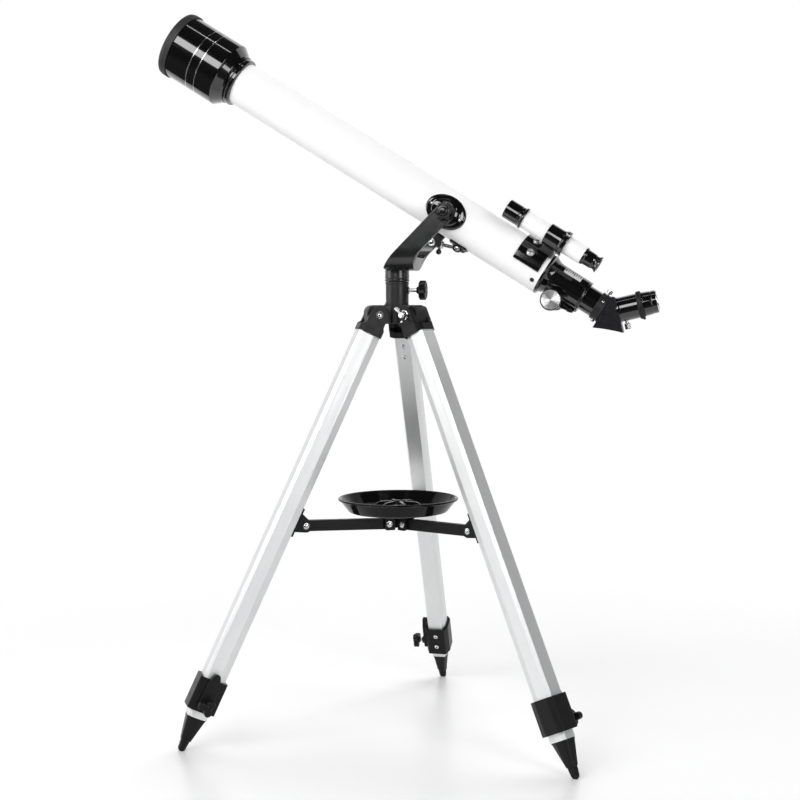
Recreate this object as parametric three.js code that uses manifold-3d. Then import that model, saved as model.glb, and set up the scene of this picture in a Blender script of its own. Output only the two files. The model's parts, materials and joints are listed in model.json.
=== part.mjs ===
// Small refracting telescope on an alt-azimuth yoke and a three-leg tripod.
// Millimetres, +Z up, floor at z = 0. The tube's front points to -X and its eyepiece to +X.
//
// Frames used below:
//   tripod  - vertical axis through the hub at x = y = 0
//   leg     - origin on the leg's hinge bolt, -Z down the leg, +X the leg's outer face
//   tube    - origin on the optical axis at the tube's rear end, +X to the front, +Z up
//   finder  - tube frame turned about the optical axis, +Z through the finder's axis
//   eyepiece - origin where the prism bends the axis, +Z out through the eyepiece

import * as THREE from 'three';
import { mergeVertices } from 'three/addons/utils/BufferGeometryUtils.js';
import Module from 'manifold-3d';

// ---------------------------------------------------------------- fits and facets

const GAP = 0.3;                  // between faces that seat on each other
const RUN = 0.35;                 // radial clearance of a pin, shaft or slide in its hole
const BOLT_HOLE = 0.3;            // radial clearance round a bolt

const FACETS_BIG = 36;
const FACETS_MID = 24;
const FACETS_SMALL = 16;
const FACETS_TINY = 10;

// ---------------------------------------------------------------- tripod legs

const LEG_COUNT = 3;
const LEG_NAMES = ['left', 'right', 'rear'];
const LEFT_LEG_AZIMUTH = -151.34; // degrees from +X
const LEG_SPREAD = 25.39;         // degrees from the vertical
const LEG_LENGTH = 631.5;         // hinge to the centre of the rounded foot tip
const TIP_RADIUS = 5.5;
const TIP_FLAT_RADIUS = 3.2;      // the worn flat on which the foot stands

const LEG_DEPTH = 31;             // outer extrusion, radial
const LEG_WIDTH = 28;             // outer extrusion, across
const LEG_WALL = 1.5;
const LEG_SIDE_BEVEL = 3.5;       // how far each bevel comes in across the leg
const LEG_OUTER_BEVEL = 5;
const LEG_INNER_BEVEL = 10;
const LEG_TOP = 22;               // stations are distances below the hinge
const SHIN_TOP = 62;
const SHIN_SHOWING = 10;
const FOOT_LENGTH = 44.2;         // foot's shoulder to the centre of its tip
const FOOT_PLUG = 14;
const FOOT_STEP = 11;             // blunt tip below the faceted cone
const FOOT_STEP_RADIUS = 7.6;
const FOOT_NECK_RADIUS = 6.2;

const CAP_WALL = 1.6;             // round the leg's outer and inner faces
const CAP_SIDE_WALL = 4;          // cheeks beside the leg
const CAP_OUTER_FLAT = 10.9;      // the flat cheeks end here towards the outer face
const CAP_INNER_FLAT = 13.6;      // and here towards the inner face
const CAP_WEB_TOP = 19;
const CAP_BOTTOM = 28;
const CAP_CHEEK_RADIUS = 12.5;

const CLAMP_LENGTH = 45;
const CLAMP_LIP = 17;             // how far the clamp reaches below the outer extrusion
const CLAMP_WALL = 4;
const CLAMP_PAD_THICKNESS = 4.5;
const CLAMP_PAD_RISE = 9;         // the pad's pointed top above the clamp
const CLAMP_PAD_HALF_WIDTH = 9;
const CLAMP_PAD_SHORT = 4;        // the pad stops this far above the clamp's bottom
const CLAMP_BOSS_RADIUS = 5;
const CLAMP_BOSS_HEIGHT = 4;
const CLAMP_SCREW_BELOW_TOP = 33; // station of the screw, below the clamp's top
const CLAMP_SCREW_RADIUS = 2.4;
const CLAMP_KNOB_RADIUS = 12;
const CLAMP_KNOB_THICKNESS = 8;
const CLAMP_KNOB_STANDOFF = 5.5;
const CLAMP_KNOB_LOBES = 3;

// ---------------------------------------------------------------- hub and hinge bolts

const HINGE_RADIUS = 30;          // hinge bolts from the tripod's axis
const LUG_RISE = 13.4;            // lug's top above the hinge bolts
const LUG_REACH = 15;             // lug's outer face beyond the hinge bolts
const LUG_CORNER = 10;
const LUG_WIDTH = 19.4;
const LUG_SIDE_PLAY = 0.4;
const BOLT_RADIUS = 3;
const BOLT_HEAD_RADIUS = 5.6;
const BOLT_HEAD_THICKNESS = 3.6;
const BOLT_END = 8.5;             // thread beyond the cheek, inside the wing nut
const WING_NUT_RADIUS = 5;
const WING_NUT_HEIGHT = 6;
const WING_SPAN = 25;
const WING_THICKNESS = 2.4;
const WING_RISE = 6;              // wings stand this far beyond the nut's body
const WING_TURN = 83;             // wings from square to the leg

const HUB_CORE_BELOW = 12;        // core reaches this far below the hinge bolts
const PILLAR_RADIUS = 15.5;
const PILLAR_HEIGHT = 31.5;       // above the hub's top face
const SPINDLE_RADIUS = 8.5;
const SPINDLE_LENGTH = 44;
const SPINDLE_END_PLAY = 2;
const LOCK_SCREW_DROP = 11.6;     // lock screw below the pillar's top
const LOCK_SCREW_RADIUS = 2.5;
const LOCK_KNOB_RADIUS = 13.1;
const LOCK_KNOB_THICKNESS = 9;
const LOCK_KNOB_STANDOFF = 15.5;  // knob's inner face from the pillar's wall
const LOCK_KNOB_LOBES = 10;

// ---------------------------------------------------------------- spreader and tray

const SPREADER_STATION = 298.4;   // outer bolt, below the leg's hinge
const SPREADER_STANDOFF = 14;     // outer bolt from the leg's inner face
const SPREADER_BOLT_RADIUS = 2;
const SPREADER_HEAD_RADIUS = 4;
const SPREADER_HEAD_THICKNESS = 1.8;
const LEG_PLATE_LENGTH = 41;
const LEG_PLATE_THICKNESS = 2.4;
const LEG_PLATE_WIDTH = 20;
const EAR_RADIUS = 8.6;
const EAR_THICKNESS = 3;
const EAR_FOOT = 13;              // half the ear's length where it meets the plate

const ARM_HEIGHT = 15;
const ARM_WIDTH = 8;
const ARM_SIDE_PLAY = 0.4;
const ARM_WALL = 2;               // the arm is a channel, open below
const ARM_END = 3;                // fork prongs beyond the inner bolt
const ARM_FORK_DEPTH = 10;
const ARM_FORK_PLAY = 2.2;
const ARM_END_CHAMFER = 2.5;      // clears the spider's plate as the legs fold
const SPIDER_BOLT_RADIUS = 15;    // inner bolts from the tripod's axis
const SPIDER_BOLT_DROP = 2.75;    // inner bolts below the outer ones
const SPIDER_RADIUS = 23;
const SPIDER_DROP = 8.5;          // spider's underside below its bolts
const SPIDER_WEB_RISE = 9.6;      // underside of its top plate above the bolts
const SPIDER_PLATE = 6;

const TRAY_RIM_RADIUS = 82.4;
const TRAY_WALL_TOP_RADIUS = 80.4;
const TRAY_FLOOR_RADIUS = 67.5;
const TRAY_HEIGHT = 19.7;
const TRAY_SHEET = 2.4;
const TRAY_HUB_RADIUS = 12;
const TRAY_HUB_HEIGHT = 9;
const TRAY_RIB_COUNT = 6;
const TRAY_RIB_REACH = 31;
const TRAY_RIB_HEIGHT = 6;
const TRAY_RIB_THICKNESS = 2;
const TRAY_SCREW_RADIUS = 3;
const TRAY_SCREW_DEPTH = 12;
const TRAY_SCREW_HEAD_RADIUS = 8;
const TRAY_SCREW_HEAD = 4.5;

// ---------------------------------------------------------------- yoke

const ALTITUDE = 32.17;           // tube's rise at rest, degrees
const PIVOT_FORWARD = 72.7;       // altitude axis from the tripod's axis, along +X
const PIVOT_RISE = 76.4;          // altitude axis above the yoke's base
const COLLAR_RADIUS = 16.7;
const COLLAR_HEIGHT = 14.5;
const YOKE_BASE_BACK = 14;        // base from the tripod's axis, towards -X
const YOKE_BASE_FRONT = 27;
const YOKE_HALF_GAP = 34;
const YOKE_ARM_THICKNESS = 6;
const YOKE_ARM_ANGLE = 45;
const YOKE_ARM_HALF_WIDTH = 11.5;
const YOKE_OUTER_BEND = 27;
const YOKE_INNER_BEND = 15;
const YOKE_WEB = 17.5;            // thickness of its base between the arms
const YOKE_KNEE_RISE = 21;        // where the arms start, above the base

const ALT_SCREW_RADIUS = 3.5;
const ALT_KNOB_RADIUS = 12.8;
const ALT_KNOB_THICKNESS = 13;
const ALT_KNOB_LOBES = 6;

// ---------------------------------------------------------------- slow-motion rod

const ROD_CRANK = 48.5;           // both of its pivots from the altitude axis
const ROD_BLOCK_ANGLE = 229.5;    // block's pivot, seen along +Y, from +X towards +Z
const ROD_ANCHOR_BACK = 34;       // anchor pin behind the altitude axis, along the tube
const ROD_RADIUS = 2.8;
const ROD_LENGTH = 78;
const ROD_EYE_RADIUS = 5;
const ROD_EYE_THICKNESS = 6;
const BLOCK_THICKNESS = 13;
const BLOCK_HEIGHT = 11;
const BLOCK_BACK = 7;
const BLOCK_FRONT = 15;
const BLOCK_PIN_RADIUS = 2.8;
const BLOCK_PIN_HEAD_RADIUS = 5.6;
const BLOCK_PIN_HEAD = 2;
const ROD_SCREW_FORWARD = 10.4;
const ROD_SCREW_RADIUS = 1.6;
const ROD_SCREW_BALL_RADIUS = 3.8;
const ROD_SCREW_BALL_DROP = 10.5; // ball's centre from the rod's axis
const ANCHOR_PIN_RADIUS = 2.2;
const ANCHOR_PLATE = 2.6;
const ANCHOR_PLATE_LENGTH = 26;
const ANCHOR_PLATE_HALF_ANGLE = 24;
const ANCHOR_EAR_THICKNESS = 6;
const ANCHOR_EAR_RADIUS = 5;

// ---------------------------------------------------------------- optical tube

const TUBE_LENGTH = 494.3;
const TUBE_RADIUS = 30;
const TUBE_WALL = 1.2;
const PIVOT_FROM_REAR = 152;

const PLATE_LENGTH = 58;
const PLATE_HEIGHT = 43;
const PLATE_THICKNESS = 3;
const PLATE_BOSS_RADIUS = 13;

const CELL_FLANGE_RADIUS = 34;
const CELL_FLANGE = 8.4;
const CELL_PLUG = 18;
const CELL_HOUSING_RADIUS = 32.6;
const CELL_HOUSING = 33;          // flange's rear face to the front of the lens ring
const CELL_BORE = 27;
const LENS_RADIUS = 30;
const LENS_THICKNESS = 9;
const LENS_SAG = 2.4;
const LENS_SETBACK = 3;

const SHIELD_RADIUS = 44.8;
const SHIELD_WALL = 2;
const SHIELD_LENGTH = 98;
const SHIELD_SHOULDER = 14;

const CAP_SKIRT = 1.5;            // wall of the skirt round the dew shield
const CAP_DEPTH = 15.6;
const CAP_FACE = 2.4;
const CAP_EDGE = 2.2;

// ---------------------------------------------------------------- focuser

const FOCUSER_PLUG = 18;
const FOCUSER_FLANGE_RADIUS = 30.4;
const FOCUSER_FLANGE = 3;
const FOCUSER_CONE = 9;
const FOCUSER_RADIUS = 22;
const FOCUSER_LENGTH = 62;
const DRAWTUBE_RADIUS = 17.5;
const DRAWTUBE_WALL = 1.6;
const DRAWTUBE_FRONT = 56;        // its front end, ahead of the tube's rear end
const DRAWTUBE_SHOWING = 18;
const DRAW_COLLAR_RADIUS = 19.3;
const DRAW_COLLAR_LENGTH = 12;
const DRAW_SOCKET_DEPTH = 26;

const GEAR_MODULE = 0.8;
const PINION_TEETH = 12;
const PRESSURE_ANGLE = 20;
const TOOTH_BACKLASH = 0.3;
const TOOTH_ROOM = 0.25;          // tip to root
const RACK_WIDTH = 7;
const RACK_BASE = 1.4;            // rack's root below the drawtube's wall
const RACK_REAR = -58;
const RACK_FRONT = 52;
const PINION_STATION = -28;
const PINION_ROOM = 0.7;
const SHAFT_RADIUS = 2.5;
const HOUSING_HALF_WIDTH = 13;
const HOUSING_FRONT = -12;
const HOUSING_REAR = -45;
const HOUSING_WALL = 3;
const FOCUS_KNOB_RADIUS = 14.3;
const FOCUS_KNOB_THICKNESS = 13;
const FOCUS_KNOB_START = 21;      // knob's inner face from the tube's mid plane

const DRAW_SCREW_STATION = 6;     // behind the collar's front face
const DRAW_SCREW_RADIUS = 1.6;
const DRAW_SCREW_HEAD_RADIUS = 3.2;
const DRAW_SCREW_HEAD = 5;
const DRAW_SCREW_NECK = 1.2;

// ---------------------------------------------------------------- diagonal and eyepiece

const BEND = 45;                  // degrees
const BEND_BEHIND_COLLAR = 6.8;   // bend point behind the collar's rear face
const NOSE_RADIUS = 12.25;        // 24.5 mm push fit
const NOSE_LENGTH = 22;
const NOSE_WALL = 1.6;
const PRISM_EXIT = 13.6;          // housing's exit face from the bend point
const PRISM_TOP = 21;
const PRISM_BOTTOM = 27.5;
const PRISM_HALF_WIDTH = 16.5;
const PRISM_WALL = 2.4;
const PRISM_BASE_SAG = 1.6;
const HOLDER_RADIUS = 16.4;
const HOLDER_END = 39;
const HOLDER_RING_RADIUS = 18.3;
const HOLDER_RING = 7;
const HOLDER_RING_FLATS = 24;
const EYEPIECE_INSERT = 27;
const EYEPIECE_WALL = 1.4;
const EYEPIECE_RADIUS = 16.2;
const EYEPIECE_END_RADIUS = 15.1;
const EYEPIECE_LENGTH = 19.4;
const EYE_RECESS_RADIUS = 9;
const EYE_RECESS = 3.5;
const EYE_RIM = 1.2;
const EYE_SCREW_STATION = 20.5;
const EYE_SCREW_RADIUS = 1.6;
const EYE_SCREW_HEAD_RADIUS = 3.4;
const EYE_SCREW_HEAD = 8;
const EYE_SCREW_NECK = 3;

// ---------------------------------------------------------------- finder

const FINDER_ANGLE = 38;          // from the tube's top, towards -Y
const FINDER_DISTANCE = 59;       // between the two optical axes
const FINDER_RADIUS = 12.2;
const FINDER_FRONT = 84;
const FINDER_CELL_REAR = 56.5;
const FINDER_CELL_RADIUS = 13.1;
const FINDER_CELL_LIP = 14.8;
const FINDER_CELL_LIP_LENGTH = 3;
const FINDER_CELL_RECESS = 9;
const FINDER_CELL_WALL = 1.8;
const FINDER_REAR = -34;
const FINDER_EYE_RADIUS = 10;
const FINDER_EYE_COLLAR = 11.8;
const FINDER_EYE_LENGTH = 23.4;
const FINDER_EYE_NECK = 9;
const FINDER_EYE_CUP = 11.4;
const SLEEVE_FRONT = 21.5;
const SLEEVE_REAR = -8;
const SLEEVE_WALL = 2;
const SLEEVE_RIM_RADIUS = 17.3;
const SLEEVE_RIM = 7;
const SADDLE_FRONT = 44.5;
const SADDLE_REAR = 5.5;
const SADDLE_HALF_ANGLE = 58;
const SADDLE_THICKNESS = 3.2;
const STEM_FRONT = 30;
const STEM_REAR = 0;
const STEM_HALF_WIDTH = 6;
const STEM_RIBS = 3;
const STEM_RIB_DEPTH = 1;

// ---------------------------------------------------------------- worked out from the above

const rad = THREE.MathUtils.degToRad;

const tipCentreHeight = Math.sqrt(TIP_RADIUS ** 2 - TIP_FLAT_RADIUS ** 2);
const hingeHeight = tipCentreHeight + LEG_LENGTH * Math.cos(rad(LEG_SPREAD));
const hubTop = hingeHeight + LUG_RISE;
const pillarTop = hubTop + PILLAR_HEIGHT;
const collarBottom = pillarTop + GAP;
const yokeBase = collarBottom + COLLAR_HEIGHT;
const pivotHeight = yokeBase + PIVOT_RISE;
const lockScrewHeight = pillarTop - LOCK_SCREW_DROP;

const footTop = LEG_LENGTH - FOOT_LENGTH;
const shinBottom = footTop - GAP;
const clampBottom = shinBottom - SHIN_SHOWING;
const clampTop = clampBottom - CLAMP_LENGTH;
const legBottom = clampBottom - CLAMP_LIP;
const clampScrewStation = clampTop + CLAMP_SCREW_BELOW_TOP;
const capHalfWidth = LEG_WIDTH / 2 + CAP_SIDE_WALL;
const slotHalfWidth = LUG_WIDTH / 2 + LUG_SIDE_PLAY;

const spreaderBoltX = -(LEG_DEPTH / 2 + SPREADER_STANDOFF);
const spreaderPoint = fromLeg(spreaderBoltX, SPREADER_STATION);
const spiderBoltHeight = spreaderPoint.z - SPIDER_BOLT_DROP;
const armRise = -SPIDER_BOLT_DROP;
const armRun = SPIDER_BOLT_RADIUS - spreaderPoint.r;
const armLength = Math.hypot(armRise, armRun);
const armTilt = Math.atan2(armRise, -armRun);
const armSlot = ARM_WIDTH + 2 * ARM_SIDE_PLAY;
const spiderTop = spiderBoltHeight + SPIDER_WEB_RISE + SPIDER_PLATE;
const trayBottom = spiderTop + GAP;
const trayFloor = trayBottom + TRAY_SHEET;

const armInner = YOKE_HALF_GAP;
const armOuter = YOKE_HALF_GAP + YOKE_ARM_THICKNESS;
const blockPivot = {
  x: PIVOT_FORWARD + ROD_CRANK * Math.cos(rad(ROD_BLOCK_ANGLE)),
  z: pivotHeight + ROD_CRANK * Math.sin(rad(ROD_BLOCK_ANGLE)),
};
const anchorStation = PIVOT_FROM_REAR - ROD_ANCHOR_BACK;
const anchorDrop = Math.sqrt(ROD_CRANK ** 2 - ROD_ANCHOR_BACK ** 2);
const anchorPoint = fromTube(anchorStation, -anchorDrop);
const rodSide = armOuter + GAP + BLOCK_THICKNESS / 2;
const rodTurn = Math.atan2(blockPivot.z - anchorPoint.z, blockPivot.x - anchorPoint.x);

const cellFront = TUBE_LENGTH + GAP + CELL_HOUSING;
const shieldRear = TUBE_LENGTH + GAP + CELL_FLANGE + GAP;
const shieldFront = shieldRear + SHIELD_LENGTH;
const capRadius = SHIELD_RADIUS + GAP + CAP_SKIRT;
const capRear = shieldFront + GAP + CAP_FACE - CAP_DEPTH;

const collarFront = -FOCUSER_LENGTH - DRAWTUBE_SHOWING;
const collarRear = collarFront - DRAW_COLLAR_LENGTH;
const rackRoot = DRAWTUBE_RADIUS + RACK_BASE;
const rackPitchLine = rackRoot + GEAR_MODULE + TOOTH_ROOM;
const pinionPitchRadius = GEAR_MODULE * PINION_TEETH / 2;
const pinionDrop = rackPitchLine + pinionPitchRadius;
const pinionTipRadius = pinionPitchRadius + GEAR_MODULE;
const bendStation = collarRear - BEND_BEHIND_COLLAR;

// ---------------------------------------------------------------- solids

const wasm = await Module();
wasm.setup();

/** Turns a closed geometry into a manifold solid. */
function toSolid(geometry) {
  const bare = geometry.clone();
  bare.deleteAttribute('normal');
  bare.deleteAttribute('uv');
  const merged = mergeVertices(bare, 1e-4);
  const index = merged.index.array;
  const corners = [];
  for (let i = 0; i < index.length; i += 3) {
    const [a, b, c] = [index[i], index[i + 1], index[i + 2]];
    if (a !== b && b !== c && c !== a) corners.push(a, b, c);
  }
  return new wasm.Manifold(new wasm.Mesh({
    numProp: 3,
    vertProperties: new Float32Array(merged.attributes.position.array),
    triVerts: new Uint32Array(corners),
  }));
}

/** Turns a manifold solid back into a geometry. */
function toGeometry(solid) {
  const mesh = solid.getMesh();
  const geometry = new THREE.BufferGeometry();
  geometry.setAttribute('position', new THREE.BufferAttribute(mesh.vertProperties, mesh.numProp));
  geometry.setIndex(new THREE.BufferAttribute(mesh.triVerts, 1));
  return geometry;
}

const join = (...pieces) => toGeometry(pieces.map(toSolid).reduce((a, b) => a.add(b)));
const cut = (piece, ...tools) => toGeometry(tools.map(toSolid).reduce((a, b) => a.subtract(b), toSolid(piece)));
const common = (...pieces) => toGeometry(pieces.map(toSolid).reduce((a, b) => a.intersect(b)));

const moved = (geometry, x, y, z) => geometry.clone().translate(x, y, z);
const turnedX = (geometry, degrees) => geometry.clone().rotateX(rad(degrees));
const turnedY = (geometry, degrees) => geometry.clone().rotateY(rad(degrees));
const turnedZ = (geometry, degrees) => geometry.clone().rotateZ(rad(degrees));

/** A box given by its lowest and highest corners. */
function block(low, high) {
  const size = high.map((value, i) => value - low[i]);
  const middle = high.map((value, i) => (value + low[i]) / 2);
  return new THREE.BoxGeometry(...size).translate(...middle);
}

/** A closed outline pushed along +Z from one height to another. */
function prism(points, bottom, top) {
  const shape = points instanceof THREE.Shape ? points : new THREE.Shape(points);
  const solid = new THREE.ExtrudeGeometry(shape, { depth: top - bottom, bevelEnabled: false, curveSegments: 8 });
  return solid.translate(0, 0, bottom);
}

/** An outline drawn in X and Z, pushed along Y between two sides. */
function sidePlate(points, near, far) {
  return prism(points, -far, -near).rotateX(Math.PI / 2);
}

/** An outline drawn in Y and Z, pushed along X between two stations. */
function frontPlate(points, back, front) {
  const turn = new THREE.Matrix4().makeBasis(
    new THREE.Vector3(0, 1, 0), new THREE.Vector3(0, 0, 1), new THREE.Vector3(1, 0, 0));
  return prism(points, back, front).applyMatrix4(turn);
}

/** A profile of [radius, height] points turned about Z. It ends on the axis or closes on itself. */
function turned(profile, facets) {
  const points = profile.map(([radius, height]) => new THREE.Vector2(radius, height));
  if (profile[0][0] > 0) points.push(points[0].clone());
  let area = 0;
  points.forEach((p, i) => {
    const q = points[(i + 1) % points.length];
    area += p.x * q.y - q.x * p.y;
  });
  if (area < 0) points.reverse();
  return new THREE.LatheGeometry(points, facets).rotateX(Math.PI / 2);
}

/** The same, turned about X, with [radius, station] points. */
const turnedAlongX = (profile, facets) => turned(profile, facets).rotateY(Math.PI / 2);

/** A round bar along one axis. */
const barZ = (radius, bottom, top, facets) => new THREE.CylinderGeometry(radius, radius, top - bottom, facets)
  .rotateX(Math.PI / 2).translate(0, 0, (bottom + top) / 2);
const barX = (radius, back, front, facets) => barZ(radius, back, front, facets).rotateY(Math.PI / 2);
const barY = (radius, near, far, facets) => barZ(radius, -far, -near, facets).rotateX(Math.PI / 2);

/** Points of an arc in degrees, end points included. */
function arc(x, y, radius, from, to, steps) {
  const points = [];
  for (let i = 0; i <= steps; i += 1) {
    const angle = rad(from + (to - from) * i / steps);
    points.push(new THREE.Vector2(x + radius * Math.cos(angle), y + radius * Math.sin(angle)));
  }
  return points;
}

const at = (x, y) => new THREE.Vector2(x, y);

/** Moves every edge of a convex outline in by a distance (out when negative). */
function inset(points, distance) {
  return points.map((corner, i) => {
    const before = points[(i + points.length - 1) % points.length];
    const after = points[(i + 1) % points.length];
    const u = corner.clone().sub(before).normalize();
    const v = after.clone().sub(corner).normalize();
    const scale = distance / (1 + u.dot(v));
    return at(corner.x - (u.y + v.y) * scale, corner.y + (u.x + v.x) * scale);
  });
}

/** Closed surface through a stack of outlines with equal point counts, bottom first. */
function loft(sections) {
  const count = sections[0].points.length;
  const positions = [];
  const triangles = [];
  sections.forEach(({ points, z }) => points.forEach((p) => positions.push(p.x, p.y, z)));
  for (let s = 0; s < sections.length - 1; s += 1) {
    for (let i = 0; i < count; i += 1) {
      const a = s * count + i;
      const b = s * count + (i + 1) % count;
      triangles.push(a, b, b + count, a, b + count, a + count);
    }
  }
  const last = (sections.length - 1) * count;
  for (let i = 1; i < count - 1; i += 1) {
    triangles.push(0, i + 1, i, last, last + i, last + i + 1);
  }
  const geometry = new THREE.BufferGeometry();
  geometry.setAttribute('position', new THREE.Float32BufferAttribute(positions, 3));
  geometry.setIndex(triangles);
  return geometry;
}

/** A hand knob's outline: a circle with rounded lobes. */
function lobed(radius, lobes, depth, steps) {
  const points = [];
  for (let i = 0; i < lobes * steps; i += 1) {
    const angle = 2 * Math.PI * i / (lobes * steps);
    const r = radius - depth * (0.5 - 0.5 * Math.cos(lobes * angle));
    points.push(at(r * Math.cos(angle), r * Math.sin(angle)));
  }
  return points;
}

// ---------------------------------------------------------------- finishes

const FINISHES = {
  blackPlastic: [0x18191b, 0.42, 0],
  glossBlack: [0x0d0d0f, 0.12, 0],
  satinBlack: [0x2b2c2f, 0.4, 0.1],
  darkGrey: [0x3a3b3d, 0.6, 0],
  whiteGloss: [0xf4f5f6, 0.12, 0],
  aluminium: [0xc9cbce, 0.35, 0.9],
  chrome: [0xd8d9db, 0.12, 1],
  glass: [0xb9c8d8, 0.03, 0],
};

/** A named mesh with a material of its own. */
function piece(name, geometry, finish) {
  const [color, roughness, metalness] = FINISHES[finish];
  const mesh = new THREE.Mesh(geometry, new THREE.MeshStandardMaterial({ color, roughness, metalness }));
  mesh.name = name;
  return mesh;
}

// ---------------------------------------------------------------- leg

/** Radius and height, in the tripod's frame, of a point of a leg's mid plane. */
function fromLeg(x, station) {
  const slope = rad(LEG_SPREAD);
  return {
    r: HINGE_RADIUS + station * Math.sin(slope) + x * Math.cos(slope),
    z: hingeHeight - station * Math.cos(slope) + x * Math.sin(slope),
  };
}

/** The extrusion's outline, outer face towards +X. */
function legOutline(offset) {
  const depth = LEG_DEPTH / 2;
  const width = LEG_WIDTH / 2;
  const flat = width - LEG_SIDE_BEVEL;
  const outline = [
    at(depth, -flat), at(depth, flat),
    at(depth - LEG_OUTER_BEVEL, width), at(LEG_INNER_BEVEL - depth, width),
    at(-depth, flat), at(-depth, -flat),
    at(LEG_INNER_BEVEL - depth, -width), at(depth - LEG_OUTER_BEVEL, -width),
  ];
  return inset(outline, offset);
}

/** Moulded cap on the leg's top: two cheeks astride the hub's lug and a socket for the leg. */
function legCap() {
  const half = LEG_DEPTH / 2 + CAP_WALL;
  const flat = LEG_WIDTH / 2 - LEG_SIDE_BEVEL + CAP_WALL / 2;
  const shoulder = CAP_WEB_TOP - half + CAP_CHEEK_RADIUS;
  const outline = [
    at(half, -CAP_BOTTOM), at(half, -CAP_WEB_TOP), at(CAP_CHEEK_RADIUS, -shoulder),
    ...arc(0, 0, CAP_CHEEK_RADIUS, 0, 180, 14),
    at(-CAP_CHEEK_RADIUS, -shoulder), at(-half, -CAP_WEB_TOP), at(-half, -CAP_BOTTOM),
  ];
  const section = [
    at(half, -flat), at(half, flat), at(CAP_OUTER_FLAT, capHalfWidth), at(-CAP_INNER_FLAT, capHalfWidth),
    at(-half, flat), at(-half, -flat), at(-CAP_INNER_FLAT, -capHalfWidth), at(CAP_OUTER_FLAT, -capHalfWidth),
  ];
  const body = common(
    prism(section, -CAP_BOTTOM, CAP_CHEEK_RADIUS + 1),
    sidePlate(outline, -capHalfWidth - 1, capHalfWidth + 1));
  return cut(body,
    block([-half - 1, -slotHalfWidth, -CAP_WEB_TOP], [half + 1, slotHalfWidth, CAP_CHEEK_RADIUS + 2]),
    prism(legOutline(-GAP), -CAP_BOTTOM - 1, -LEG_TOP + GAP),
    barY(BOLT_RADIUS + BOLT_HOLE, -capHalfWidth - 1, capHalfWidth + 1, FACETS_TINY));
}

/** Outer aluminium extrusion. */
function legTube() {
  return cut(prism(legOutline(0), -legBottom, -LEG_TOP),
    prism(legOutline(LEG_WALL), -legBottom - 1, -LEG_TOP + 1));
}

/** Inner extrusion that slides out of the leg. */
function shin() {
  const outside = LEG_WALL + RUN;
  return cut(prism(legOutline(outside), -shinBottom, -SHIN_TOP),
    prism(legOutline(outside + LEG_WALL), -shinBottom - 1, -SHIN_TOP + 1));
}

/** Moulded clamp round the leg's lower end, with the pad that carries its screw. */
function legClamp() {
  const wall = LEG_WIDTH / 2 + CLAMP_WALL;
  const padOut = wall + CLAMP_PAD_THICKNESS;
  const padTop = -clampTop + CLAMP_PAD_RISE;
  const pad = [
    at(-CLAMP_PAD_HALF_WIDTH, -clampBottom + CLAMP_PAD_SHORT),
    at(CLAMP_PAD_HALF_WIDTH, -clampBottom + CLAMP_PAD_SHORT),
    at(CLAMP_PAD_HALF_WIDTH, -clampTop - CLAMP_PAD_RISE / 2),
    at(CLAMP_PAD_HALF_WIDTH / 3, padTop), at(-CLAMP_PAD_HALF_WIDTH / 3, padTop),
    at(-CLAMP_PAD_HALF_WIDTH, -clampTop - CLAMP_PAD_RISE / 2),
  ];
  const body = join(
    prism(legOutline(-CLAMP_WALL), -clampBottom, -clampTop),
    sidePlate(pad, LEG_WIDTH / 2 + GAP, padOut),
    moved(barY(CLAMP_BOSS_RADIUS, wall, padOut + CLAMP_BOSS_HEIGHT, FACETS_SMALL), 0, 0, -clampScrewStation));
  return cut(body,
    prism(legOutline(-GAP), -legBottom - GAP, -clampTop + 1),
    prism(legOutline(LEG_WALL + RUN - GAP), -clampBottom - 1, -legBottom),
    moved(barY(CLAMP_SCREW_RADIUS + BOLT_HOLE, 0, padOut + CLAMP_BOSS_HEIGHT + 1, FACETS_TINY),
      0, 0, -clampScrewStation));
}

/** Three-lobed clamp screw. Its tip bears on the sliding extrusion. */
function clampKnob() {
  const tip = LEG_WIDTH / 2 - LEG_WALL - RUN + GAP;
  const boss = LEG_WIDTH / 2 + CLAMP_WALL + CLAMP_PAD_THICKNESS + CLAMP_BOSS_HEIGHT;
  const inner = boss + CLAMP_KNOB_STANDOFF;
  const outer = inner + CLAMP_KNOB_THICKNESS;
  const outline = lobed(CLAMP_KNOB_RADIUS, CLAMP_KNOB_LOBES, CLAMP_KNOB_RADIUS * 0.52, 8);
  const knob = join(sidePlate(outline, inner, outer),
    barY(CLAMP_SCREW_RADIUS, tip, inner + 1, FACETS_TINY),
    barY(CLAMP_BOSS_RADIUS, inner - 2, outer + 1, FACETS_SMALL));
  return moved(knob, 0, 0, -clampScrewStation);
}

/** Faceted foot with a plug in the sliding extrusion and a rounded tip. */
function foot() {
  const shinOutline = LEG_WALL + RUN;
  const top = legOutline(shinOutline + 0.6);
  const ring = (radius) => top.map((p) => {
    const corner = p.clone().normalize();
    return corner.multiplyScalar(radius);
  });
  const tip = [];
  for (let i = 0; i <= 4; i += 1) {
    const angle = rad(-80 + 20 * i);
    tip.push({ points: ring(TIP_RADIUS * Math.cos(angle)), z: -LEG_LENGTH + TIP_RADIUS * Math.sin(angle) });
  }
  const step = -LEG_LENGTH + FOOT_STEP;
  const cone = loft([
    ...tip,
    { points: ring(FOOT_NECK_RADIUS), z: step - 0.6 },
    { points: ring(FOOT_STEP_RADIUS), z: step },
    { points: top, z: -footTop },
  ]);
  const plug = prism(legOutline(shinOutline + LEG_WALL + GAP), -footTop - 1, -footTop + FOOT_PLUG);
  const floor = turnedY(block([-40, -40, -40], [40, 40, 0]), LEG_SPREAD);
  const sole = fromLeg(0, LEG_LENGTH);
  const slope = rad(LEG_SPREAD);
  return cut(join(cone, plug),
    moved(floor, -sole.z * Math.sin(slope), 0, -LEG_LENGTH - sole.z * Math.cos(slope)));
}

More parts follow.
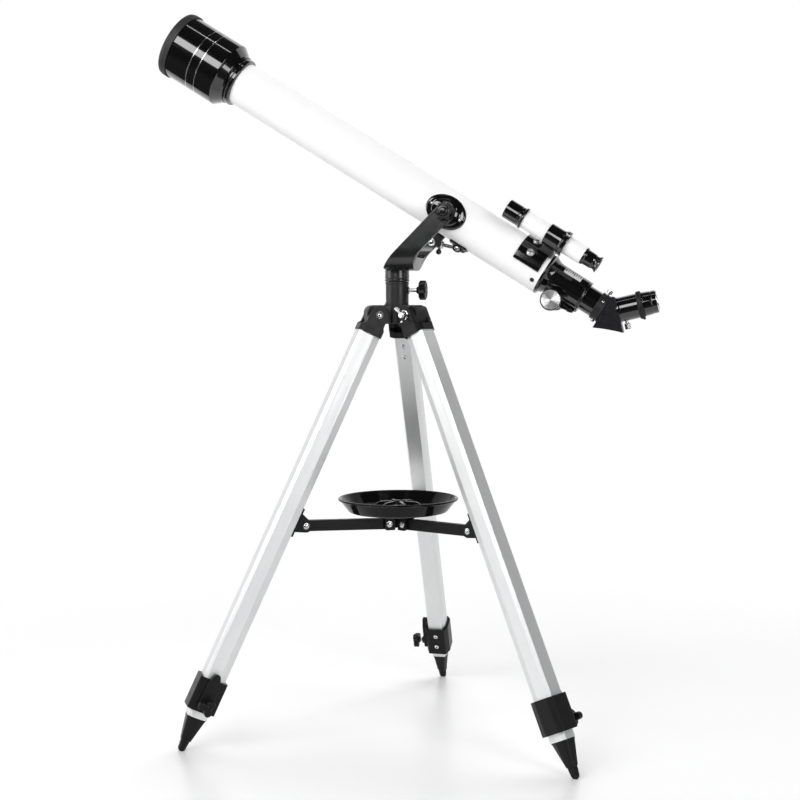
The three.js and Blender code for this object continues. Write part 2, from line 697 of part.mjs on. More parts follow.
/** Hinge bolt, head on the leg's +Y side. */
function hingeBolt() {
  return join(
    barY(BOLT_RADIUS, -capHalfWidth - BOLT_END, capHalfWidth + 1, FACETS_TINY),
    barY(BOLT_HEAD_RADIUS, capHalfWidth + GAP, capHalfWidth + GAP + BOLT_HEAD_THICKNESS, 6 * 2));
}

/** Wing nut on the bolt's other end. */
function wingNut() {
  const seat = capHalfWidth + GAP;
  const end = seat + WING_NUT_HEIGHT;
  const wing = [
    at(0, -seat), at(WING_NUT_RADIUS, -seat - 1),
    ...arc(WING_SPAN / 2 - 3, -end - WING_RISE + 3.4, 3, 10, -170, 6),
    at(0, -end + 1),
  ];
  const oneWing = turnedY(prism(wing, -WING_THICKNESS / 2, WING_THICKNESS / 2), WING_TURN);
  return cut(join(barY(WING_NUT_RADIUS, -end, -seat, FACETS_SMALL), oneWing, turnedY(oneWing, 180)),
    barY(BOLT_RADIUS + BOLT_HOLE, -end - WING_RISE - 2, -seat + 1, FACETS_TINY));
}

/** Plate on the leg's inner face with two ears for the spreader arm. */
function legPlate() {
  const face = -LEG_DEPTH / 2 - GAP;
  const half = LEG_PLATE_LENGTH / 2;
  const station = -SPREADER_STATION;
  const earOut = armSlot / 2 + EAR_THICKNESS;
  const ear = [
    at(face - 1, station - EAR_FOOT), at(face - 1, station + EAR_FOOT),
    ...arc(spreaderBoltX, station, EAR_RADIUS, 75, 285, 12),
  ];
  const ears = cut(sidePlate(ear, -earOut, earOut),
    block([spreaderBoltX - 20, -armSlot / 2, station - 30], [face - LEG_PLATE_THICKNESS, armSlot / 2, station + 30]));
  return join(ears,
    block([face - LEG_PLATE_THICKNESS, -LEG_PLATE_WIDTH / 2, station - half],
      [face, LEG_PLATE_WIDTH / 2, station + half]),
    moved(barY(SPREADER_BOLT_RADIUS, -earOut, earOut, FACETS_TINY), spreaderBoltX, 0, station),
    ...[-earOut - SPREADER_HEAD_THICKNESS, earOut].map((side) => moved(
      barY(SPREADER_HEAD_RADIUS, side, side + SPREADER_HEAD_THICKNESS, FACETS_TINY), spreaderBoltX, 0, station)));
}

/** Spreader arm in the tripod's radial plane: a channel with a fork at its inner end. */
function spreaderArm() {
  const half = ARM_HEIGHT / 2;
  const outline = [
    ...arc(0, 0, half, -90, 90, 10),
    at(-armLength - ARM_END + ARM_END_CHAMFER, half), at(-armLength - ARM_END, half - ARM_END_CHAMFER),
    at(-armLength - ARM_END, -half),
  ];
  const fork = SPREADER_BOLT_RADIUS + ARM_FORK_PLAY;
  const body = cut(sidePlate(outline, -ARM_WIDTH / 2, ARM_WIDTH / 2),
    barY(SPREADER_BOLT_RADIUS + BOLT_HOLE, -ARM_WIDTH, ARM_WIDTH, FACETS_TINY),
    block([-armLength - ARM_END - 1, -ARM_WIDTH, -fork], [-armLength + ARM_FORK_DEPTH - fork, ARM_WIDTH, fork]),
    moved(barY(fork, -ARM_WIDTH, ARM_WIDTH, FACETS_SMALL), -armLength + ARM_FORK_DEPTH - fork, 0, 0),
    block([-armLength + ARM_FORK_DEPTH + 4, -ARM_WIDTH / 2 + ARM_WALL, -half - 1],
      [-half - 2, ARM_WIDTH / 2 - ARM_WALL, half - ARM_WALL]));
  return moved(turnedY(body, THREE.MathUtils.radToDeg(armTilt)), spreaderPoint.r, 0, spreaderPoint.z);
}

function buildLeg(name, azimuth) {
  const leg = new THREE.Group();
  leg.rotation.z = rad(azimuth);
  const sloped = new THREE.Group();
  sloped.position.set(HINGE_RADIUS, 0, hingeHeight);
  sloped.rotation.y = -rad(LEG_SPREAD);
  sloped.add(
    piece(`${name}_leg_cap`, legCap(), 'blackPlastic'),
    piece(`${name}_leg_tube`, legTube(), 'aluminium'),
    piece(`${name}_leg_clamp`, legClamp(), 'blackPlastic'),
    piece(`${name}_clamp_knob`, clampKnob(), 'blackPlastic'),
    piece(`${name}_shin`, shin(), 'aluminium'),
    piece(`${name}_foot`, foot(), 'blackPlastic'),
    piece(`${name}_hinge_bolt`, hingeBolt(), 'chrome'),
    piece(`${name}_wing_nut`, wingNut(), 'chrome'),
    piece(`${name}_leg_plate`, legPlate(), 'blackPlastic'));
  leg.add(sloped, piece(`${name}_spreader_arm`, spreaderArm(), 'blackPlastic'));
  return leg;
}

// ---------------------------------------------------------------- hub, spreader centre and tray

const legAzimuths = LEG_NAMES.map((name, i) => LEFT_LEG_AZIMUTH + 360 / LEG_COUNT * i);

/** Moulded hub: three lugs and the pillar that the yoke turns in. */
function hub() {
  const coreBottom = hingeHeight - HUB_CORE_BELOW;
  const lugReach = HINGE_RADIUS + LUG_REACH;
  const lug = sidePlate([
    at(0, coreBottom), at(lugReach, coreBottom),
    ...arc(lugReach - LUG_CORNER, hubTop - LUG_CORNER, LUG_CORNER, 0, 90, 8),
    at(0, hubTop),
  ], -LUG_WIDTH / 2, LUG_WIDTH / 2);
  const lugHole = moved(barY(BOLT_RADIUS + BOLT_HOLE, -LUG_WIDTH, LUG_WIDTH, FACETS_TINY),
    HINGE_RADIUS, 0, hingeHeight);
  return cut(
    join(barZ(PILLAR_RADIUS, coreBottom, pillarTop, FACETS_MID),
      ...legAzimuths.map((azimuth) => turnedZ(lug, azimuth))),
    ...legAzimuths.map((azimuth) => turnedZ(lugHole, azimuth)),
    barZ(SPINDLE_RADIUS + RUN, collarBottom - SPINDLE_LENGTH - SPINDLE_END_PLAY, pillarTop + 1, FACETS_MID),
    moved(barX(LOCK_SCREW_RADIUS + BOLT_HOLE, 0, PILLAR_RADIUS + 2, FACETS_TINY), 0, 0, lockScrewHeight));
}

/** Azimuth lock screw in the pillar's side. */
function azimuthLock() {
  const inner = PILLAR_RADIUS + LOCK_KNOB_STANDOFF;
  const outer = inner + LOCK_KNOB_THICKNESS;
  const depth = 1.6;
  return moved(join(
    barX(LOCK_SCREW_RADIUS, SPINDLE_RADIUS + GAP, inner + 1, FACETS_TINY),
    turnedAlongX([[0, inner - 3], [4.2, inner - 3], [5.6, inner + 1], [0, inner + 1]], FACETS_SMALL),
    frontPlate(lobed(LOCK_KNOB_RADIUS, LOCK_KNOB_LOBES, depth, 6), inner, outer)), 0, 0, lockScrewHeight);
}

/** Spreader centre: a plate with three clevises and their bolts. */
function spider() {
  const bottom = spiderBoltHeight - SPIDER_DROP;
  const webBottom = spiderBoltHeight + SPIDER_WEB_RISE;
  const cheek = armSlot / 2 + EAR_THICKNESS + 1;
  const head = cheek + SPREADER_HEAD_THICKNESS;
  const around = (geometry) => legAzimuths.map((azimuth) => turnedZ(geometry, azimuth));
  const slots = around(block([0, -armSlot / 2, bottom - 1], [SPIDER_RADIUS + 5, armSlot / 2, webBottom]));
  const bolt = join(barY(SPREADER_BOLT_RADIUS, -cheek, cheek, FACETS_TINY),
    barY(SPREADER_HEAD_RADIUS, cheek - 1, head, FACETS_TINY),
    barY(SPREADER_HEAD_RADIUS, -head, 1 - cheek, FACETS_TINY));
  const body = cut(join(
    barZ(SPIDER_RADIUS, webBottom, spiderTop, FACETS_MID),
    ...around(block([0, -cheek, bottom], [SPIDER_RADIUS - 1, cheek, webBottom + 1]))), ...slots,
  barZ(TRAY_SCREW_RADIUS + BOLT_HOLE, bottom - 1, spiderTop + 1, FACETS_TINY));
  return join(body, ...around(moved(bolt, SPIDER_BOLT_RADIUS, 0, spiderBoltHeight)));
}

/** Round dish with a rolled rim, a raised hub and ribs. */
function tray() {
  const rimTop = trayBottom + TRAY_HEIGHT;
  const dish = turned([
    [0, trayBottom], [TRAY_FLOOR_RADIUS, trayBottom], [TRAY_FLOOR_RADIUS + 2.5, trayBottom + 1.5],
    [TRAY_WALL_TOP_RADIUS, rimTop - 3], [TRAY_RIM_RADIUS, rimTop - 3], [TRAY_RIM_RADIUS, rimTop - 0.8],
    [TRAY_RIM_RADIUS - 1, rimTop], [TRAY_WALL_TOP_RADIUS - 2, rimTop],
    [TRAY_FLOOR_RADIUS - 0.5, trayFloor + 1.5], [TRAY_FLOOR_RADIUS - 3, trayFloor], [0, trayFloor],
  ], FACETS_BIG);
  const hubBoss = turned([
    [0, trayFloor - 1], [TRAY_HUB_RADIUS, trayFloor - 1], [TRAY_HUB_RADIUS, trayFloor + TRAY_HUB_HEIGHT - 1.5],
    [TRAY_HUB_RADIUS - 1.5, trayFloor + TRAY_HUB_HEIGHT], [0, trayFloor + TRAY_HUB_HEIGHT],
  ], FACETS_SMALL);
  const rib = sidePlate([
    at(0, trayFloor - 1), at(TRAY_RIB_REACH, trayFloor - 1),
    at(TRAY_RIB_REACH - 6, trayFloor + TRAY_RIB_HEIGHT), at(0, trayFloor + TRAY_RIB_HEIGHT),
  ], -TRAY_RIB_THICKNESS / 2, TRAY_RIB_THICKNESS / 2);
  const ribs = [];
  for (let i = 0; i < TRAY_RIB_COUNT; i += 1) {
    ribs.push(turnedZ(rib, 360 / TRAY_RIB_COUNT * i));
  }
  return cut(join(dish, hubBoss, ...ribs),
    barZ(TRAY_SCREW_RADIUS + BOLT_HOLE, trayBottom - 1, trayFloor + TRAY_HUB_HEIGHT + 1, FACETS_TINY));
}

/** Screw that holds the tray on the spreader centre. */
function trayScrew() {
  const seat = trayFloor + TRAY_HUB_HEIGHT + GAP;
  return turned([
    [0, spiderTop - TRAY_SCREW_DEPTH], [TRAY_SCREW_RADIUS, spiderTop - TRAY_SCREW_DEPTH],
    [TRAY_SCREW_RADIUS, seat], [TRAY_SCREW_HEAD_RADIUS, seat], [TRAY_SCREW_HEAD_RADIUS, seat + 1.5],
    [TRAY_SCREW_HEAD_RADIUS * 0.7, seat + TRAY_SCREW_HEAD - 0.8], [0, seat + TRAY_SCREW_HEAD],
  ], FACETS_SMALL);
}

// ---------------------------------------------------------------- yoke

/** Fork casting with its collar and the spindle that turns in the pillar. */
function yoke() {
  const top = pivotHeight + YOKE_ARM_HALF_WIDTH + 1;
  const slant = rad(YOKE_ARM_ANGLE);
  const across = at(-Math.sin(slant), Math.cos(slant)).multiplyScalar(YOKE_ARM_HALF_WIDTH);
  const pivot = at(PIVOT_FORWARD, pivotHeight);
  const along = (from, height) => {
    const t = (height - from.y) / Math.sin(slant);
    return at(from.x + t * Math.cos(slant), height);
  };
  const backLine = pivot.clone().add(across);
  const frontLine = pivot.clone().sub(across);
  const backKnee = along(backLine, yokeBase + YOKE_KNEE_RISE);
  const frontKnee = along(frontLine, yokeBase + YOKE_KNEE_RISE);
  const side = new THREE.Shape();
  side.moveTo(-YOKE_BASE_BACK + 3, yokeBase);
  side.lineTo(YOKE_BASE_FRONT, yokeBase);
  side.quadraticCurveTo(YOKE_BASE_FRONT + 2, yokeBase + YOKE_KNEE_RISE * 0.6, frontKnee.x, frontKnee.y);
  arc(pivot.x, pivot.y, YOKE_ARM_HALF_WIDTH, YOKE_ARM_ANGLE - 90, YOKE_ARM_ANGLE + 90, 12)
    .forEach((p) => side.lineTo(p.x, p.y));
  side.lineTo(backKnee.x, backKnee.y);
  side.quadraticCurveTo(backKnee.x - 9, backKnee.y - 9, -YOKE_BASE_BACK, yokeBase + 3);
  const outerU = [
    at(armOuter, top), at(-armOuter, top),
    ...arc(YOKE_OUTER_BEND - armOuter, yokeBase + YOKE_OUTER_BEND, YOKE_OUTER_BEND, 180, 270, 8),
    ...arc(armOuter - YOKE_OUTER_BEND, yokeBase + YOKE_OUTER_BEND, YOKE_OUTER_BEND, 270, 360, 8),
  ];
  const innerU = [
    at(armInner, top + 1), at(-armInner, top + 1),
    ...arc(YOKE_INNER_BEND - armInner, yokeBase + YOKE_WEB + YOKE_INNER_BEND, YOKE_INNER_BEND, 180, 270, 8),
    ...arc(armInner - YOKE_INNER_BEND, yokeBase + YOKE_WEB + YOKE_INNER_BEND, YOKE_INNER_BEND, 270, 360, 8),
  ];
  const span = PIVOT_FORWARD + 40;
  const fork = cut(
    common(sidePlate(side, -armOuter, armOuter), frontPlate(outerU, -span, span)),
    frontPlate(innerU, -span, span),
    moved(barY(ALT_SCREW_RADIUS + BOLT_HOLE, -armOuter - 1, armOuter + 1, FACETS_SMALL),
      PIVOT_FORWARD, 0, pivotHeight),
    moved(barY(BLOCK_PIN_RADIUS + BOLT_HOLE, armInner - 1, armOuter + 1, FACETS_TINY), blockPivot.x, 0, blockPivot.z));
  const spindle = turned([
    [0, collarBottom - SPINDLE_LENGTH], [SPINDLE_RADIUS, collarBottom - SPINDLE_LENGTH],
    [SPINDLE_RADIUS, collarBottom], [COLLAR_RADIUS - 1, collarBottom], [COLLAR_RADIUS, collarBottom + 1],
    [COLLAR_RADIUS, yokeBase + 1], [0, yokeBase + 1],
  ], FACETS_MID);
  return join(fork, spindle);
}

/** Altitude screw: a lobed knob outside the arm and a shank into the tube's side plate. */
function altitudeKnob(side) {
  const inner = armOuter + GAP;
  const outer = inner + ALT_KNOB_THICKNESS;
  const tip = TUBE_RADIUS + 2 * GAP;
  const knob = join(
    barY(ALT_SCREW_RADIUS, tip, inner + 1, FACETS_SMALL),
    sidePlate(lobed(ALT_KNOB_RADIUS, ALT_KNOB_LOBES, 2.6, 6), inner + 2, outer - 1.5),
    barY(ALT_KNOB_RADIUS - 4, inner, outer, FACETS_SMALL));
  return moved(side > 0 ? knob : turnedZ(knob, 180), PIVOT_FORWARD, 0, pivotHeight);
}

// ---------------------------------------------------------------- slow-motion rod

/** Places a piece drawn along +X from the anchor pin onto the rod's line. */
function onRod(geometry, from) {
  return moved(turnedY(geometry, -THREE.MathUtils.radToDeg(rodTurn)), from.x, rodSide, from.z);
}

function slowRod() {
  const eye = cut(
    join(barY(ROD_EYE_RADIUS, -ROD_EYE_THICKNESS / 2, ROD_EYE_THICKNESS / 2, FACETS_SMALL),
      barX(ROD_RADIUS, 0, ROD_LENGTH, FACETS_SMALL)),
    barY(ANCHOR_PIN_RADIUS + BOLT_HOLE, -ROD_EYE_THICKNESS, ROD_EYE_THICKNESS, FACETS_TINY));
  return onRod(eye, anchorPoint);
}

/** Block that turns on the far arm; the rod slides through it. */
function swivelBlock() {
  const half = BLOCK_THICKNESS / 2;
  const body = join(
    block([-BLOCK_FRONT, -half, -BLOCK_HEIGHT / 2], [BLOCK_BACK, half, BLOCK_HEIGHT / 2]),
    barY(BLOCK_PIN_RADIUS, armInner - GAP - rodSide - 1, -half + 1, FACETS_TINY),
    barY(BLOCK_PIN_HEAD_RADIUS, armInner - GAP - BLOCK_PIN_HEAD - rodSide, armInner - GAP - rodSide, FACETS_SMALL));
  return onRod(cut(body,
    barX(ROD_RADIUS + RUN, -BLOCK_FRONT - 1, BLOCK_BACK + 1, FACETS_SMALL),
    moved(barZ(ROD_SCREW_RADIUS + BOLT_HOLE, 0, BLOCK_HEIGHT, FACETS_TINY), -ROD_SCREW_FORWARD, 0, 0)), blockPivot);
}

/** Ball-ended screw under the block. */
function rodScrew() {
  const reach = ROD_SCREW_BALL_DROP;
  const profile = [
    [0, ROD_RADIUS + GAP], [ROD_SCREW_RADIUS, ROD_RADIUS + GAP], [ROD_SCREW_RADIUS, reach - 3.4],
    ...arc(0, reach, ROD_SCREW_BALL_RADIUS, -65, 90, 7).slice(0, -1).map((p) => [p.x, p.y]),
    [0, reach + ROD_SCREW_BALL_RADIUS],
  ];
  return onRod(moved(turned(profile, FACETS_TINY), -ROD_SCREW_FORWARD, 0, 0), blockPivot);
}

/** World height and reach of a point of the tube's mid plane. */
function fromTube(station, height) {
  const rise = rad(ALTITUDE);
  const ahead = station - PIVOT_FROM_REAR;
  return {
    x: PIVOT_FORWARD - ahead * Math.cos(rise) + height * Math.sin(rise),
    z: pivotHeight + ahead * Math.sin(rise) + height * Math.cos(rise),
  };
}

// ---------------------------------------------------------------- optical tube

const mainTube = () => turnedAlongX([
  [TUBE_RADIUS - TUBE_WALL, 0], [TUBE_RADIUS, 0], [TUBE_RADIUS, TUBE_LENGTH], [TUBE_RADIUS - TUBE_WALL, TUBE_LENGTH],
], FACETS_BIG);

/** A sector of shell round the tube, from its surface outwards. */
function saddleShell(from, to, halfAngle, thickness) {
  const inner = TUBE_RADIUS + GAP;
  const wedge = [at(0, 0), ...arc(0, 0, inner + thickness + 10, 90 - halfAngle, 90 + halfAngle, 10)];
  return common(
    turnedAlongX([[inner, from], [inner + thickness, from], [inner + thickness, to], [inner, to]], FACETS_BIG),
    frontPlate(wedge, from - 1, to + 1));
}

/** Oval side plate with the boss that the yoke's arm bears on; side +1 is the tube's +Y. */
function sidePlateBoss() {
  const shell = turnedAlongX([
    [TUBE_RADIUS + GAP, -PLATE_LENGTH], [TUBE_RADIUS + GAP + PLATE_THICKNESS, -PLATE_LENGTH],
    [TUBE_RADIUS + GAP + PLATE_THICKNESS, PLATE_LENGTH], [TUBE_RADIUS + GAP, PLATE_LENGTH],
  ], FACETS_BIG);
  const oval = arc(0, 0, 1, 0, 350, 35).map((p) => at(p.x * PLATE_LENGTH / 2, p.y * PLATE_HEIGHT / 2));
  const boss = cut(barY(PLATE_BOSS_RADIUS, TUBE_RADIUS - 4, YOKE_HALF_GAP - GAP, FACETS_MID),
    barX(TUBE_RADIUS + GAP, -PLATE_LENGTH, PLATE_LENGTH, FACETS_BIG));
  return cut(join(common(shell, sidePlate(oval, 0, YOKE_HALF_GAP)), boss),
    barY(ALT_SCREW_RADIUS + BOLT_HOLE, 0, YOKE_HALF_GAP + 1, FACETS_SMALL));
}

function trunnion(side) {
  const plate = side > 0 ? sidePlateBoss() : turnedX(sidePlateBoss(), 180);
  return moved(plate, PIVOT_FROM_REAR, 0, 0);
}

/** Bracket under the tube with the rod's anchor pin. */
function rodAnchor() {
  const half = ANCHOR_PLATE_LENGTH / 2;
  const shell = turnedX(saddleShell(-half, half, ANCHOR_PLATE_HALF_ANGLE, ANCHOR_PLATE), 180);
  const earNear = -ANCHOR_EAR_THICKNESS / 2;
  const root = -TUBE_RADIUS - GAP - 1;
  const ear = sidePlate([
    at(-half / 2, root), ...arc(0, -anchorDrop, ANCHOR_EAR_RADIUS, 190, 350, 8), at(half / 2, root),
  ], earNear, -earNear);
  const pinEnd = rodSide + ROD_EYE_THICKNESS / 2 + GAP;
  const pin = join(barY(ANCHOR_PIN_RADIUS, -pinEnd - 1, 0, FACETS_TINY),
    barY(ROD_EYE_RADIUS - 1, -pinEnd - 2, -pinEnd, FACETS_TINY));
  return moved(join(shell, ear, moved(pin, 0, 0, -anchorDrop)), anchorStation, 0, 0);
}

/** Lens cell pushed into the tube's front end. */
function objectiveCell() {
  const rear = TUBE_LENGTH + GAP;
  const plug = TUBE_RADIUS - TUBE_WALL - GAP;
  const seat = cellFront - LENS_SETBACK - LENS_THICKNESS;
  return turnedAlongX([
    [CELL_BORE, rear - CELL_PLUG], [plug, rear - CELL_PLUG], [plug, rear], [CELL_FLANGE_RADIUS - 1, rear],
    [CELL_FLANGE_RADIUS, rear + 1], [CELL_FLANGE_RADIUS, rear + CELL_FLANGE],
    [CELL_HOUSING_RADIUS, rear + CELL_FLANGE], [CELL_HOUSING_RADIUS, cellFront],
    [LENS_RADIUS + GAP, cellFront], [LENS_RADIUS + GAP, seat - GAP], [CELL_BORE, seat - GAP],
  ], FACETS_BIG);
}

/** Two-element objective as one lens body. */
function objectiveLens() {
  const rear = cellFront - LENS_SETBACK - LENS_THICKNESS;
  const front = cellFront - LENS_SETBACK;
  const steps = 3;
  const bulge = (station, sag) => {
    const points = [];
    for (let i = 0; i <= steps; i += 1) {
      const r = LENS_RADIUS * i / steps;
      points.push([r, station + sag * (1 - (r / LENS_RADIUS) ** 2)]);
    }
    return points;
  };
  return turnedAlongX([...bulge(rear, -LENS_SAG / 3), ...bulge(front, LENS_SAG).reverse()], FACETS_MID);
}

/** Dew shield with its rounded shoulder. */
function dewShield() {
  const inner = SHIELD_RADIUS - SHIELD_WALL;
  const throat = CELL_HOUSING_RADIUS + GAP;
  const outside = [[throat, shieldRear], [CELL_FLANGE_RADIUS + 1.4, shieldRear]];
  arc(0, 0, 1, 0, 90, 5).slice(1).forEach((p) => {
    const r = CELL_FLANGE_RADIUS + 1.4 + (SHIELD_RADIUS - CELL_FLANGE_RADIUS - 1.4) * p.y;
    outside.push([r, shieldRear + SHIELD_SHOULDER * (1 - p.x)]);
  });
  return turnedAlongX([...outside, [SHIELD_RADIUS, shieldFront], [inner, shieldFront],
    [inner, shieldRear + SHIELD_SHOULDER + 4], [throat, shieldRear + 4]], FACETS_BIG);
}

/** Push-on dust cap. */
function dustCap() {
  const front = capRear + CAP_DEPTH;
  const bore = SHIELD_RADIUS + GAP;
  return turnedAlongX([
    [0, front - 0.8], [capRadius - 9, front - 0.8], [capRadius - 8, front], [capRadius - CAP_EDGE, front],
    [capRadius - CAP_EDGE * 0.3, front - CAP_EDGE * 0.3], [capRadius, front - CAP_EDGE], [capRadius, capRear],
    [bore, capRear], [bore, front - CAP_FACE], [0, front - CAP_FACE],
  ], FACETS_BIG);
}

// ---------------------------------------------------------------- focuser

/** Rack teeth as an outline in X and Z, pointing down from its root line. */
function rackOutline() {
  const pitch = Math.PI * GEAR_MODULE;
  const lean = GEAR_MODULE * Math.tan(rad(PRESSURE_ANGLE));
  const halfTooth = (pitch - TOOTH_BACKLASH) / 4;
  const tip = -(rackPitchLine + GEAR_MODULE);
  const root = -(rackPitchLine - GEAR_MODULE - TOOTH_ROOM / 2);
  const rootLean = lean * (1 + TOOTH_ROOM / 2 / GEAR_MODULE);
  const first = Math.ceil((RACK_REAR + pitch - PINION_STATION) / pitch);
  const last = Math.floor((RACK_FRONT - pitch - PINION_STATION) / pitch);
  const points = [at(RACK_REAR, -(DRAWTUBE_RADIUS - 1)), at(RACK_REAR, root)];
  for (let i = first; i <= last; i += 1) {
    const middle = PINION_STATION + i * pitch;
    points.push(at(middle - halfTooth - rootLean, root), at(middle - halfTooth + lean, tip),
      at(middle + halfTooth - lean, tip), at(middle + halfTooth + rootLean, root));
  }
  points.push(at(RACK_FRONT, root), at(RACK_FRONT, -(DRAWTUBE_RADIUS - 1)));
  return points;
}

/** Pinion outline with involute flanks, a gap towards +Y of the outline. */
function pinionOutline() {
  const base = pinionPitchRadius * Math.cos(rad(PRESSURE_ANGLE));
  const root = pinionPitchRadius - GEAR_MODULE - TOOTH_ROOM;
  const involute = (r) => {
    const t = Math.sqrt(Math.max((r / base) ** 2 - 1, 0));
    return t - Math.atan(t);
  };
  const halfTooth = (Math.PI * GEAR_MODULE - TOOTH_BACKLASH) / 4 / pinionPitchRadius;
  const radii = [base, (base + pinionPitchRadius) / 2, pinionPitchRadius,
    (pinionPitchRadius + pinionTipRadius) / 2, pinionTipRadius - 0.05];
  const flank = radii.map((r) => [r, halfTooth + involute(pinionPitchRadius) - involute(r)]);
  const points = [];
  const put = (r, angle) => points.push(at(r * Math.cos(angle), r * Math.sin(angle)));
  for (let i = 0; i < PINION_TEETH; i += 1) {
    const middle = Math.PI / 2 + 2 * Math.PI * (i + 0.5) / PINION_TEETH;
    put(root, middle - flank[0][1]);
    flank.forEach(([r, angle]) => put(r, middle - angle));
    flank.slice().reverse().forEach(([r, angle]) => put(r, middle + angle));
    put(root, middle + flank[0][1]);
  }
  return points;
}

/** Focuser casting: plug and flange, body with its bore, and the pinion's housing. */
function focuserBody() {
  const plug = TUBE_RADIUS - TUBE_WALL - GAP;
  const flangeFront = -GAP;
  const flangeRear = flangeFront - FOCUSER_FLANGE;
  const shell = turnedAlongX([
    [0, FOCUSER_PLUG], [plug, FOCUSER_PLUG], [plug, flangeFront],
    [FOCUSER_FLANGE_RADIUS, flangeFront], [FOCUSER_FLANGE_RADIUS, flangeRear],
    [FOCUSER_FLANGE_RADIUS - 4, flangeRear - 1], [FOCUSER_RADIUS + 1.5, flangeRear - FOCUSER_CONE * 0.55],
    [FOCUSER_RADIUS, flangeRear - FOCUSER_CONE], [FOCUSER_RADIUS, -FOCUSER_LENGTH], [0, -FOCUSER_LENGTH],
  ], FACETS_BIG);
  const bottom = pinionDrop + pinionTipRadius + PINION_ROOM + HOUSING_WALL;
  const housing = sidePlate([
    at(HOUSING_FRONT, 0), at(HOUSING_FRONT, -FOCUSER_RADIUS), at(PINION_STATION + 9, -bottom),
    at(PINION_STATION - 8, -bottom), at(HOUSING_REAR, -FOCUSER_RADIUS + 1), at(HOUSING_REAR, 0),
  ], -HOUSING_HALF_WIDTH, HOUSING_HALF_WIDTH);
  const channelDepth = rackPitchLine + GEAR_MODULE + PINION_ROOM;
  const railWidth = RACK_WIDTH / 2 + 4;
  const rail = block([-FOCUSER_LENGTH, -railWidth, -channelDepth - 1.6], [HOUSING_REAR + 1, railWidth, 0]);
  return cut(join(shell, housing, rail),
    barX(DRAWTUBE_RADIUS + RUN, -FOCUSER_LENGTH - 1, FOCUSER_PLUG + 1, FACETS_BIG),
    block([-FOCUSER_LENGTH - 1, -RACK_WIDTH / 2 - RUN, -channelDepth],
      [FOCUSER_PLUG + 1, RACK_WIDTH / 2 + RUN, 0]),
    moved(barY(pinionTipRadius + PINION_ROOM, -RACK_WIDTH / 2 - 1, RACK_WIDTH / 2 + 1, FACETS_SMALL),
      PINION_STATION, 0, -pinionDrop),
    moved(barY(SHAFT_RADIUS + RUN, -HOUSING_HALF_WIDTH - 1, HOUSING_HALF_WIDTH + 1, FACETS_SMALL),
      PINION_STATION, 0, -pinionDrop));
}

/** Drawtube with its rack and the collar that takes the diagonal. */
function drawtube() {
  const socket = NOSE_RADIUS + RUN;
  const inner = DRAWTUBE_RADIUS - DRAWTUBE_WALL;
  const shell = turnedAlongX([
    [inner, DRAWTUBE_FRONT], [DRAWTUBE_RADIUS, DRAWTUBE_FRONT], [DRAWTUBE_RADIUS, collarFront],
    [DRAW_COLLAR_RADIUS, collarFront], [DRAW_COLLAR_RADIUS, collarRear + 1], [DRAW_COLLAR_RADIUS - 1, collarRear],
    [socket, collarRear], [socket, collarRear + DRAW_SOCKET_DEPTH], [inner, collarRear + DRAW_SOCKET_DEPTH + 2],
  ], FACETS_MID);
  const bore = barX(inner, RACK_REAR - 5, RACK_FRONT + 5, FACETS_MID);
  const rack = cut(sidePlate(rackOutline(), -RACK_WIDTH / 2, RACK_WIDTH / 2), bore);
  return cut(join(shell, rack),
    moved(barZ(DRAW_SCREW_RADIUS + BOLT_HOLE, 0, DRAW_COLLAR_RADIUS + 1, FACETS_TINY),
      collarFront - DRAW_SCREW_STATION, 0, 0));
}

/** Pinion, its shaft and the two focus knobs. */
function focusShaft() {
  const end = FOCUS_KNOB_START + FOCUS_KNOB_THICKNESS;
  const knob = turned([
    [0, FOCUS_KNOB_START], [FOCUS_KNOB_RADIUS - 3, FOCUS_KNOB_START], [FOCUS_KNOB_RADIUS - 2.4, end - 8],
    [FOCUS_KNOB_RADIUS, end - 6.5], [FOCUS_KNOB_RADIUS, end - 0.8], [FOCUS_KNOB_RADIUS - 0.8, end], [0, end],
  ], FACETS_MID);
  return moved(join(
    barY(SHAFT_RADIUS, -FOCUS_KNOB_START - 1, FOCUS_KNOB_START + 1, FACETS_SMALL),
    sidePlate(pinionOutline(), -RACK_WIDTH / 2, RACK_WIDTH / 2),
    turnedX(knob, 90), turnedX(knob, -90)), PINION_STATION, 0, -pinionDrop);
}

/** Small thumbscrew along +Z: shank from one height, neck, then a round head. */
function thumbscrew(shank, tip, seat, neck, headRadius, head) {
  const under = seat + neck;
  return turned([
    [0, tip], [shank, tip], [shank, under], [headRadius, under], [headRadius, under + head - 0.6],
    [headRadius - 0.6, under + head], [0, under + head],
  ], FACETS_TINY);
}

const drawScrew = () => moved(
  thumbscrew(DRAW_SCREW_RADIUS, NOSE_RADIUS + GAP, DRAW_COLLAR_RADIUS, DRAW_SCREW_NECK,
    DRAW_SCREW_HEAD_RADIUS, DRAW_SCREW_HEAD), collarFront - DRAW_SCREW_STATION, 0, 0);

// ---------------------------------------------------------------- diagonal and eyepiece

/** Moves a piece from the eyepiece frame into the tube frame. */
function onEyepieceAxis(geometry) {
  return moved(turnedY(geometry, BEND - 90), bendStation, 0, 0);
}

/** Prism housing's side outline in X and Z, in by a wall. */
function prismOutline(wall) {
  const slant = rad(BEND);
  const front = BEND_BEHIND_COLLAR - GAP;
  const exit = (height) => -(PRISM_EXIT - height * Math.sin(slant)) / Math.cos(slant);
  const top = PRISM_TOP;
  const bottomRear = -PRISM_BOTTOM * 0.44;
  const outline = [
    at(front, -PRISM_BOTTOM), at(front, top), at(exit(top), top), at(exit(bottomRear), bottomRear),
  ];
  return inset(outline, wall);
}

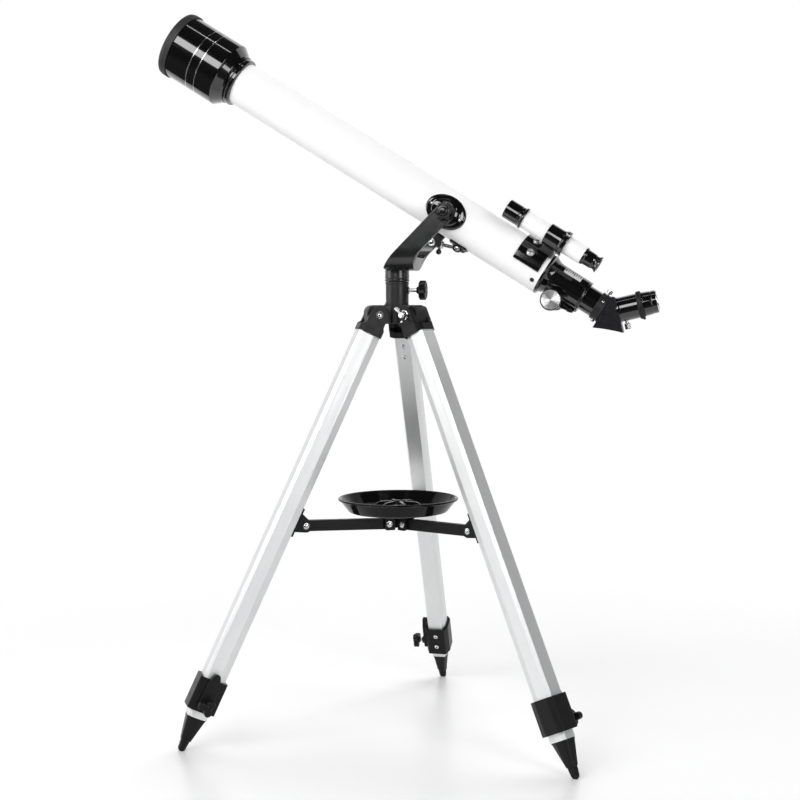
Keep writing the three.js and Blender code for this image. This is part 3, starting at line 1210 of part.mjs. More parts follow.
/** Housing with its nose, the eyepiece holder and the knurled ring. */
function diagonal() {
  const outline = prismOutline(0);
  const shape = new THREE.Shape();
  shape.moveTo(outline[0].x, outline[0].y);
  outline.slice(1).forEach((p) => shape.lineTo(p.x, p.y));
  const low = outline[0];
  const high = outline[outline.length - 1];
  shape.quadraticCurveTo((low.x + high.x) / 2, (low.y + high.y) / 2 + PRISM_BASE_SAG * 2, low.x, low.y);
  const housing = moved(sidePlate(shape, -PRISM_HALF_WIDTH, PRISM_HALF_WIDTH), bendStation, 0, 0);
  const cavity = moved(sidePlate(prismOutline(PRISM_WALL), PRISM_WALL - PRISM_HALF_WIDTH,
    PRISM_HALF_WIDTH - PRISM_WALL), bendStation, 0, 0);
  const nose = barX(NOSE_RADIUS, bendStation, collarRear + NOSE_LENGTH, FACETS_MID);
  const holder = onEyepieceAxis(join(
    barZ(HOLDER_RADIUS, PRISM_EXIT - 1, HOLDER_END + 1, FACETS_MID),
    barZ(HOLDER_RING_RADIUS, HOLDER_END, HOLDER_END + HOLDER_RING, HOLDER_RING_FLATS)));
  const eyeBore = onEyepieceAxis(barZ(NOSE_RADIUS + RUN, PRISM_EXIT + 1, HOLDER_END + HOLDER_RING + 1, FACETS_MID));
  const lightPath = onEyepieceAxis(barZ(NOSE_RADIUS - NOSE_WALL, 0, PRISM_EXIT + 2, FACETS_MID));
  const noseBore = barX(NOSE_RADIUS - NOSE_WALL, bendStation, collarRear + NOSE_LENGTH + 1, FACETS_MID);
  const screwHole = onEyepieceAxis(moved(
    barX(EYE_SCREW_RADIUS + BOLT_HOLE, -HOLDER_RADIUS - 2, 0, FACETS_TINY), 0, 0, EYE_SCREW_STATION));
  return cut(join(housing, nose, holder), cavity, eyeBore, lightPath, noseBore, screwHole);
}

const erectingPrism = () => moved(sidePlate(prismOutline(PRISM_WALL + GAP),
  PRISM_WALL + GAP - PRISM_HALF_WIDTH, PRISM_HALF_WIDTH - PRISM_WALL - GAP), bendStation, 0, 0);

/** Eyepiece: push-fit barrel, body and the recessed eye lens. */
function eyepiece() {
  const seat = HOLDER_END + HOLDER_RING + GAP;
  const end = seat + EYEPIECE_LENGTH;
  const bore = NOSE_RADIUS - EYEPIECE_WALL;
  return onEyepieceAxis(turned([
    [0, seat], [bore, seat], [bore, seat - EYEPIECE_INSERT], [NOSE_RADIUS, seat - EYEPIECE_INSERT],
    [NOSE_RADIUS, seat], [EYEPIECE_RADIUS - 0.6, seat], [EYEPIECE_RADIUS, seat + 0.6],
    [EYEPIECE_END_RADIUS, end - EYE_RIM], [EYEPIECE_END_RADIUS - EYE_RIM, end],
    [EYE_RECESS_RADIUS + EYE_RIM, end], [EYE_RECESS_RADIUS, end - EYE_RECESS], [0, end - EYE_RECESS + 0.8],
  ], FACETS_MID));
}

const eyepieceScrew = () => onEyepieceAxis(moved(turnedY(
  thumbscrew(EYE_SCREW_RADIUS, NOSE_RADIUS + GAP, HOLDER_RADIUS, EYE_SCREW_NECK, EYE_SCREW_HEAD_RADIUS,
    EYE_SCREW_HEAD), -90), 0, 0, EYE_SCREW_STATION));

// ---------------------------------------------------------------- finder

/** Saddle on the tube, ribbed stem and the sleeve that holds the finder. */
function finderBracket() {
  const bore = FINDER_RADIUS + GAP;
  const outside = bore + SLEEVE_WALL;
  const sleeve = moved(turnedAlongX([
    [0, SLEEVE_REAR], [SLEEVE_RIM_RADIUS, SLEEVE_REAR], [SLEEVE_RIM_RADIUS, SLEEVE_REAR + SLEEVE_RIM],
    [outside + 0.6, SLEEVE_REAR + SLEEVE_RIM + 1.5], [outside, SLEEVE_FRONT], [0, SLEEVE_FRONT],
  ], FACETS_MID), 0, 0, FINDER_DISTANCE);
  const foot = TUBE_RADIUS + GAP;
  const stem = block([STEM_REAR, -STEM_HALF_WIDTH, foot + 1], [STEM_FRONT - 8, STEM_HALF_WIDTH, FINDER_DISTANCE]);
  const web = sidePlate([
    at(STEM_REAR, foot + 1), at(STEM_FRONT + 6, foot + 1), at(STEM_FRONT - 4, FINDER_DISTANCE - outside + 2),
    at(SLEEVE_REAR + SLEEVE_RIM, FINDER_DISTANCE - outside + 2),
  ], -STEM_HALF_WIDTH * 0.6, STEM_HALF_WIDTH * 0.6);
  const stemHeight = FINDER_DISTANCE - outside - foot - SADDLE_THICKNESS;
  const grooves = [];
  for (let i = 0; i < STEM_RIBS; i += 1) {
    const height = foot + SADDLE_THICKNESS + stemHeight * (i + 0.5) / STEM_RIBS;
    [-1, 1].forEach((side) => {
      const edge = side * STEM_HALF_WIDTH;
      const y = [edge - side * STEM_RIB_DEPTH, edge + side].sort((a, b) => a - b);
      grooves.push(block([STEM_REAR - 1, y[0], height - 0.7], [STEM_FRONT, y[1], height + 0.7]));
    });
  }
  const saddle = saddleShell(SADDLE_REAR, SADDLE_FRONT, SADDLE_HALF_ANGLE, SADDLE_THICKNESS);
  return cut(join(saddle, cut(join(stem, web), ...grooves), sleeve),
    moved(barX(bore, SLEEVE_REAR - 1, SLEEVE_FRONT + 1, FACETS_MID), 0, 0, FINDER_DISTANCE),
    barX(TUBE_RADIUS + GAP, STEM_REAR - 10, SADDLE_FRONT + 1, FACETS_BIG));
}

/** Finder tube with its objective cell. */
function finderTube() {
  const cellBore = FINDER_CELL_RADIUS - FINDER_CELL_WALL;
  return moved(turnedAlongX([
    [0, FINDER_REAR], [FINDER_RADIUS, FINDER_REAR], [FINDER_RADIUS, FINDER_CELL_REAR],
    [FINDER_CELL_LIP, FINDER_CELL_REAR], [FINDER_CELL_LIP, FINDER_CELL_REAR + FINDER_CELL_LIP_LENGTH],
    [FINDER_CELL_RADIUS, FINDER_CELL_REAR + FINDER_CELL_LIP_LENGTH + 1.5], [FINDER_CELL_RADIUS, FINDER_FRONT],
    [cellBore, FINDER_FRONT], [cellBore, FINDER_FRONT - FINDER_CELL_RECESS],
    [0, FINDER_FRONT - FINDER_CELL_RECESS + 1],
  ], FACETS_MID), 0, 0, FINDER_DISTANCE);
}

function finderEyepiece() {
  const front = FINDER_REAR - GAP;
  const rear = front - FINDER_EYE_LENGTH;
  return moved(turnedAlongX([
    [0, front], [FINDER_EYE_COLLAR, front], [FINDER_EYE_COLLAR, front - 2], [FINDER_EYE_RADIUS + 0.4, front - 3.5],
    [FINDER_EYE_RADIUS, rear + 8.5], [FINDER_EYE_NECK, rear + 6.5], [FINDER_EYE_NECK, rear + 4.5],
    [FINDER_EYE_CUP, rear + 1], [FINDER_EYE_CUP, rear], [FINDER_EYE_CUP - 2.4, rear],
    [FINDER_EYE_NECK - 3.4, rear + 3.5], [0, rear + 3.5],
  ], FACETS_MID), 0, 0, FINDER_DISTANCE);
}

// ---------------------------------------------------------------- assembly

const telescope = new THREE.Group();

const tripod = new THREE.Group();
LEG_NAMES.forEach((name, i) => tripod.add(buildLeg(name, legAzimuths[i])));
tripod.add(
  piece('hub', hub(), 'blackPlastic'),
  piece('azimuth_lock', azimuthLock(), 'blackPlastic'),
  piece('spider', spider(), 'blackPlastic'),
  piece('tray', tray(), 'glossBlack'),
  piece('tray_screw', trayScrew(), 'blackPlastic'));

const head = new THREE.Group();
head.add(
  piece('yoke', yoke(), 'satinBlack'),
  piece('near_altitude_knob', altitudeKnob(-1), 'blackPlastic'),
  piece('far_altitude_knob', altitudeKnob(1), 'blackPlastic'),
  piece('swivel_block', swivelBlock(), 'chrome'),
  piece('slow_rod', slowRod(), 'chrome'),
  piece('rod_screw', rodScrew(), 'blackPlastic'));

// Group rotations apply X last to first: the tube frame's +X turns to the front and then rises.
const tubeFrame = new THREE.Group();
tubeFrame.rotation.z = Math.PI;
const raised = new THREE.Group();
raised.rotation.y = rad(ALTITUDE);
raised.position.set(PIVOT_FORWARD, 0, pivotHeight);
raised.add(tubeFrame);
const opticalTube = new THREE.Group();
opticalTube.position.x = -PIVOT_FROM_REAR;
tubeFrame.add(opticalTube);
opticalTube.add(
  piece('main_tube', mainTube(), 'whiteGloss'),
  piece('near_trunnion_plate', trunnion(1), 'glossBlack'),
  piece('far_trunnion_plate', trunnion(-1), 'glossBlack'),
  piece('rod_anchor', rodAnchor(), 'blackPlastic'),
  piece('objective_cell', objectiveCell(), 'glossBlack'),
  piece('objective_lens', objectiveLens(), 'glass'),
  piece('dew_shield', dewShield(), 'glossBlack'),
  piece('dust_cap', dustCap(), 'darkGrey'),
  piece('focuser_body', focuserBody(), 'glossBlack'),
  piece('drawtube', drawtube(), 'glossBlack'),
  piece('focus_shaft', focusShaft(), 'chrome'),
  piece('draw_screw', drawScrew(), 'chrome'),
  piece('diagonal', diagonal(), 'satinBlack'),
  piece('erecting_prism', erectingPrism(), 'glass'),
  piece('eyepiece', eyepiece(), 'glossBlack'),
  piece('eyepiece_screw', eyepieceScrew(), 'chrome'));

const finder = new THREE.Group();
finder.rotation.x = -rad(FINDER_ANGLE);
finder.add(
  piece('finder_bracket', finderBracket(), 'glossBlack'),
  piece('finder_tube', finderTube(), 'whiteGloss'),
  piece('finder_eyepiece', finderEyepiece(), 'glossBlack'));
opticalTube.add(finder);

telescope.add(tripod, head, raised);

// The origin is on the floor, under the middle of the whole object's box.
const box = new THREE.Box3().setFromObject(telescope, true);
const middle = box.getCenter(new THREE.Vector3());
telescope.position.set(-middle.x, -middle.y, 0);

export default telescope;
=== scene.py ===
"""Looks of a small refracting telescope on a folding tripod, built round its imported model.

Pieces are drawn in millimetres in a frame of their own part and placed in the model's frame in metres.
"""

import json
import logging
import math
from dataclasses import dataclass, field
from enum import Enum
from typing import Callable, Sequence

import bmesh
import bpy
from mathutils import Matrix, Vector


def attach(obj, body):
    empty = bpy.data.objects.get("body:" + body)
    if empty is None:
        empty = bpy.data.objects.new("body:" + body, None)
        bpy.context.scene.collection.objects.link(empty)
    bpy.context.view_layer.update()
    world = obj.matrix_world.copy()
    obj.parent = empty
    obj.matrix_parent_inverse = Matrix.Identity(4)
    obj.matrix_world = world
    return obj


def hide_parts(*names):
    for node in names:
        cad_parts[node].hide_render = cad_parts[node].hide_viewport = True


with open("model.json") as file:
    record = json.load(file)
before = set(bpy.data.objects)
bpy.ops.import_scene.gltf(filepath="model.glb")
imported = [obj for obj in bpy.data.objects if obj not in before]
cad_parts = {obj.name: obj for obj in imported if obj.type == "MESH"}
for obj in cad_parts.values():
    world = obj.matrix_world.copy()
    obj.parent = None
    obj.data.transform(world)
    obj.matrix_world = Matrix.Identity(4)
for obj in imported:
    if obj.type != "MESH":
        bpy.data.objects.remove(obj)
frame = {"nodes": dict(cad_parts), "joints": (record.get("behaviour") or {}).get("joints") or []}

LOG = logging.getLogger("telescope")
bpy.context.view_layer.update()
MM = 0.001

Profile = Sequence[Sequence[float]]


# ---------------------------------------------------------------- frames


def axes(origin: Vector, x: Vector, y: Vector, z: Vector) -> Matrix:
    """Builds a frame from its origin, in metres, and its three directions.

    Args:
        origin: Where the frame's zero is.
        x: Direction of its first axis.
        y: Direction of its second axis.
        z: Direction of its third axis.

    Returns:
        The matrix that carries points of the frame into the model's frame.
    """
    matrix = Matrix((x, y, z)).transposed().to_4x4()
    matrix.translation = origin
    return matrix


def shift(x: float = 0.0, y: float = 0.0, z: float = 0.0) -> Matrix:
    """Returns a move in millimetres, as a step inside a frame."""
    return Matrix.Translation(Vector((x, y, z)) * MM)


def spin(degrees: float, axis: str) -> Matrix:
    """Returns a turn about one axis of a frame."""
    return Matrix.Rotation(math.radians(degrees), 4, axis)


# Local drawings whose plane is upright: first coordinate along X, second along Z, depth along -Y.
UPRIGHT = spin(90, "X")
# Bars and turnings that run along X or along Y instead of along Z.
ALONG_X = spin(90, "Y")
ALONG_Y = spin(-90, "X")


@dataclass
class Layout:
    """Frames of the telescope's parts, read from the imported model's joints."""

    spread: float = 25.39
    pivot_station: float = 152.0
    finder_angle: float = 38.0
    finder_distance: float = 59.0
    bend_station: float = -98.8
    joints: dict = field(default_factory=lambda: {j["name"]: j for j in frame["joints"]})

    def point(self, joint: str) -> Vector:
        """Returns a joint's position in metres."""
        return Vector(self.joints[joint]["pos_m"])

    def direction(self, joint: str) -> Vector:
        """Returns a joint's axis."""
        return Vector(self.joints[joint]["axis"]).normalized()

    def tripod(self) -> Matrix:
        """Returns the frame on the floor below the tripod's axis."""
        centre = self.point("azimuth")
        return Matrix.Translation((centre.x, centre.y, 0))

    def leg(self, side: str) -> Matrix:
        """Returns a leg's frame: origin on its hinge, Z up the leg, X out of its outer face.

        Args:
            side: Which leg: left, right or rear.

        Returns:
            The leg's frame.
        """
        up = -self.direction(f"{side}_leg_extend")
        across = self.direction(f"{side}_leg_fold")
        return axes(self.point(f"{side}_leg_fold"), across.cross(up), across, up)

    def arm(self, side: str) -> Matrix:
        """Returns a spreader arm's frame: origin on its outer bolt, X outwards and level, Z up.

        Args:
            side: Which leg the arm serves.

        Returns:
            The arm's frame.
        """
        across = self.direction(f"{side}_arm_fold")
        up = Vector((0, 0, 1))
        return axes(self.point(f"{side}_arm_fold"), across.cross(up), across, up)

    def azimuth_of(self, side: str) -> float:
        """Returns a leg's direction round the tripod, in degrees.

        Args:
            side: Which leg: left, right or rear.

        Returns:
            The direction, in degrees from X.
        """
        out = self.direction(f"{side}_leg_fold").cross(Vector((0, 0, 1)))
        return math.degrees(math.atan2(out.y, out.x))

    def yoke(self) -> Matrix:
        """Returns the frame on the altitude axis, level."""
        return Matrix.Translation(self.point("altitude"))

    def tube(self) -> Matrix:
        """Returns the tube's frame: Z ahead along the axis from its rear end, X up, Y to the far side.

        Returns:
            The tube's frame.
        """
        ahead = self.direction("dust_cap_pull")
        far = Vector((0, 1, 0))
        origin = self.point("altitude") - ahead * self.pivot_station * MM
        return axes(origin, far.cross(ahead), far, ahead)

    def finder(self) -> Matrix:
        """Returns the finder's frame: Z ahead along its own axis, X away from the main tube."""
        return self.tube() @ spin(-self.finder_angle, "Z") @ shift(self.finder_distance)

    def eyepiece(self) -> Matrix:
        """Returns the eyepiece's frame: origin where the light bends, Z out through the eyepiece."""
        return self.tube() @ shift(0, 0, self.bend_station) @ spin(135, "Y")

    def rod(self) -> Matrix:
        """Returns the slow motion rod's frame: origin on its anchor pin, X along it to the block, Z down.

        Returns:
            The rod's frame.
        """
        start = self.point("rod_swing")
        along = (self.point("block_swing") - start).normalized()
        far = Vector((0, 1, 0))
        return axes(start, along, far, along.cross(far))


# ---------------------------------------------------------------- finishes


class Lay(Enum):
    """How a metal surface was worked."""

    PLAIN = "plain"
    LENGTHWISE = "lengthwise"
    SPUN = "spun"


class Graph:
    """A material's node tree, with the few steps that the finishes share."""

    def __init__(self, name: str, place: Matrix) -> None:
        """Starts a material whose patterns are centred and turned by a frame.

        Args:
            name: Name of the material.
            place: Frame that the piece is drawn in.
        """
        self.material = bpy.data.materials.new(name)
        self.material.use_nodes = True
        self.nodes = self.material.node_tree.nodes
        self.links = self.material.node_tree.links
        self.shader = self.nodes["Principled BSDF"]
        self.place = place

    def add(self, kind: str, **settings: object) -> bpy.types.Node:
        """Adds a node and sets its properties.

        Args:
            kind: Blender's name for the kind of node.
            settings: Properties to set, by name.

        Returns:
            The node.
        """
        node = self.nodes.new(kind)
        for key, value in settings.items():
            setattr(node, key, value)
        return node

    def set(self, **values: object) -> None:
        """Sets constants on the shader's own sockets, named with underscores for spaces."""
        for key, value in values.items():
            self.shader.inputs[key.replace("_", " ")].default_value = value

    def points(self, size: Sequence[float] = (1, 1, 1)) -> bpy.types.NodeSocket:
        """Returns object coordinates in the piece's frame.

        Args:
            size: Millimetres that make one unit of the pattern along each axis.

        Returns:
            The vector output to feed into a texture.
        """
        where = self.add("ShaderNodeTexCoord")
        mapping = self.add("ShaderNodeMapping", vector_type="TEXTURE")
        mapping.inputs["Location"].default_value = self.place.translation
        mapping.inputs["Rotation"].default_value = self.place.to_euler()
        mapping.inputs["Scale"].default_value = [s * MM for s in size]
        self.links.new(where.outputs["Object"], mapping.inputs["Vector"])
        return mapping.outputs["Vector"]

    def noise(self, size: Sequence[float], detail: float = 2.0, rough: float = 0.5) -> bpy.types.NodeSocket:
        """Returns a noise pattern with features of the given size in millimetres.

        Args:
            size: Size of a feature along each axis, in millimetres.
            detail: Octaves of finer noise.
            rough: How strong the finer octaves are.

        Returns:
            The pattern, from 0 to 1.
        """
        node = self.add("ShaderNodeTexNoise")
        node.inputs["Scale"].default_value = 1.0
        node.inputs["Detail"].default_value = detail
        node.inputs["Roughness"].default_value = rough
        self.links.new(self.points(size), node.inputs["Vector"])
        return node.outputs["Fac"]

    def rings(self, pitch: float) -> bpy.types.NodeSocket:
        """Returns fine concentric rings about the frame's Z axis.

        Args:
            pitch: Typical width of a ring, in millimetres.

        Returns:
            The pattern, from 0 to 1.
        """
        parts = self.add("ShaderNodeSeparateXYZ")
        flat = self.add("ShaderNodeCombineXYZ")
        length = self.add("ShaderNodeVectorMath", operation="LENGTH")
        self.links.new(self.points(), parts.inputs[0])
        self.links.new(parts.outputs["X"], flat.inputs["X"])
        self.links.new(parts.outputs["Y"], flat.inputs["Y"])
        self.links.new(flat.outputs[0], length.inputs[0])
        node = self.add("ShaderNodeTexNoise", noise_dimensions="1D")
        node.inputs["Scale"].default_value = 1.0 / pitch
        node.inputs["Detail"].default_value = 3.0
        self.links.new(length.outputs["Value"], node.inputs["W"])
        return node.outputs["Fac"]

    def lay_round(self, amount: float) -> None:
        """Stretches reflections as fine grooves round the frame's Z axis do.

        Args:
            amount: How much reflections are stretched, from 0 to 1.
        """
        across = self.add("ShaderNodeVectorMath", operation="CROSS_PRODUCT")
        across.inputs[1].default_value = (0, 0, 1)
        self.links.new(self.points(), across.inputs[0])
        turned = self.add("ShaderNodeVectorRotate", rotation_type="EULER_XYZ")
        turned.inputs["Rotation"].default_value = self.place.to_euler()
        self.links.new(across.outputs[0], turned.inputs["Vector"])
        world = self.add("ShaderNodeVectorTransform", vector_type="VECTOR", convert_from="OBJECT",
                         convert_to="WORLD")
        self.links.new(turned.outputs[0], world.inputs[0])
        self.links.new(world.outputs[0], self.shader.inputs["Tangent"])
        self.set(Anisotropic=amount)

    def spread(self, value: bpy.types.NodeSocket, low: float, high: float) -> bpy.types.NodeSocket:
        """Maps a pattern's middle range onto two values.

        Args:
            value: The pattern.
            low: Result for the pattern's darker parts.
            high: Result for its lighter parts.

        Returns:
            The mapped pattern.
        """
        node = self.add("ShaderNodeMapRange")
        node.inputs["From Min"].default_value = 0.3
        node.inputs["From Max"].default_value = 0.7
        node.inputs["To Min"].default_value = low
        node.inputs["To Max"].default_value = high
        self.links.new(value, node.inputs["Value"])
        return node.outputs["Result"]

    def tint(self, value: bpy.types.NodeSocket, dark: Sequence[float], light: Sequence[float]) -> None:
        """Varies the base colour between two tones with a pattern.

        Args:
            value: The pattern.
            dark: Colour of its darker parts.
            light: Colour of its lighter parts.
        """
        mix = self.add("ShaderNodeMix", data_type="RGBA")
        self.links.new(self.spread(value, 0.0, 1.0), mix.inputs["Factor"])
        mix.inputs["A"].default_value = (*dark, 1)
        mix.inputs["B"].default_value = (*light, 1)
        self.links.new(mix.outputs["Result"], self.shader.inputs["Base Color"])

    def relief(self, layers: Sequence[tuple[bpy.types.NodeSocket, float]]) -> None:
        """Adds bumps, each a pattern and its depth in millimetres.

        Args:
            layers: Each pattern with its depth in millimetres.
        """
        normal = None
        for value, depth in layers:
            bump = self.add("ShaderNodeBump")
            bump.inputs["Strength"].default_value = 1.0
            bump.inputs["Distance"].default_value = depth * MM
            self.links.new(value, bump.inputs["Height"])
            if normal is not None:
                self.links.new(normal, bump.inputs["Normal"])
            normal = bump.outputs["Normal"]
        self.links.new(normal, self.shader.inputs["Normal"])


@dataclass(frozen=True)
class Finish:
    """A surface finish: a base colour and how it varies."""

    name: str
    colour: tuple[float, float, float]
    rough: float
    change: float = 0.12

    def tones(self) -> tuple[tuple[float, ...], tuple[float, ...]]:
        """Returns the darker and lighter tone round the base colour.

        Returns:
            The darker tone and the lighter one.
        """
        low = tuple(c * (1 - self.change) for c in self.colour)
        high = tuple(min(c * (1 + self.change), 0.97) for c in self.colour)
        return low, high

    def dress(self, place: Matrix) -> bpy.types.Material:
        """Returns the material for a piece drawn in the given frame."""
        raise NotImplementedError


@dataclass(frozen=True)
class Paint(Finish):
    """Sprayed gloss or satin paint with a faint orange peel under a clear coat."""

    coat: float = 0.5
    peel: float = 0.004
    shine: float = 0.5

    def dress(self, place: Matrix) -> bpy.types.Material:
        """Returns the paint for a piece drawn in the given frame.

        Args:
            place: Frame that the piece is drawn in.

        Returns:
            The paint.
        """
        g = Graph(self.name, place)
        g.set(Coat_Weight=self.coat, Coat_Roughness=0.06, Specular_IOR_Level=self.shine)
        g.tint(g.noise((60, 60, 60), 3), *self.tones())
        g.links.new(g.spread(g.noise((14, 14, 14), 4), self.rough * 0.85, self.rough * 1.2),
                    g.shader.inputs["Roughness"])
        g.relief([(g.noise((2.2, 2.2, 2.2), 2), self.peel), (g.noise((40, 40, 40), 1), self.peel * 2)])
        return g.material


@dataclass(frozen=True)
class Moulding(Finish):
    """Moulded plastic: fine texture, faint flow marks and handling shine."""

    grain: float = 0.35
    depth: float = 0.012
    shine: float = 0.4

    def dress(self, place: Matrix) -> bpy.types.Material:
        """Returns the plastic for a piece drawn in the given frame.

        Args:
            place: Frame that the piece is drawn in.

        Returns:
            The plastic.
        """
        g = Graph(self.name, place)
        g.set(Specular_IOR_Level=self.shine)
        g.tint(g.noise((18, 18, 30), 4, 0.6), *self.tones())
        g.links.new(g.spread(g.noise((9, 9, 9), 5, 0.6), self.rough * 0.8, self.rough * 1.2),
                    g.shader.inputs["Roughness"])
        g.relief([(g.noise((self.grain,) * 3, 2, 0.6), self.depth),
                  (g.noise((12, 12, 12), 2), self.depth * 1.5)])
        return g.material


@dataclass(frozen=True)
class Metal(Finish):
    """Bare or plated metal, plain, drawn lengthwise along Z or spun round Z."""

    lay: Lay = Lay.PLAIN
    depth: float = 0.003

    def dress(self, place: Matrix) -> bpy.types.Material:
        """Returns the metal for a piece drawn in the given frame.

        Args:
            place: Frame that the piece is drawn in.

        Returns:
            The metal.
        """
        g = Graph(self.name, place)
        g.set(Metallic=1.0)
        g.tint(g.noise((25, 25, 60), 3), *self.tones())
        if self.lay is Lay.LENGTHWISE:
            pattern = g.noise((0.35, 0.35, 90), 3, 0.6)
        elif self.lay is Lay.SPUN:
            pattern = g.rings(0.22)
            g.lay_round(0.75)
        else:
            pattern = g.noise((3, 3, 3), 4, 0.6)
        g.links.new(g.spread(pattern, self.rough * 0.75, self.rough * 1.3), g.shader.inputs["Roughness"])
        g.relief([(pattern, self.depth)])
        return g.material


@dataclass(frozen=True)
class Glass(Finish):
    """Coated optical glass."""

    def dress(self, place: Matrix) -> bpy.types.Material:
        """Returns the glass for a piece drawn in the given frame.

        Args:
            place: Frame that the piece is drawn in.

        Returns:
            The glass.
        """
        g = Graph(self.name, place)
        g.set(Transmission_Weight=1.0, IOR=1.52, Coat_Weight=1.0, Coat_Roughness=0.02)
        g.shader.inputs["Coat Tint"].default_value = (0.55, 0.85, 0.7, 1)
        g.tint(g.noise((30, 30, 30), 1), *self.tones())
        g.links.new(g.spread(g.noise((5, 5, 5), 3), 0.01, 0.035), g.shader.inputs["Roughness"])
        return g.material


WHITE = Paint("white_enamel", (0.9, 0.9, 0.902), 0.38, 0.008, 0.0, 0.002, 0.4)
GLOSS = Paint("gloss_black", (0.0032, 0.0033, 0.0036), 0.1, 0.15, 0.8, 0.0008, 0.5)
DISH = Paint("dish_black", (0.004, 0.004, 0.0042), 0.08, 0.15, 0.0, 0.001, 0.14)
PLASTIC = Moulding("black_plastic", (0.0072, 0.0074, 0.0078), 0.34, 0.12, 0.5, 0.003, 0.15)
POLISHED = Moulding("polished_black_plastic", (0.006, 0.0062, 0.0066), 0.2, 0.12, 0.3, 0.002, 0.55)
FINE_PLASTIC = Moulding("fine_black_plastic", (0.007, 0.0072, 0.0076), 0.42, 0.12, 0.25, 0.003, 0.42)
CAP_GREY = Moulding("dull_grey_plastic", (0.022, 0.0222, 0.023), 0.55, 0.12, 0.3, 0.02)
YOKE_PAINT = Paint("yoke_satin_paint", (0.0115, 0.012, 0.0122), 0.24, 0.1, 0.0, 0.0015, 0.6)
MATT = Moulding("matt_black", (0.012, 0.0122, 0.0128), 0.5, 0.12, 0.3, 0.008, 0.3)
HOUSING = Moulding("housing_black", (0.0085, 0.0088, 0.0105), 0.32, 0.12, 0.6, 0.003, 0.22)
ANODISED = Metal("anodised_aluminium", (0.76, 0.765, 0.77), 0.5, 0.015, Lay.LENGTHWISE, 0.002)
CHROME = Metal("bright_chrome", (0.8, 0.8, 0.81), 0.09, 0.02)
STEEL = Metal("bright_steel", (0.68, 0.68, 0.69), 0.2, 0.05)
LABEL = Moulding("satin_label", (0.55, 0.555, 0.56), 0.4, 0.1, 0.3, 0.001, 0.4)
# A steel darker than the chrome dome on the same hinge bolt, for its hexagonal head and washer.
DARK_STEEL = Metal("dark_steel", (0.07, 0.07, 0.072), 0.25, 0.05)
SCREWS = Metal("satin_steel", (0.74, 0.74, 0.75), 0.38, 0.05)
SPUN = Metal("spun_aluminium", (0.86, 0.865, 0.87), 0.3, 0.02, Lay.SPUN, 0.0008)
TURNED = Metal("turned_aluminium", (0.76, 0.76, 0.77), 0.22, 0.03)
LENS = Glass("coated_glass", (0.9, 0.95, 0.97), 0.02, 0.02)
# Dull black for the lens ring and the scale's divisions, and painted shade in the screws' cross recesses and
# slots.
DULL_BLACK_AND_RECESS_SHADE = Moulding("dull_black_and_recess_shade", (0.004, 0.004, 0.0042), 0.8, 0.2, 0.6, 0.03)


class Finishes:
    """Hands out materials, one for each finish and frame."""

    def __init__(self) -> None:
        """Starts with no materials made."""
        self.made: dict[tuple, bpy.types.Material] = {}

    def get(self, finish: Finish, place: Matrix) -> bpy.types.Material:
        """Returns the material of a finish on pieces drawn in a frame, making it the first time.

        Args:
            finish: The finish.
            place: Frame that the piece is drawn in.

        Returns:
            The material.
        """
        key = (finish.name, *(round(v, 4) for row in place for v in row))
        if key not in self.made:
            self.made[key] = finish.dress(place)
        return self.made[key]


# ---------------------------------------------------------------- shaping


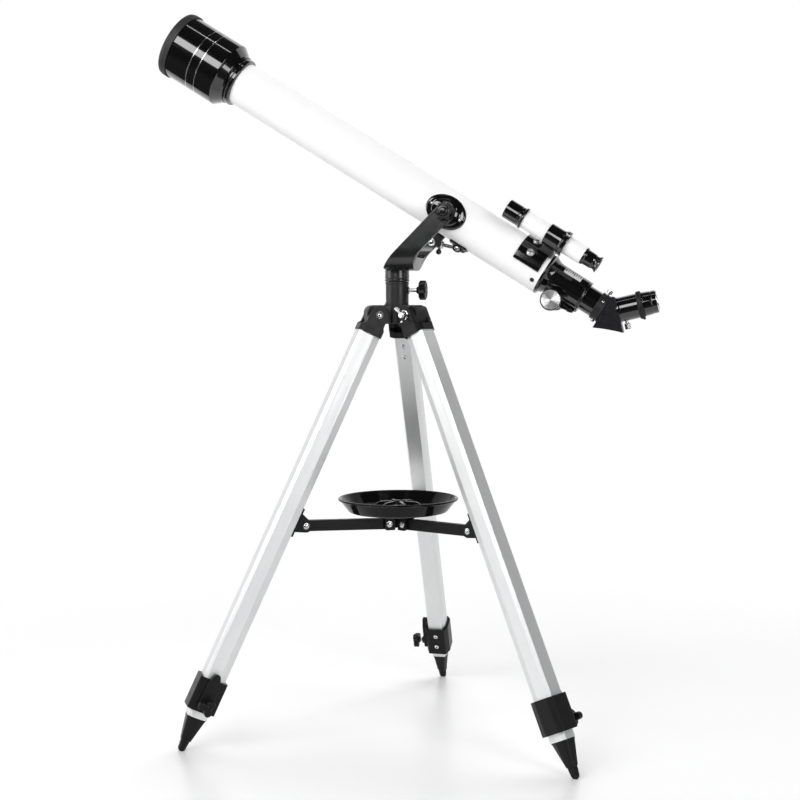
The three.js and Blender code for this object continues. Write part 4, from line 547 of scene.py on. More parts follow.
class Stock:
    """A piece being shaped, in millimetres."""

    def __init__(self) -> None:
        """Starts with nothing on the bench."""
        self.bm = bmesh.new()

    def corners(self, points: Profile, closed: bool, upright: bool) -> list[bmesh.types.BMVert]:
        """Draws a line of corners and rounds those that state a radius.

        Args:
            points: Two coordinates each, and a rounding size where the corner is rounded.
            closed: Whether the last corner joins the first.
            upright: Whether the second coordinate is Z, and not Y.

        Returns:
            The corners' vertices after the rounding.
        """
        line = bmesh.new()
        made = []
        for p in points:
            made.append(line.verts.new((p[0], 0, p[1]) if upright else (p[0], p[1], 0)))
        ends = made[1:] + made[:1] if closed else made[1:]
        for a, b in zip(made, ends):
            line.edges.new((a, b))
        for vert, p in zip(made, points):
            if len(p) > 2 and p[2] > 0:
                steps = int(p[3]) if len(p) > 3 else 3
                bmesh.ops.bevel(line, geom=[vert], offset=p[2], offset_type="OFFSET", segments=steps,
                                profile=0.5, affect="VERTICES", material=-1)
        return self.take(line)

    def take(self, other: bmesh.types.BMesh) -> list[bmesh.types.BMVert]:
        """Adds another mesh to this one and returns the vertices that came with it.

        Args:
            other: The mesh to add, which is used up.

        Returns:
            The vertices that came with it.
        """
        mesh = bpy.data.meshes.new("taken")
        other.to_mesh(mesh)
        other.free()
        before = len(self.bm.verts)
        self.bm.from_mesh(mesh)
        bpy.data.meshes.remove(mesh)
        self.bm.verts.ensure_lookup_table()
        return self.bm.verts[before:]

    @classmethod
    def turned(cls, profile: Profile, facets: int = 72) -> "Stock":
        """Turns a profile of radius and height about Z. It ends on the axis, or it closes on itself.

        Args:
            profile: Corners of radius and height, with a rounding where wanted.
            facets: Number of flats round the axis.

        Returns:
            The piece.
        """
        stock = cls()
        on_axis = abs(profile[0][0]) < 1e-6
        verts = stock.corners(profile, closed=not on_axis, upright=True)
        edges = {e for v in verts for e in v.link_edges}
        bmesh.ops.spin(stock.bm, geom=[*verts, *edges], cent=(0, 0, 0), axis=(0, 0, 1), dvec=(0, 0, 0),
                       angle=2 * math.pi, steps=facets, use_merge=True, use_duplicate=False)
        bmesh.ops.remove_doubles(stock.bm, verts=stock.bm.verts, dist=1e-4)
        stock.outward()
        return stock

    @classmethod
    def arc(cls, profile: Profile, start: float, sweep: float, facets: int = 72) -> "Stock":
        """Turns a closed profile part of the way round Z and closes both ends.

        Args:
            profile: Radii and heights, closed on itself.
            start: Degrees round Z at which it begins.
            sweep: Degrees that it goes on for.
            facets: Steps along the way.

        Returns:
            The part ring.
        """
        stock = cls()
        verts = stock.corners(profile, closed=True, upright=True)
        edges = list({e for v in verts for e in v.link_edges})
        last = bmesh.ops.spin(stock.bm, geom=[*verts, *edges], cent=(0, 0, 0), axis=(0, 0, 1), dvec=(0, 0, 0),
                              angle=math.radians(sweep), steps=facets, use_duplicate=False)["geom_last"]
        for rim in (edges, [g for g in last if isinstance(g, bmesh.types.BMEdge)]):
            bmesh.ops.triangle_fill(stock.bm, edges=rim, use_beauty=True, use_dissolve=True)
        stock.outward()
        return stock.turn(spin(start, "Z"))

    @classmethod
    def slab(cls, outline: Profile, low: float, high: float,
             holes: Sequence[Sequence[float]] = ()) -> "Stock":
        """Extrudes an outline along Z.

        Args:
            outline: Corners, with a rounding size where they are rounded.
            low: Where the slab starts.
            high: Where it ends.
            holes: Round holes through it, each the centre and the radius.

        Returns:
            The slab.
        """
        stock = cls()
        verts = stock.corners(outline, closed=True, upright=False)
        edges = {e for v in verts for e in v.link_edges}
        for x, y, radius in holes:
            made = bmesh.ops.create_circle(stock.bm, cap_ends=False, segments=28, radius=radius,
                                           matrix=Matrix.Translation((x, y, 0)))
            edges |= {e for v in made["verts"] for e in v.link_edges}
        bmesh.ops.triangle_fill(stock.bm, edges=list(edges), use_beauty=True, use_dissolve=True)
        stock.raise_faces(stock.bm.faces[:], (0, 0, high - low))
        bmesh.ops.translate(stock.bm, verts=stock.bm.verts, vec=(0, 0, low))
        stock.outward()
        return stock

    @classmethod
    def pipe(cls, outline: Profile, wall: float, low: float, high: float) -> "Stock":
        """Extrudes an outline along Z as a hollow section with a wall of even thickness.

        Args:
            outline: Corners of the outer section.
            wall: Thickness of the wall.
            low: Height of its lower end.
            high: Height of its upper end.

        Returns:
            The piece.
        """
        stock = cls()
        verts = stock.corners(outline, closed=True, upright=False)
        edges = list({e for v in verts for e in v.link_edges})
        made = bmesh.ops.extrude_edge_only(stock.bm, edges=edges)["geom"]
        bmesh.ops.translate(stock.bm, verts=[g for g in made if isinstance(g, bmesh.types.BMVert)],
                            vec=(0, 0, high - low))
        bmesh.ops.translate(stock.bm, verts=stock.bm.verts, vec=(0, 0, low))
        stock.outward()
        bmesh.ops.solidify(stock.bm, geom=stock.bm.faces[:], thickness=wall)
        return stock

    @classmethod
    def bar(cls, radius: float, low: float, high: float, facets: int = 32,
            top: float | None = None) -> "Stock":
        """Makes a round bar along Z, tapered where its top radius is given.

        Args:
            radius: Radius at the lower end.
            low: Height of the lower end.
            high: Height of the upper end.
            facets: Number of flats round it.
            top: Radius at the upper end, where it differs.

        Returns:
            The piece.
        """
        stock = cls()
        end = radius if top is None else top
        bmesh.ops.create_cone(stock.bm, cap_ends=True, cap_tris=False, segments=facets, radius1=radius,
                              radius2=end, depth=high - low, matrix=Matrix.Translation((0, 0,
                                                                                        (low + high) / 2)))
        return stock

    @classmethod
    def block(cls, low: Sequence[float], high: Sequence[float]) -> "Stock":
        """Makes a rectangular block between two corners.

        Args:
            low: The corner with the lowest coordinates.
            high: The corner with the highest.

        Returns:
            The piece.
        """
        stock = cls()
        bmesh.ops.create_cube(stock.bm, size=1.0)
        bmesh.ops.scale(stock.bm, verts=stock.bm.verts, vec=[h - l for l, h in zip(low, high)])
        bmesh.ops.translate(stock.bm, verts=stock.bm.verts, vec=[(h + l) / 2 for l, h in zip(low, high)])
        return stock

    @classmethod
    def ball(cls, radius: float) -> "Stock":
        """Makes a ball at the origin.

        Args:
            radius: Its radius.

        Returns:
            The piece.
        """
        stock = cls()
        bmesh.ops.create_uvsphere(stock.bm, u_segments=32, v_segments=20, radius=radius)
        return stock

    @classmethod
    def knob(cls, radius: float, lobes: int, depth: float, low: float, high: float, steps: int = 12,
             sharp: float = 1.0) -> "Stock":
        """Makes a lobed hand knob along Z.

        Args:
            radius: Out to the lobes' tips.
            lobes: How many there are.
            depth: How far the hollows come in.
            low: Where the knob starts.
            high: Where it ends.
            steps: Facets for each lobe.
            sharp: Above 1 for broad lobes with narrow hollows, below 1 for the opposite.

        Returns:
            The knob.
        """
        stock = cls()
        bmesh.ops.create_circle(stock.bm, cap_ends=True, radius=radius, segments=lobes * steps)

        def hollow(p: Vector) -> Vector:
            """Returns a rim point drawn in by the hollow at its angle."""
            wave = 0.5 - 0.5 * math.cos(lobes * math.atan2(p.y, p.x))
            return p * (1 - depth / radius * wave**sharp)

        stock.carve(hollow)
        stock.raise_faces(stock.bm.faces[:], (0, 0, high - low))
        bmesh.ops.translate(stock.bm, verts=stock.bm.verts, vec=(0, 0, low))
        stock.outward()
        return stock

    def outward(self) -> None:
        """Turns every face outward."""
        bmesh.ops.recalc_face_normals(self.bm, faces=self.bm.faces)

    def raise_faces(self, faces: Sequence[bmesh.types.BMFace], by: Sequence[float]) -> None:
        """Extrudes faces by a vector."""
        made = bmesh.ops.extrude_face_region(self.bm, geom=list(faces), use_keep_orig=False)["geom"]
        bmesh.ops.translate(self.bm, verts=[g for g in made if isinstance(g, bmesh.types.BMVert)], vec=by)

    def carve(self, rule: Callable[[Vector], Vector]) -> "Stock":
        """Moves every vertex by a rule and returns the piece.

        Args:
            rule: Gives the new place of a vertex from its old one.

        Returns:
            The piece itself.
        """
        for vert in self.bm.verts:
            vert.co = rule(vert.co.copy())
        return self

    def slice(self, at: Sequence[float], normal: Sequence[float], keep_below: bool = True) -> "Stock":
        """Cuts the piece with a plane, drops what lies beyond it and closes the cut.

        Args:
            at: A point on the plane.
            normal: The plane's normal.
            keep_below: Whether the side behind the normal is kept.

        Returns:
            The piece itself.
        """
        cut = bmesh.ops.bisect_plane(self.bm, geom=self.bm.verts[:] + self.bm.edges[:] + self.bm.faces[:],
                                     dist=1e-4, plane_co=at, plane_no=normal, clear_outer=keep_below,
                                     clear_inner=not keep_below)["geom_cut"]
        edges = [g for g in cut if isinstance(g, bmesh.types.BMEdge)]
        bmesh.ops.triangle_fill(self.bm, edges=edges, use_beauty=True, use_dissolve=True)
        self.outward()
        return self

    def score(self, at: Sequence[float], normal: Sequence[float]) -> "Stock":
        """Adds a line of edges where a plane crosses the piece.

        Args:
            at: A point on the plane.
            normal: The plane's normal.

        Returns:
            The piece itself.
        """
        bmesh.ops.bisect_plane(self.bm, geom=self.bm.verts[:] + self.bm.edges[:] + self.bm.faces[:],
                               dist=1e-4, plane_co=at, plane_no=normal)
        return self

    def ease(self, size: float, segments: int = 2, angle: float = 35.0,
             where: Callable[[Vector], bool] | None = None) -> "Stock":
        """Rounds the edges that are sharper than an angle.

        Args:
            size: How far the rounding reaches.
            segments: Facets across it.
            angle: The least angle between two faces that is rounded.
            where: A test of the edge's middle, for only some of the edges.

        Returns:
            The piece.
        """
        limit = math.radians(angle)
        edges = []
        for edge in self.bm.edges:
            if not edge.is_manifold or edge.calc_face_angle(0.0) < limit:
                continue
            if where is None or where((edge.verts[0].co + edge.verts[1].co) / 2):
                edges.append(edge)
        bmesh.ops.bevel(self.bm, geom=edges, offset=size, offset_type="OFFSET", segments=segments,
                        profile=0.5, affect="EDGES", clamp_overlap=True, material=-1)
        return self

    def inset_faces(self, chosen: Callable[[bmesh.types.BMFace], bool], border: float,
                    depth: float) -> "Stock":
        """Insets some faces by a border and sinks them by a depth, or raises them where it is positive.

        Args:
            chosen: Tells whether a face takes part.
            border: Width of the border.
            depth: How far the faces rise; negative sinks them.

        Returns:
            The piece itself.
        """
        faces = [f for f in self.bm.faces if chosen(f)]
        bmesh.ops.inset_region(self.bm, faces=faces, thickness=border, depth=depth, use_even_offset=True)
        return self

    def move(self, x: float = 0.0, y: float = 0.0, z: float = 0.0) -> "Stock":
        """Moves the piece and returns it."""
        bmesh.ops.translate(self.bm, verts=self.bm.verts, vec=(x, y, z))
        return self

    def turn(self, by: Matrix) -> "Stock":
        """Turns the piece and returns it."""
        bmesh.ops.transform(self.bm, matrix=by, verts=self.bm.verts)
        return self

    def flip(self, axis: str) -> "Stock":
        """Mirrors the piece across the plane that is square to an axis.

        Args:
            axis: X, Y or Z.

        Returns:
            The piece itself.
        """
        vec = {"X": (-1, 1, 1), "Y": (1, -1, 1), "Z": (1, 1, -1)}[axis]
        bmesh.ops.scale(self.bm, verts=self.bm.verts, vec=vec)
        bmesh.ops.reverse_faces(self.bm, faces=self.bm.faces)
        return self

    def copy(self) -> "Stock":
        """Returns a second piece of the same shape.

        Returns:
            The second piece.
        """
        other = Stock()
        other.bm = self.bm.copy()
        return other

    def add(self, *others: "Stock") -> "Stock":
        """Puts other pieces beside this one, as one object.

        Args:
            others: The pieces to add, which are used up.

        Returns:
            The piece itself.
        """
        for other in others:
            self.take(other.bm)
        return self

    def around(self, count: int, start: float = 0.0) -> "Stock":
        """Repeats the piece round Z.

        Args:
            count: How many there are in all.
            start: Angle of the first, in degrees.

        Returns:
            The piece itself.
        """
        first = self.copy()
        self.turn(spin(start, "Z"))
        for i in range(1, count):
            self.add(first.copy().turn(spin(start + 360 / count * i, "Z")))
        return self


@dataclass
class Bench:
    """Puts finished pieces into the scene."""

    finishes: Finishes = field(default_factory=Finishes)
    count: int = 0

    def place(self, name: str, stock: Stock, where: Matrix, finish: Finish, body: str, slot: str,
              nodes: Sequence[str] = (), smooth: float = 32.0) -> bpy.types.Object:
        """Makes an object of a shaped piece.

        Args:
            name: The object's name.
            stock: Its shape in millimetres.
            where: The frame that it was drawn in.
            finish: Its surface.
            body: The body that it rides on.
            slot: The record's material slot that its finish stands for; not used.
            nodes: Model nodes that it stands for.
            smooth: Angle above which an edge stays crisp.

        Returns:
            The object.
        """
        bm = stock.bm
        limit = math.radians(smooth)
        for face in bm.faces:
            face.smooth = True
        for edge in bm.edges:
            edge.smooth = edge.is_manifold and edge.calc_face_angle(0.0) < limit
        bm.transform(where @ Matrix.Scale(MM, 4))
        mesh = bpy.data.meshes.new(name)
        bm.to_mesh(mesh)
        bm.free()
        piece = bpy.data.objects.new(name, mesh)
        bpy.context.scene.collection.objects.link(piece)
        mesh.materials.append(self.finishes.get(finish, where))
        piece.modifiers.new("even_shading", "WEIGHTED_NORMAL").keep_sharp = True
        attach(piece, body)
        if nodes:
            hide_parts(*nodes)
        self.count += 1
        LOG.info("%s: %d faces on %s", name, len(mesh.polygons), body)
        return piece

    def dress(self, node: str, where: Matrix, finish: Finish) -> None:
        """Gives a model node that stays in view its finish.

        Args:
            node: Name of the model's node.
            where: Frame that its patterns lie in.
            finish: Its finish.
        """
        target = frame["nodes"][node]
        target.data.materials.clear()
        target.data.materials.append(self.finishes.get(finish, where))
        LOG.info("%s: kept, in %s", node, finish.name)


# ---------------------------------------------------------------- fasteners


@dataclass
class Fasteners:
    """Small bright hardware that several parts share."""

    def pan_head(self, radius: float, height: float) -> Stock:
        """Makes a domed screw head that rises from z = 0."""
        return Stock.turned([(0, 0), (radius, 0, 0.2, 2), (radius, height * 0.55, 0.5, 3),
                             (radius * 0.72, height, 0.6, 3), (0, height)], 36)

    def cross(self, radius: float, width: float, at: float) -> Stock:
        """Makes a thin black inlay in the shape of a screw head's cross recess: painted shade in the recess.

        Args:
            radius: Reach of each arm of the cross.
            width: Width of an arm.
            at: Height of the head's surface.

        Returns:
            The piece.
        """
        half = width / 2
        outline = [(radius, -half), (radius, half), (half, half), (half, radius), (-half, radius),
                   (-half, half), (-radius, half), (-radius, -half), (-half, -half), (-half, -radius),
                   (half, -radius), (half, -half)]
        # The inlay is black: painted shade standing in for the depth of a cross recess.
        return Stock.slab(outline, at - 0.3, at + 0.05)

    def hex_head(self, radius: float, height: float) -> Stock:
        """Makes a hexagonal head with turned-down corners."""
        return Stock.bar(radius, 0, height, 6).ease(0.35, 2)

    def washer(self, radius: float, hole: float, height: float) -> Stock:
        """Makes a plain washer that rises from z = 0."""
        return Stock.turned([(hole, 0), (radius, 0, 0.2, 2), (radius, height, 0.25, 2), (hole, height)], 36)

    def wing_nut(self, radius: float, height: float, span: float, rise: float) -> Stock:
        """Makes a wing nut that rises from z = 0, its wings along X.

        Args:
            radius: Radius of the body.
            height: Height of the body.
            span: Width over the wings.
            rise: How far the wings stand above the body.

        Returns:
            The piece.
        """
        body = Stock.turned([(0, 0), (radius, 0, 0.4, 2), (radius * 0.8, height, 1.0, 3), (0, height)], 36)
        half = span / 2
        wing = [(0, 1.4), (radius * 0.9, 1.2, 1), (half * 0.72, height * 0.75, 2),
                (half, height + rise * 0.5, 2.6, 5), (half * 0.86, height + rise, 2.2, 5),
                (half * 0.52, height + rise * 0.55, 2, 4), (radius * 0.62, height * 0.98, 1.2),
                (0, height * 0.9)]
        blade = Stock.slab(wing, -1.5, 1.5).ease(0.7, 3).turn(UPRIGHT)
        other = blade.copy().turn(spin(180, "Z"))
        return body.add(blade, other)


FASTENERS = Fasteners()


# ---------------------------------------------------------------- tripod


@dataclass
class Leg:
    """One leg: cap, two sliding extrusions, clamp, foot and spreader plate.

    Its frame has Z up the leg from the hinge, X out of the outer face and Y along the hinge bolt.
    """

    side: str
    bench: Bench
    layout: Layout
    depth: float = 31.0
    width: float = 28.0
    wall: float = 1.5
    top: float = 22.0
    bottom: float = 560.0
    shin_top: float = 62.0
    shin_bottom: float = 587.0
    clamp_top: float = 532.0
    clamp_bottom: float = 577.0
    clamp_wall: float = 4.0
    screw_station: float = 565.0
    foot_top: float = 587.3
    tip_station: float = 631.5
    cap_round: float = 17.1
    cap_cheek: float = 18.0
    cap_radius: float = 12.5
    cap_outer_flat: float = 10.9
    cap_inner_flat: float = 13.6
    cap_web: float = 19.0
    cap_bottom: float = 28.0
    slot_half: float = 10.1
    plate_station: float = 298.4
    bolt_offset: float = -29.5

    def __post_init__(self) -> None:
        """Finds the leg's frame and its bodies' names."""
        self.place = self.layout.leg(self.side)
        self.body = f"{self.side}_leg"

    def outline(self, grow: float, rounding: float) -> Profile:
        """Returns the section of the extrusion, larger all round by a distance.

        Args:
            grow: Distance that is added all round.
            rounding: Radius of its corners.

        Returns:
            The section's corners.
        """
        x = self.depth / 2 + grow
        y = self.width / 2 + grow
        outer = 5.0 + grow * 0.41
        inner = 10.0 + grow * 0.2
        flat = y - 3.5 - grow * 0.3
        points = [(x, -flat), (x, flat), (x - outer, y), (inner - x, y), (-x, flat), (-x, -flat),
                  (inner - x, -y), (x - outer, -y)]
        return [(px, py, rounding, 2) for px, py in points]

    def build(self) -> None:
        """Builds and places every piece of the leg."""
        self.extrusions()
        self.cap()
        self.clamp()
        self.clamp_knob()
        self.foot()
        self.hinge()
        self.spreader_plate()

    def extrusions(self) -> None:
        """Makes the outer extrusion with its two screws and the shin inside it."""
        outer = Stock.pipe(self.outline(0, 0.7), self.wall, -self.bottom, -self.top)
        self.bench.place(f"{self.side}_outer_extrusion", outer, self.place, ANODISED, self.body,
                         "leg_aluminium", [f"{self.side}_leg_tube"], smooth=14)
        clearance = self.wall + 0.35
        shin = Stock.pipe(self.outline(-clearance, 0.6), self.wall, -self.shin_bottom, -self.shin_top)
        self.bench.place(f"{self.side}_inner_extrusion", shin, self.place, ANODISED, f"{self.side}_shin",
                         "leg_aluminium", [f"{self.side}_shin"], smooth=14)
        # The black cross inlays on the screw heads are painted shade in their recesses.
        screws = Stock()
        recess_shades = Stock()
        for station in (41.0, 58.0):
            for stock, part in ((screws, FASTENERS.pan_head(3.1, 1.5)),
                                (recess_shades, FASTENERS.cross(1.7, 0.7, 1.5))):
                stock.add(part.turn(spin(-90, "Y")).move(-self.depth / 2 - 0.02, 0, -station))
        self.bench.place(f"{self.side}_cap_screws", screws, self.place, STEEL, self.body, "chrome_steel")
        self.bench.place(f"{self.side}_cap_screw_painted_recess_shade", recess_shades, self.place, DULL_BLACK_AND_RECESS_SHADE, self.body,
                         "black_plastic")

    def cap(self) -> None:
        """Makes the moulded cap: a socket for the leg and two flat cheeks, astride the hub's lug."""
        r, y, half = self.cap_round, self.cap_cheek, 11.3
        outline = [(r, -half, 2.2, 4), (r, half, 2.2, 4), (self.cap_outer_flat, y, 0.8, 2),
                   (-self.cap_inner_flat, y, 0.8, 2), (-r, half, 2.0, 3), (-r, -half, 2.0, 3),
                   (-self.cap_inner_flat, -y, 0.8, 2), (self.cap_outer_flat, -y, 0.8, 2)]
        socket = Stock.pipe(outline, 1.4, -self.cap_bottom, -self.cap_web)
        socket.ease(0.5, 2, 60, lambda p: p.z < 0.2 - self.cap_bottom)
        web = Stock.slab([(x * 0.97, w * 0.97, *e) for x, w, *e in outline], -21.4, -self.cap_web - 0.15)
        c = self.cap_radius
        low = r - c - self.cap_web
        side = [(r, -self.cap_web), (c, low, 1.5, 3), (c, 0), *self.sweep(c, 15, 165), (-c, 0),
                (-c, low, 1.5, 3), (-r, -self.cap_web)]
        cheek = Stock.slab(side, self.slot_half, y, holes=[(0, 0, 3.3)])
        for start, end in (((self.cap_outer_flat, y), (r, half)), ((-r, half), (-self.cap_inner_flat, y))):
            cheek.slice((start[0], 0, start[1]), (start[1] - end[1], 0, end[0] - start[0]))
        cheek.ease(0.8, 3, 24,
                   lambda p: p.y > -self.cap_web + 0.5 and p.xy.length > 5 and p.z > self.slot_half + 0.1)
        near = cheek.turn(UPRIGHT)
        far = near.copy().flip("Y")
        self.bench.place(f"{self.side}_cap", socket.add(web, near, far), self.place, PLASTIC, self.body,
                         "black_plastic", [f"{self.side}_leg_cap"])

    def sweep(self, radius: float, start: int, end: int) -> Profile:
        """Returns points round the hinge, every fifteen degrees from one angle to another."""
        angles = [math.radians(a) for a in range(start, end + 1, 15)]
        return [(radius * math.cos(a), radius * math.sin(a)) for a in angles]

    def clamp(self) -> None:
        """Makes the clamp with its screw pad, its lip and the two rivets on its inner face."""
        y = self.width / 2 + self.clamp_wall
        body = Stock.pipe(self.outline(self.clamp_wall, 1.0), self.clamp_wall - 0.3, -self.clamp_bottom,
                          -self.clamp_top)
        body.ease(0.8, 3, 50)
        collar = Stock.pipe(self.outline(-1.6, 0.6), 1.4, -self.clamp_bottom + 1.0, -self.clamp_bottom + 5.0)
        lip = Stock.pipe(self.outline(self.clamp_wall - 0.6, 1.0), self.clamp_wall + 0.8, -self.clamp_bottom,
                         -self.clamp_bottom + 2.0)
        pad_outline = [(-9, -self.clamp_bottom + 4, 1.5), (9, -self.clamp_bottom + 4, 1.5),
                       (9, -self.clamp_top - 4.5, 1.5), (3.6, -self.clamp_top + 9, 2.2, 4),
                       (-3.6, -self.clamp_top + 9, 2.2, 4), (-9, -self.clamp_top - 4.5, 1.5)]
        pad = Stock.slab(pad_outline, -y - 4.5, -self.width / 2 - 0.4).ease(1.0, 3, 50).turn(UPRIGHT)
        boss = Stock.turned([(0, y), (6.6, y + 4.3), (5.2, y + 8.5, 0.8, 3), (2.8, y + 8.5), (2.8, y + 7.5),
                             (0, y + 7.5)], 36)
        boss.turn(ALONG_Y).move(0, 0, -self.screw_station)
        name = f"{self.side}_leg_clamp"
        self.bench.place(f"{self.side}_clamp_body", body.add(lip, collar, pad, boss), self.place, PLASTIC,
                         self.body, "black_plastic", [name])
        # The black cross inlays on the rivet heads are painted shade in their recesses.
        rivets = Stock()
        recess_shades = Stock()
        for station in (self.clamp_top + 11.5, self.clamp_top + 31.0):
            head = FASTENERS.pan_head(3.4, 1.6).turn(spin(-90, "Y"))
            rivets.add(head.move(-self.depth / 2 - self.clamp_wall + 0.05, 0, -station))
            cross = FASTENERS.cross(1.8, 0.75, 1.6).turn(spin(-90, "Y"))
            recess_shades.add(cross.move(-self.depth / 2 - self.clamp_wall + 0.05, 0, -station))
        self.bench.place(f"{self.side}_clamp_screws", rivets, self.place, STEEL, self.body, "chrome_steel")
        self.bench.place(f"{self.side}_clamp_screw_painted_recess_shade", recess_shades, self.place, DULL_BLACK_AND_RECESS_SHADE, self.body,
                         "black_plastic")

    def clamp_knob(self) -> None:
        """Makes the three-lobed clamp screw."""
        seat = self.width / 2 + self.clamp_wall + 8.5
        start = seat + 5.5
        knob = Stock.knob(12.2, 3, 6.3, start, start + 8.0, 20, 1.25).ease(1.6, 4, 50)
        hub = Stock.turned([(0, start - 2.4), (4.4, start - 2.4, 0.4, 2), (5.2, start + 1),
                            (5.2, start + 8.6, 0.8, 3), (3.0, start + 9.2, 0.4, 2), (0, start + 9.2)], 36)
        place = self.place @ shift(0, 0, -self.screw_station) @ ALONG_Y
        body = f"{self.side}_clamp_knob"
        self.bench.place(f"{self.side}_clamp_handle", knob.add(hub), place, PLASTIC, body, "black_plastic",
                         [body])
        shaft = Stock.bar(2.4, 12.5, start - 2.2, 24)
        for i in range(6):
            shaft.add(Stock.turned([(2.3, seat + 0.3 + i * 0.6), (2.62, seat + 0.6 + i * 0.6),
                                    (2.3, seat + 0.9 + i * 0.6)], 24))
        self.bench.place(f"{self.side}_clamp_shaft", shaft, place, STEEL, body, "chrome_steel")

    def foot(self) -> None:
        """Makes the faceted foot with its step and rounded tip, flat where it stands."""
        tip = -self.tip_station
        shoulder = -self.foot_top
        stock = Stock()
        verts = stock.corners(self.outline(-2.4, 1.6), closed=True, upright=False)
        bmesh.ops.edgeloop_fill(stock.bm, edges=list({e for v in verts for e in v.link_edges}))
        levels = [(shoulder - 0.001, 1.0), (tip + 11.0, 7.6), (tip + 10.3, 6.4), (tip + 5.0, 6.0),
                  (tip + 2.0, 5.55), (tip, 5.5), (tip - 2.2, 5.0), (tip - 3.9, 3.9), (tip - 4.9, 2.5),
                  (tip - 5.35, 1.2)]
        bmesh.ops.translate(stock.bm, verts=stock.bm.verts, vec=(0, 0, shoulder))
        for z, radius in levels[1:]:
            lowest = min(stock.bm.faces, key=lambda f: f.calc_center_median().z)
            made = bmesh.ops.extrude_discrete_faces(stock.bm, faces=[lowest])["faces"][0]
            for vert in made.verts:
                flat = vert.co.xy.normalized() * radius
                facet = 1.0 - 0.04 * math.cos(8 * math.atan2(flat.y, flat.x))
                vert.co = Vector((flat.x * facet, flat.y * facet, z))
        stock.outward()
        plug = Stock.slab(self.outline(-3.8, 0.6), shoulder - 1, shoulder + 14)
        rim = Stock.slab(self.outline(-2.2, 1.4), shoulder - 1.6, shoulder).ease(0.4, 2, 50)
        down = self.place.to_3x3().transposed() @ Vector((0, 0, 1))
        sole = self.place.inverted() @ Vector((self.place.translation.x, self.place.translation.y, 0.0))
        stock.slice(sole / MM, down, keep_below=False)
        self.bench.place(f"{self.side}_foot_moulding", stock.add(plug, rim), self.place, PLASTIC,
                         f"{self.side}_shin", "black_plastic", [f"{self.side}_foot"], smooth=24)

    def hinge(self) -> None:
        """Makes the hinge bolt with its hexagonal head and washers, and the wing nut."""
        y = self.cap_cheek
        bolt = Stock.bar(3.0, -y - 8.3, y + 0.5, 24)
        for i in range(8):
            z = -y - 8.0 + i * 0.85
            bolt.add(Stock.turned([(2.9, z), (3.18, z + 0.42), (2.9, z + 0.85)], 24))
        head = FASTENERS.hex_head(4.4, 1.8).move(0, 0, y + 0.7)
        dome = Stock.turned([(0, y + 2.5), (3.8, y + 2.5), (3.6, y + 3.4, 1.0, 4), (2.4, y + 4.4, 1.4, 5),
                             (0, y + 4.9)], 32)
        washer = FASTENERS.washer(5.2, 3.0, 0.6).move(0, 0, y + 0.1)
        place = self.place @ ALONG_Y
        self.bench.place(f"{self.side}_hinge_pin", bolt.add(dome), place, CHROME, "tripod_hub",
                         "chrome_steel", [f"{self.side}_hinge_bolt"])
        self.bench.place(f"{self.side}_hinge_head", head.add(washer), place, DARK_STEEL, "tripod_hub",
                         "chrome_steel")
        nut = FASTENERS.wing_nut(5.4, 6.0, 25.0, 6.0)
        seat = FASTENERS.washer(6.6, 3.0, 0.7)
        nut.move(0, 0, 0.7).add(seat).turn(spin(180, "X")).move(0, 0, -y - 0.15).turn(spin(83, "Z"))
        body = f"{self.side}_wing_nut"
        self.bench.place(f"{self.side}_winged_nut", nut, place, CHROME, body, "chrome_steel", [body])

    def spreader_plate(self) -> None:
        """Makes the plate on the inner face with two ears, and the bolt that carries the spreader arm."""
        face = -self.depth / 2 - 0.3
        z = -self.plate_station
        plate = Stock.block((face - 2.4, -10, z - 20.5), (face, 10, z + 20.5)).ease(0.7, 2, 50)
        ear = [(face - 0.5, z - 14, 1), (face - 0.5, z + 14, 1), (self.bolt_offset - 2.0, z + 8.6, 5, 5),
               (self.bolt_offset - 8.6, z + 6.0, 5, 5), (self.bolt_offset - 8.6, z - 6.0, 5, 5),
               (self.bolt_offset - 2.0, z - 8.6, 5, 5)]
        pieces = [Stock.slab(ear, low, low + 3.0).ease(0.5, 2, 50).turn(UPRIGHT) for low in (4.4, -7.4)]
        self.bench.place(f"{self.side}_spreader_bracket", plate.add(*pieces), self.place, PLASTIC, self.body,
                         "black_plastic", [f"{self.side}_leg_plate"])
        pin = Stock.bar(2.0, -7.4, 7.4, 20)
        for flip in (0, 180):
            pin.add(FASTENERS.washer(4.3, 1.9, 0.6).move(0, 0, 7.4).turn(spin(flip, "X")))
            pin.add(FASTENERS.pan_head(3.5, 1.7).move(0, 0, 7.9).turn(spin(flip, "X")))
        pin.turn(ALONG_Y).move(self.bolt_offset, 0, z)
        self.bench.place(f"{self.side}_spreader_pin", pin, self.place, STEEL, self.body, "chrome_steel")
        rivets = Stock()
        for station in (-16.0, 16.0):
            rivets.add(FASTENERS.pan_head(2.6, 1.1).turn(spin(-90, "Y")).move(face - 2.4, 0, z + station))
        self.bench.place(f"{self.side}_spreader_rivets", rivets, self.place, STEEL, self.body, "chrome_steel")


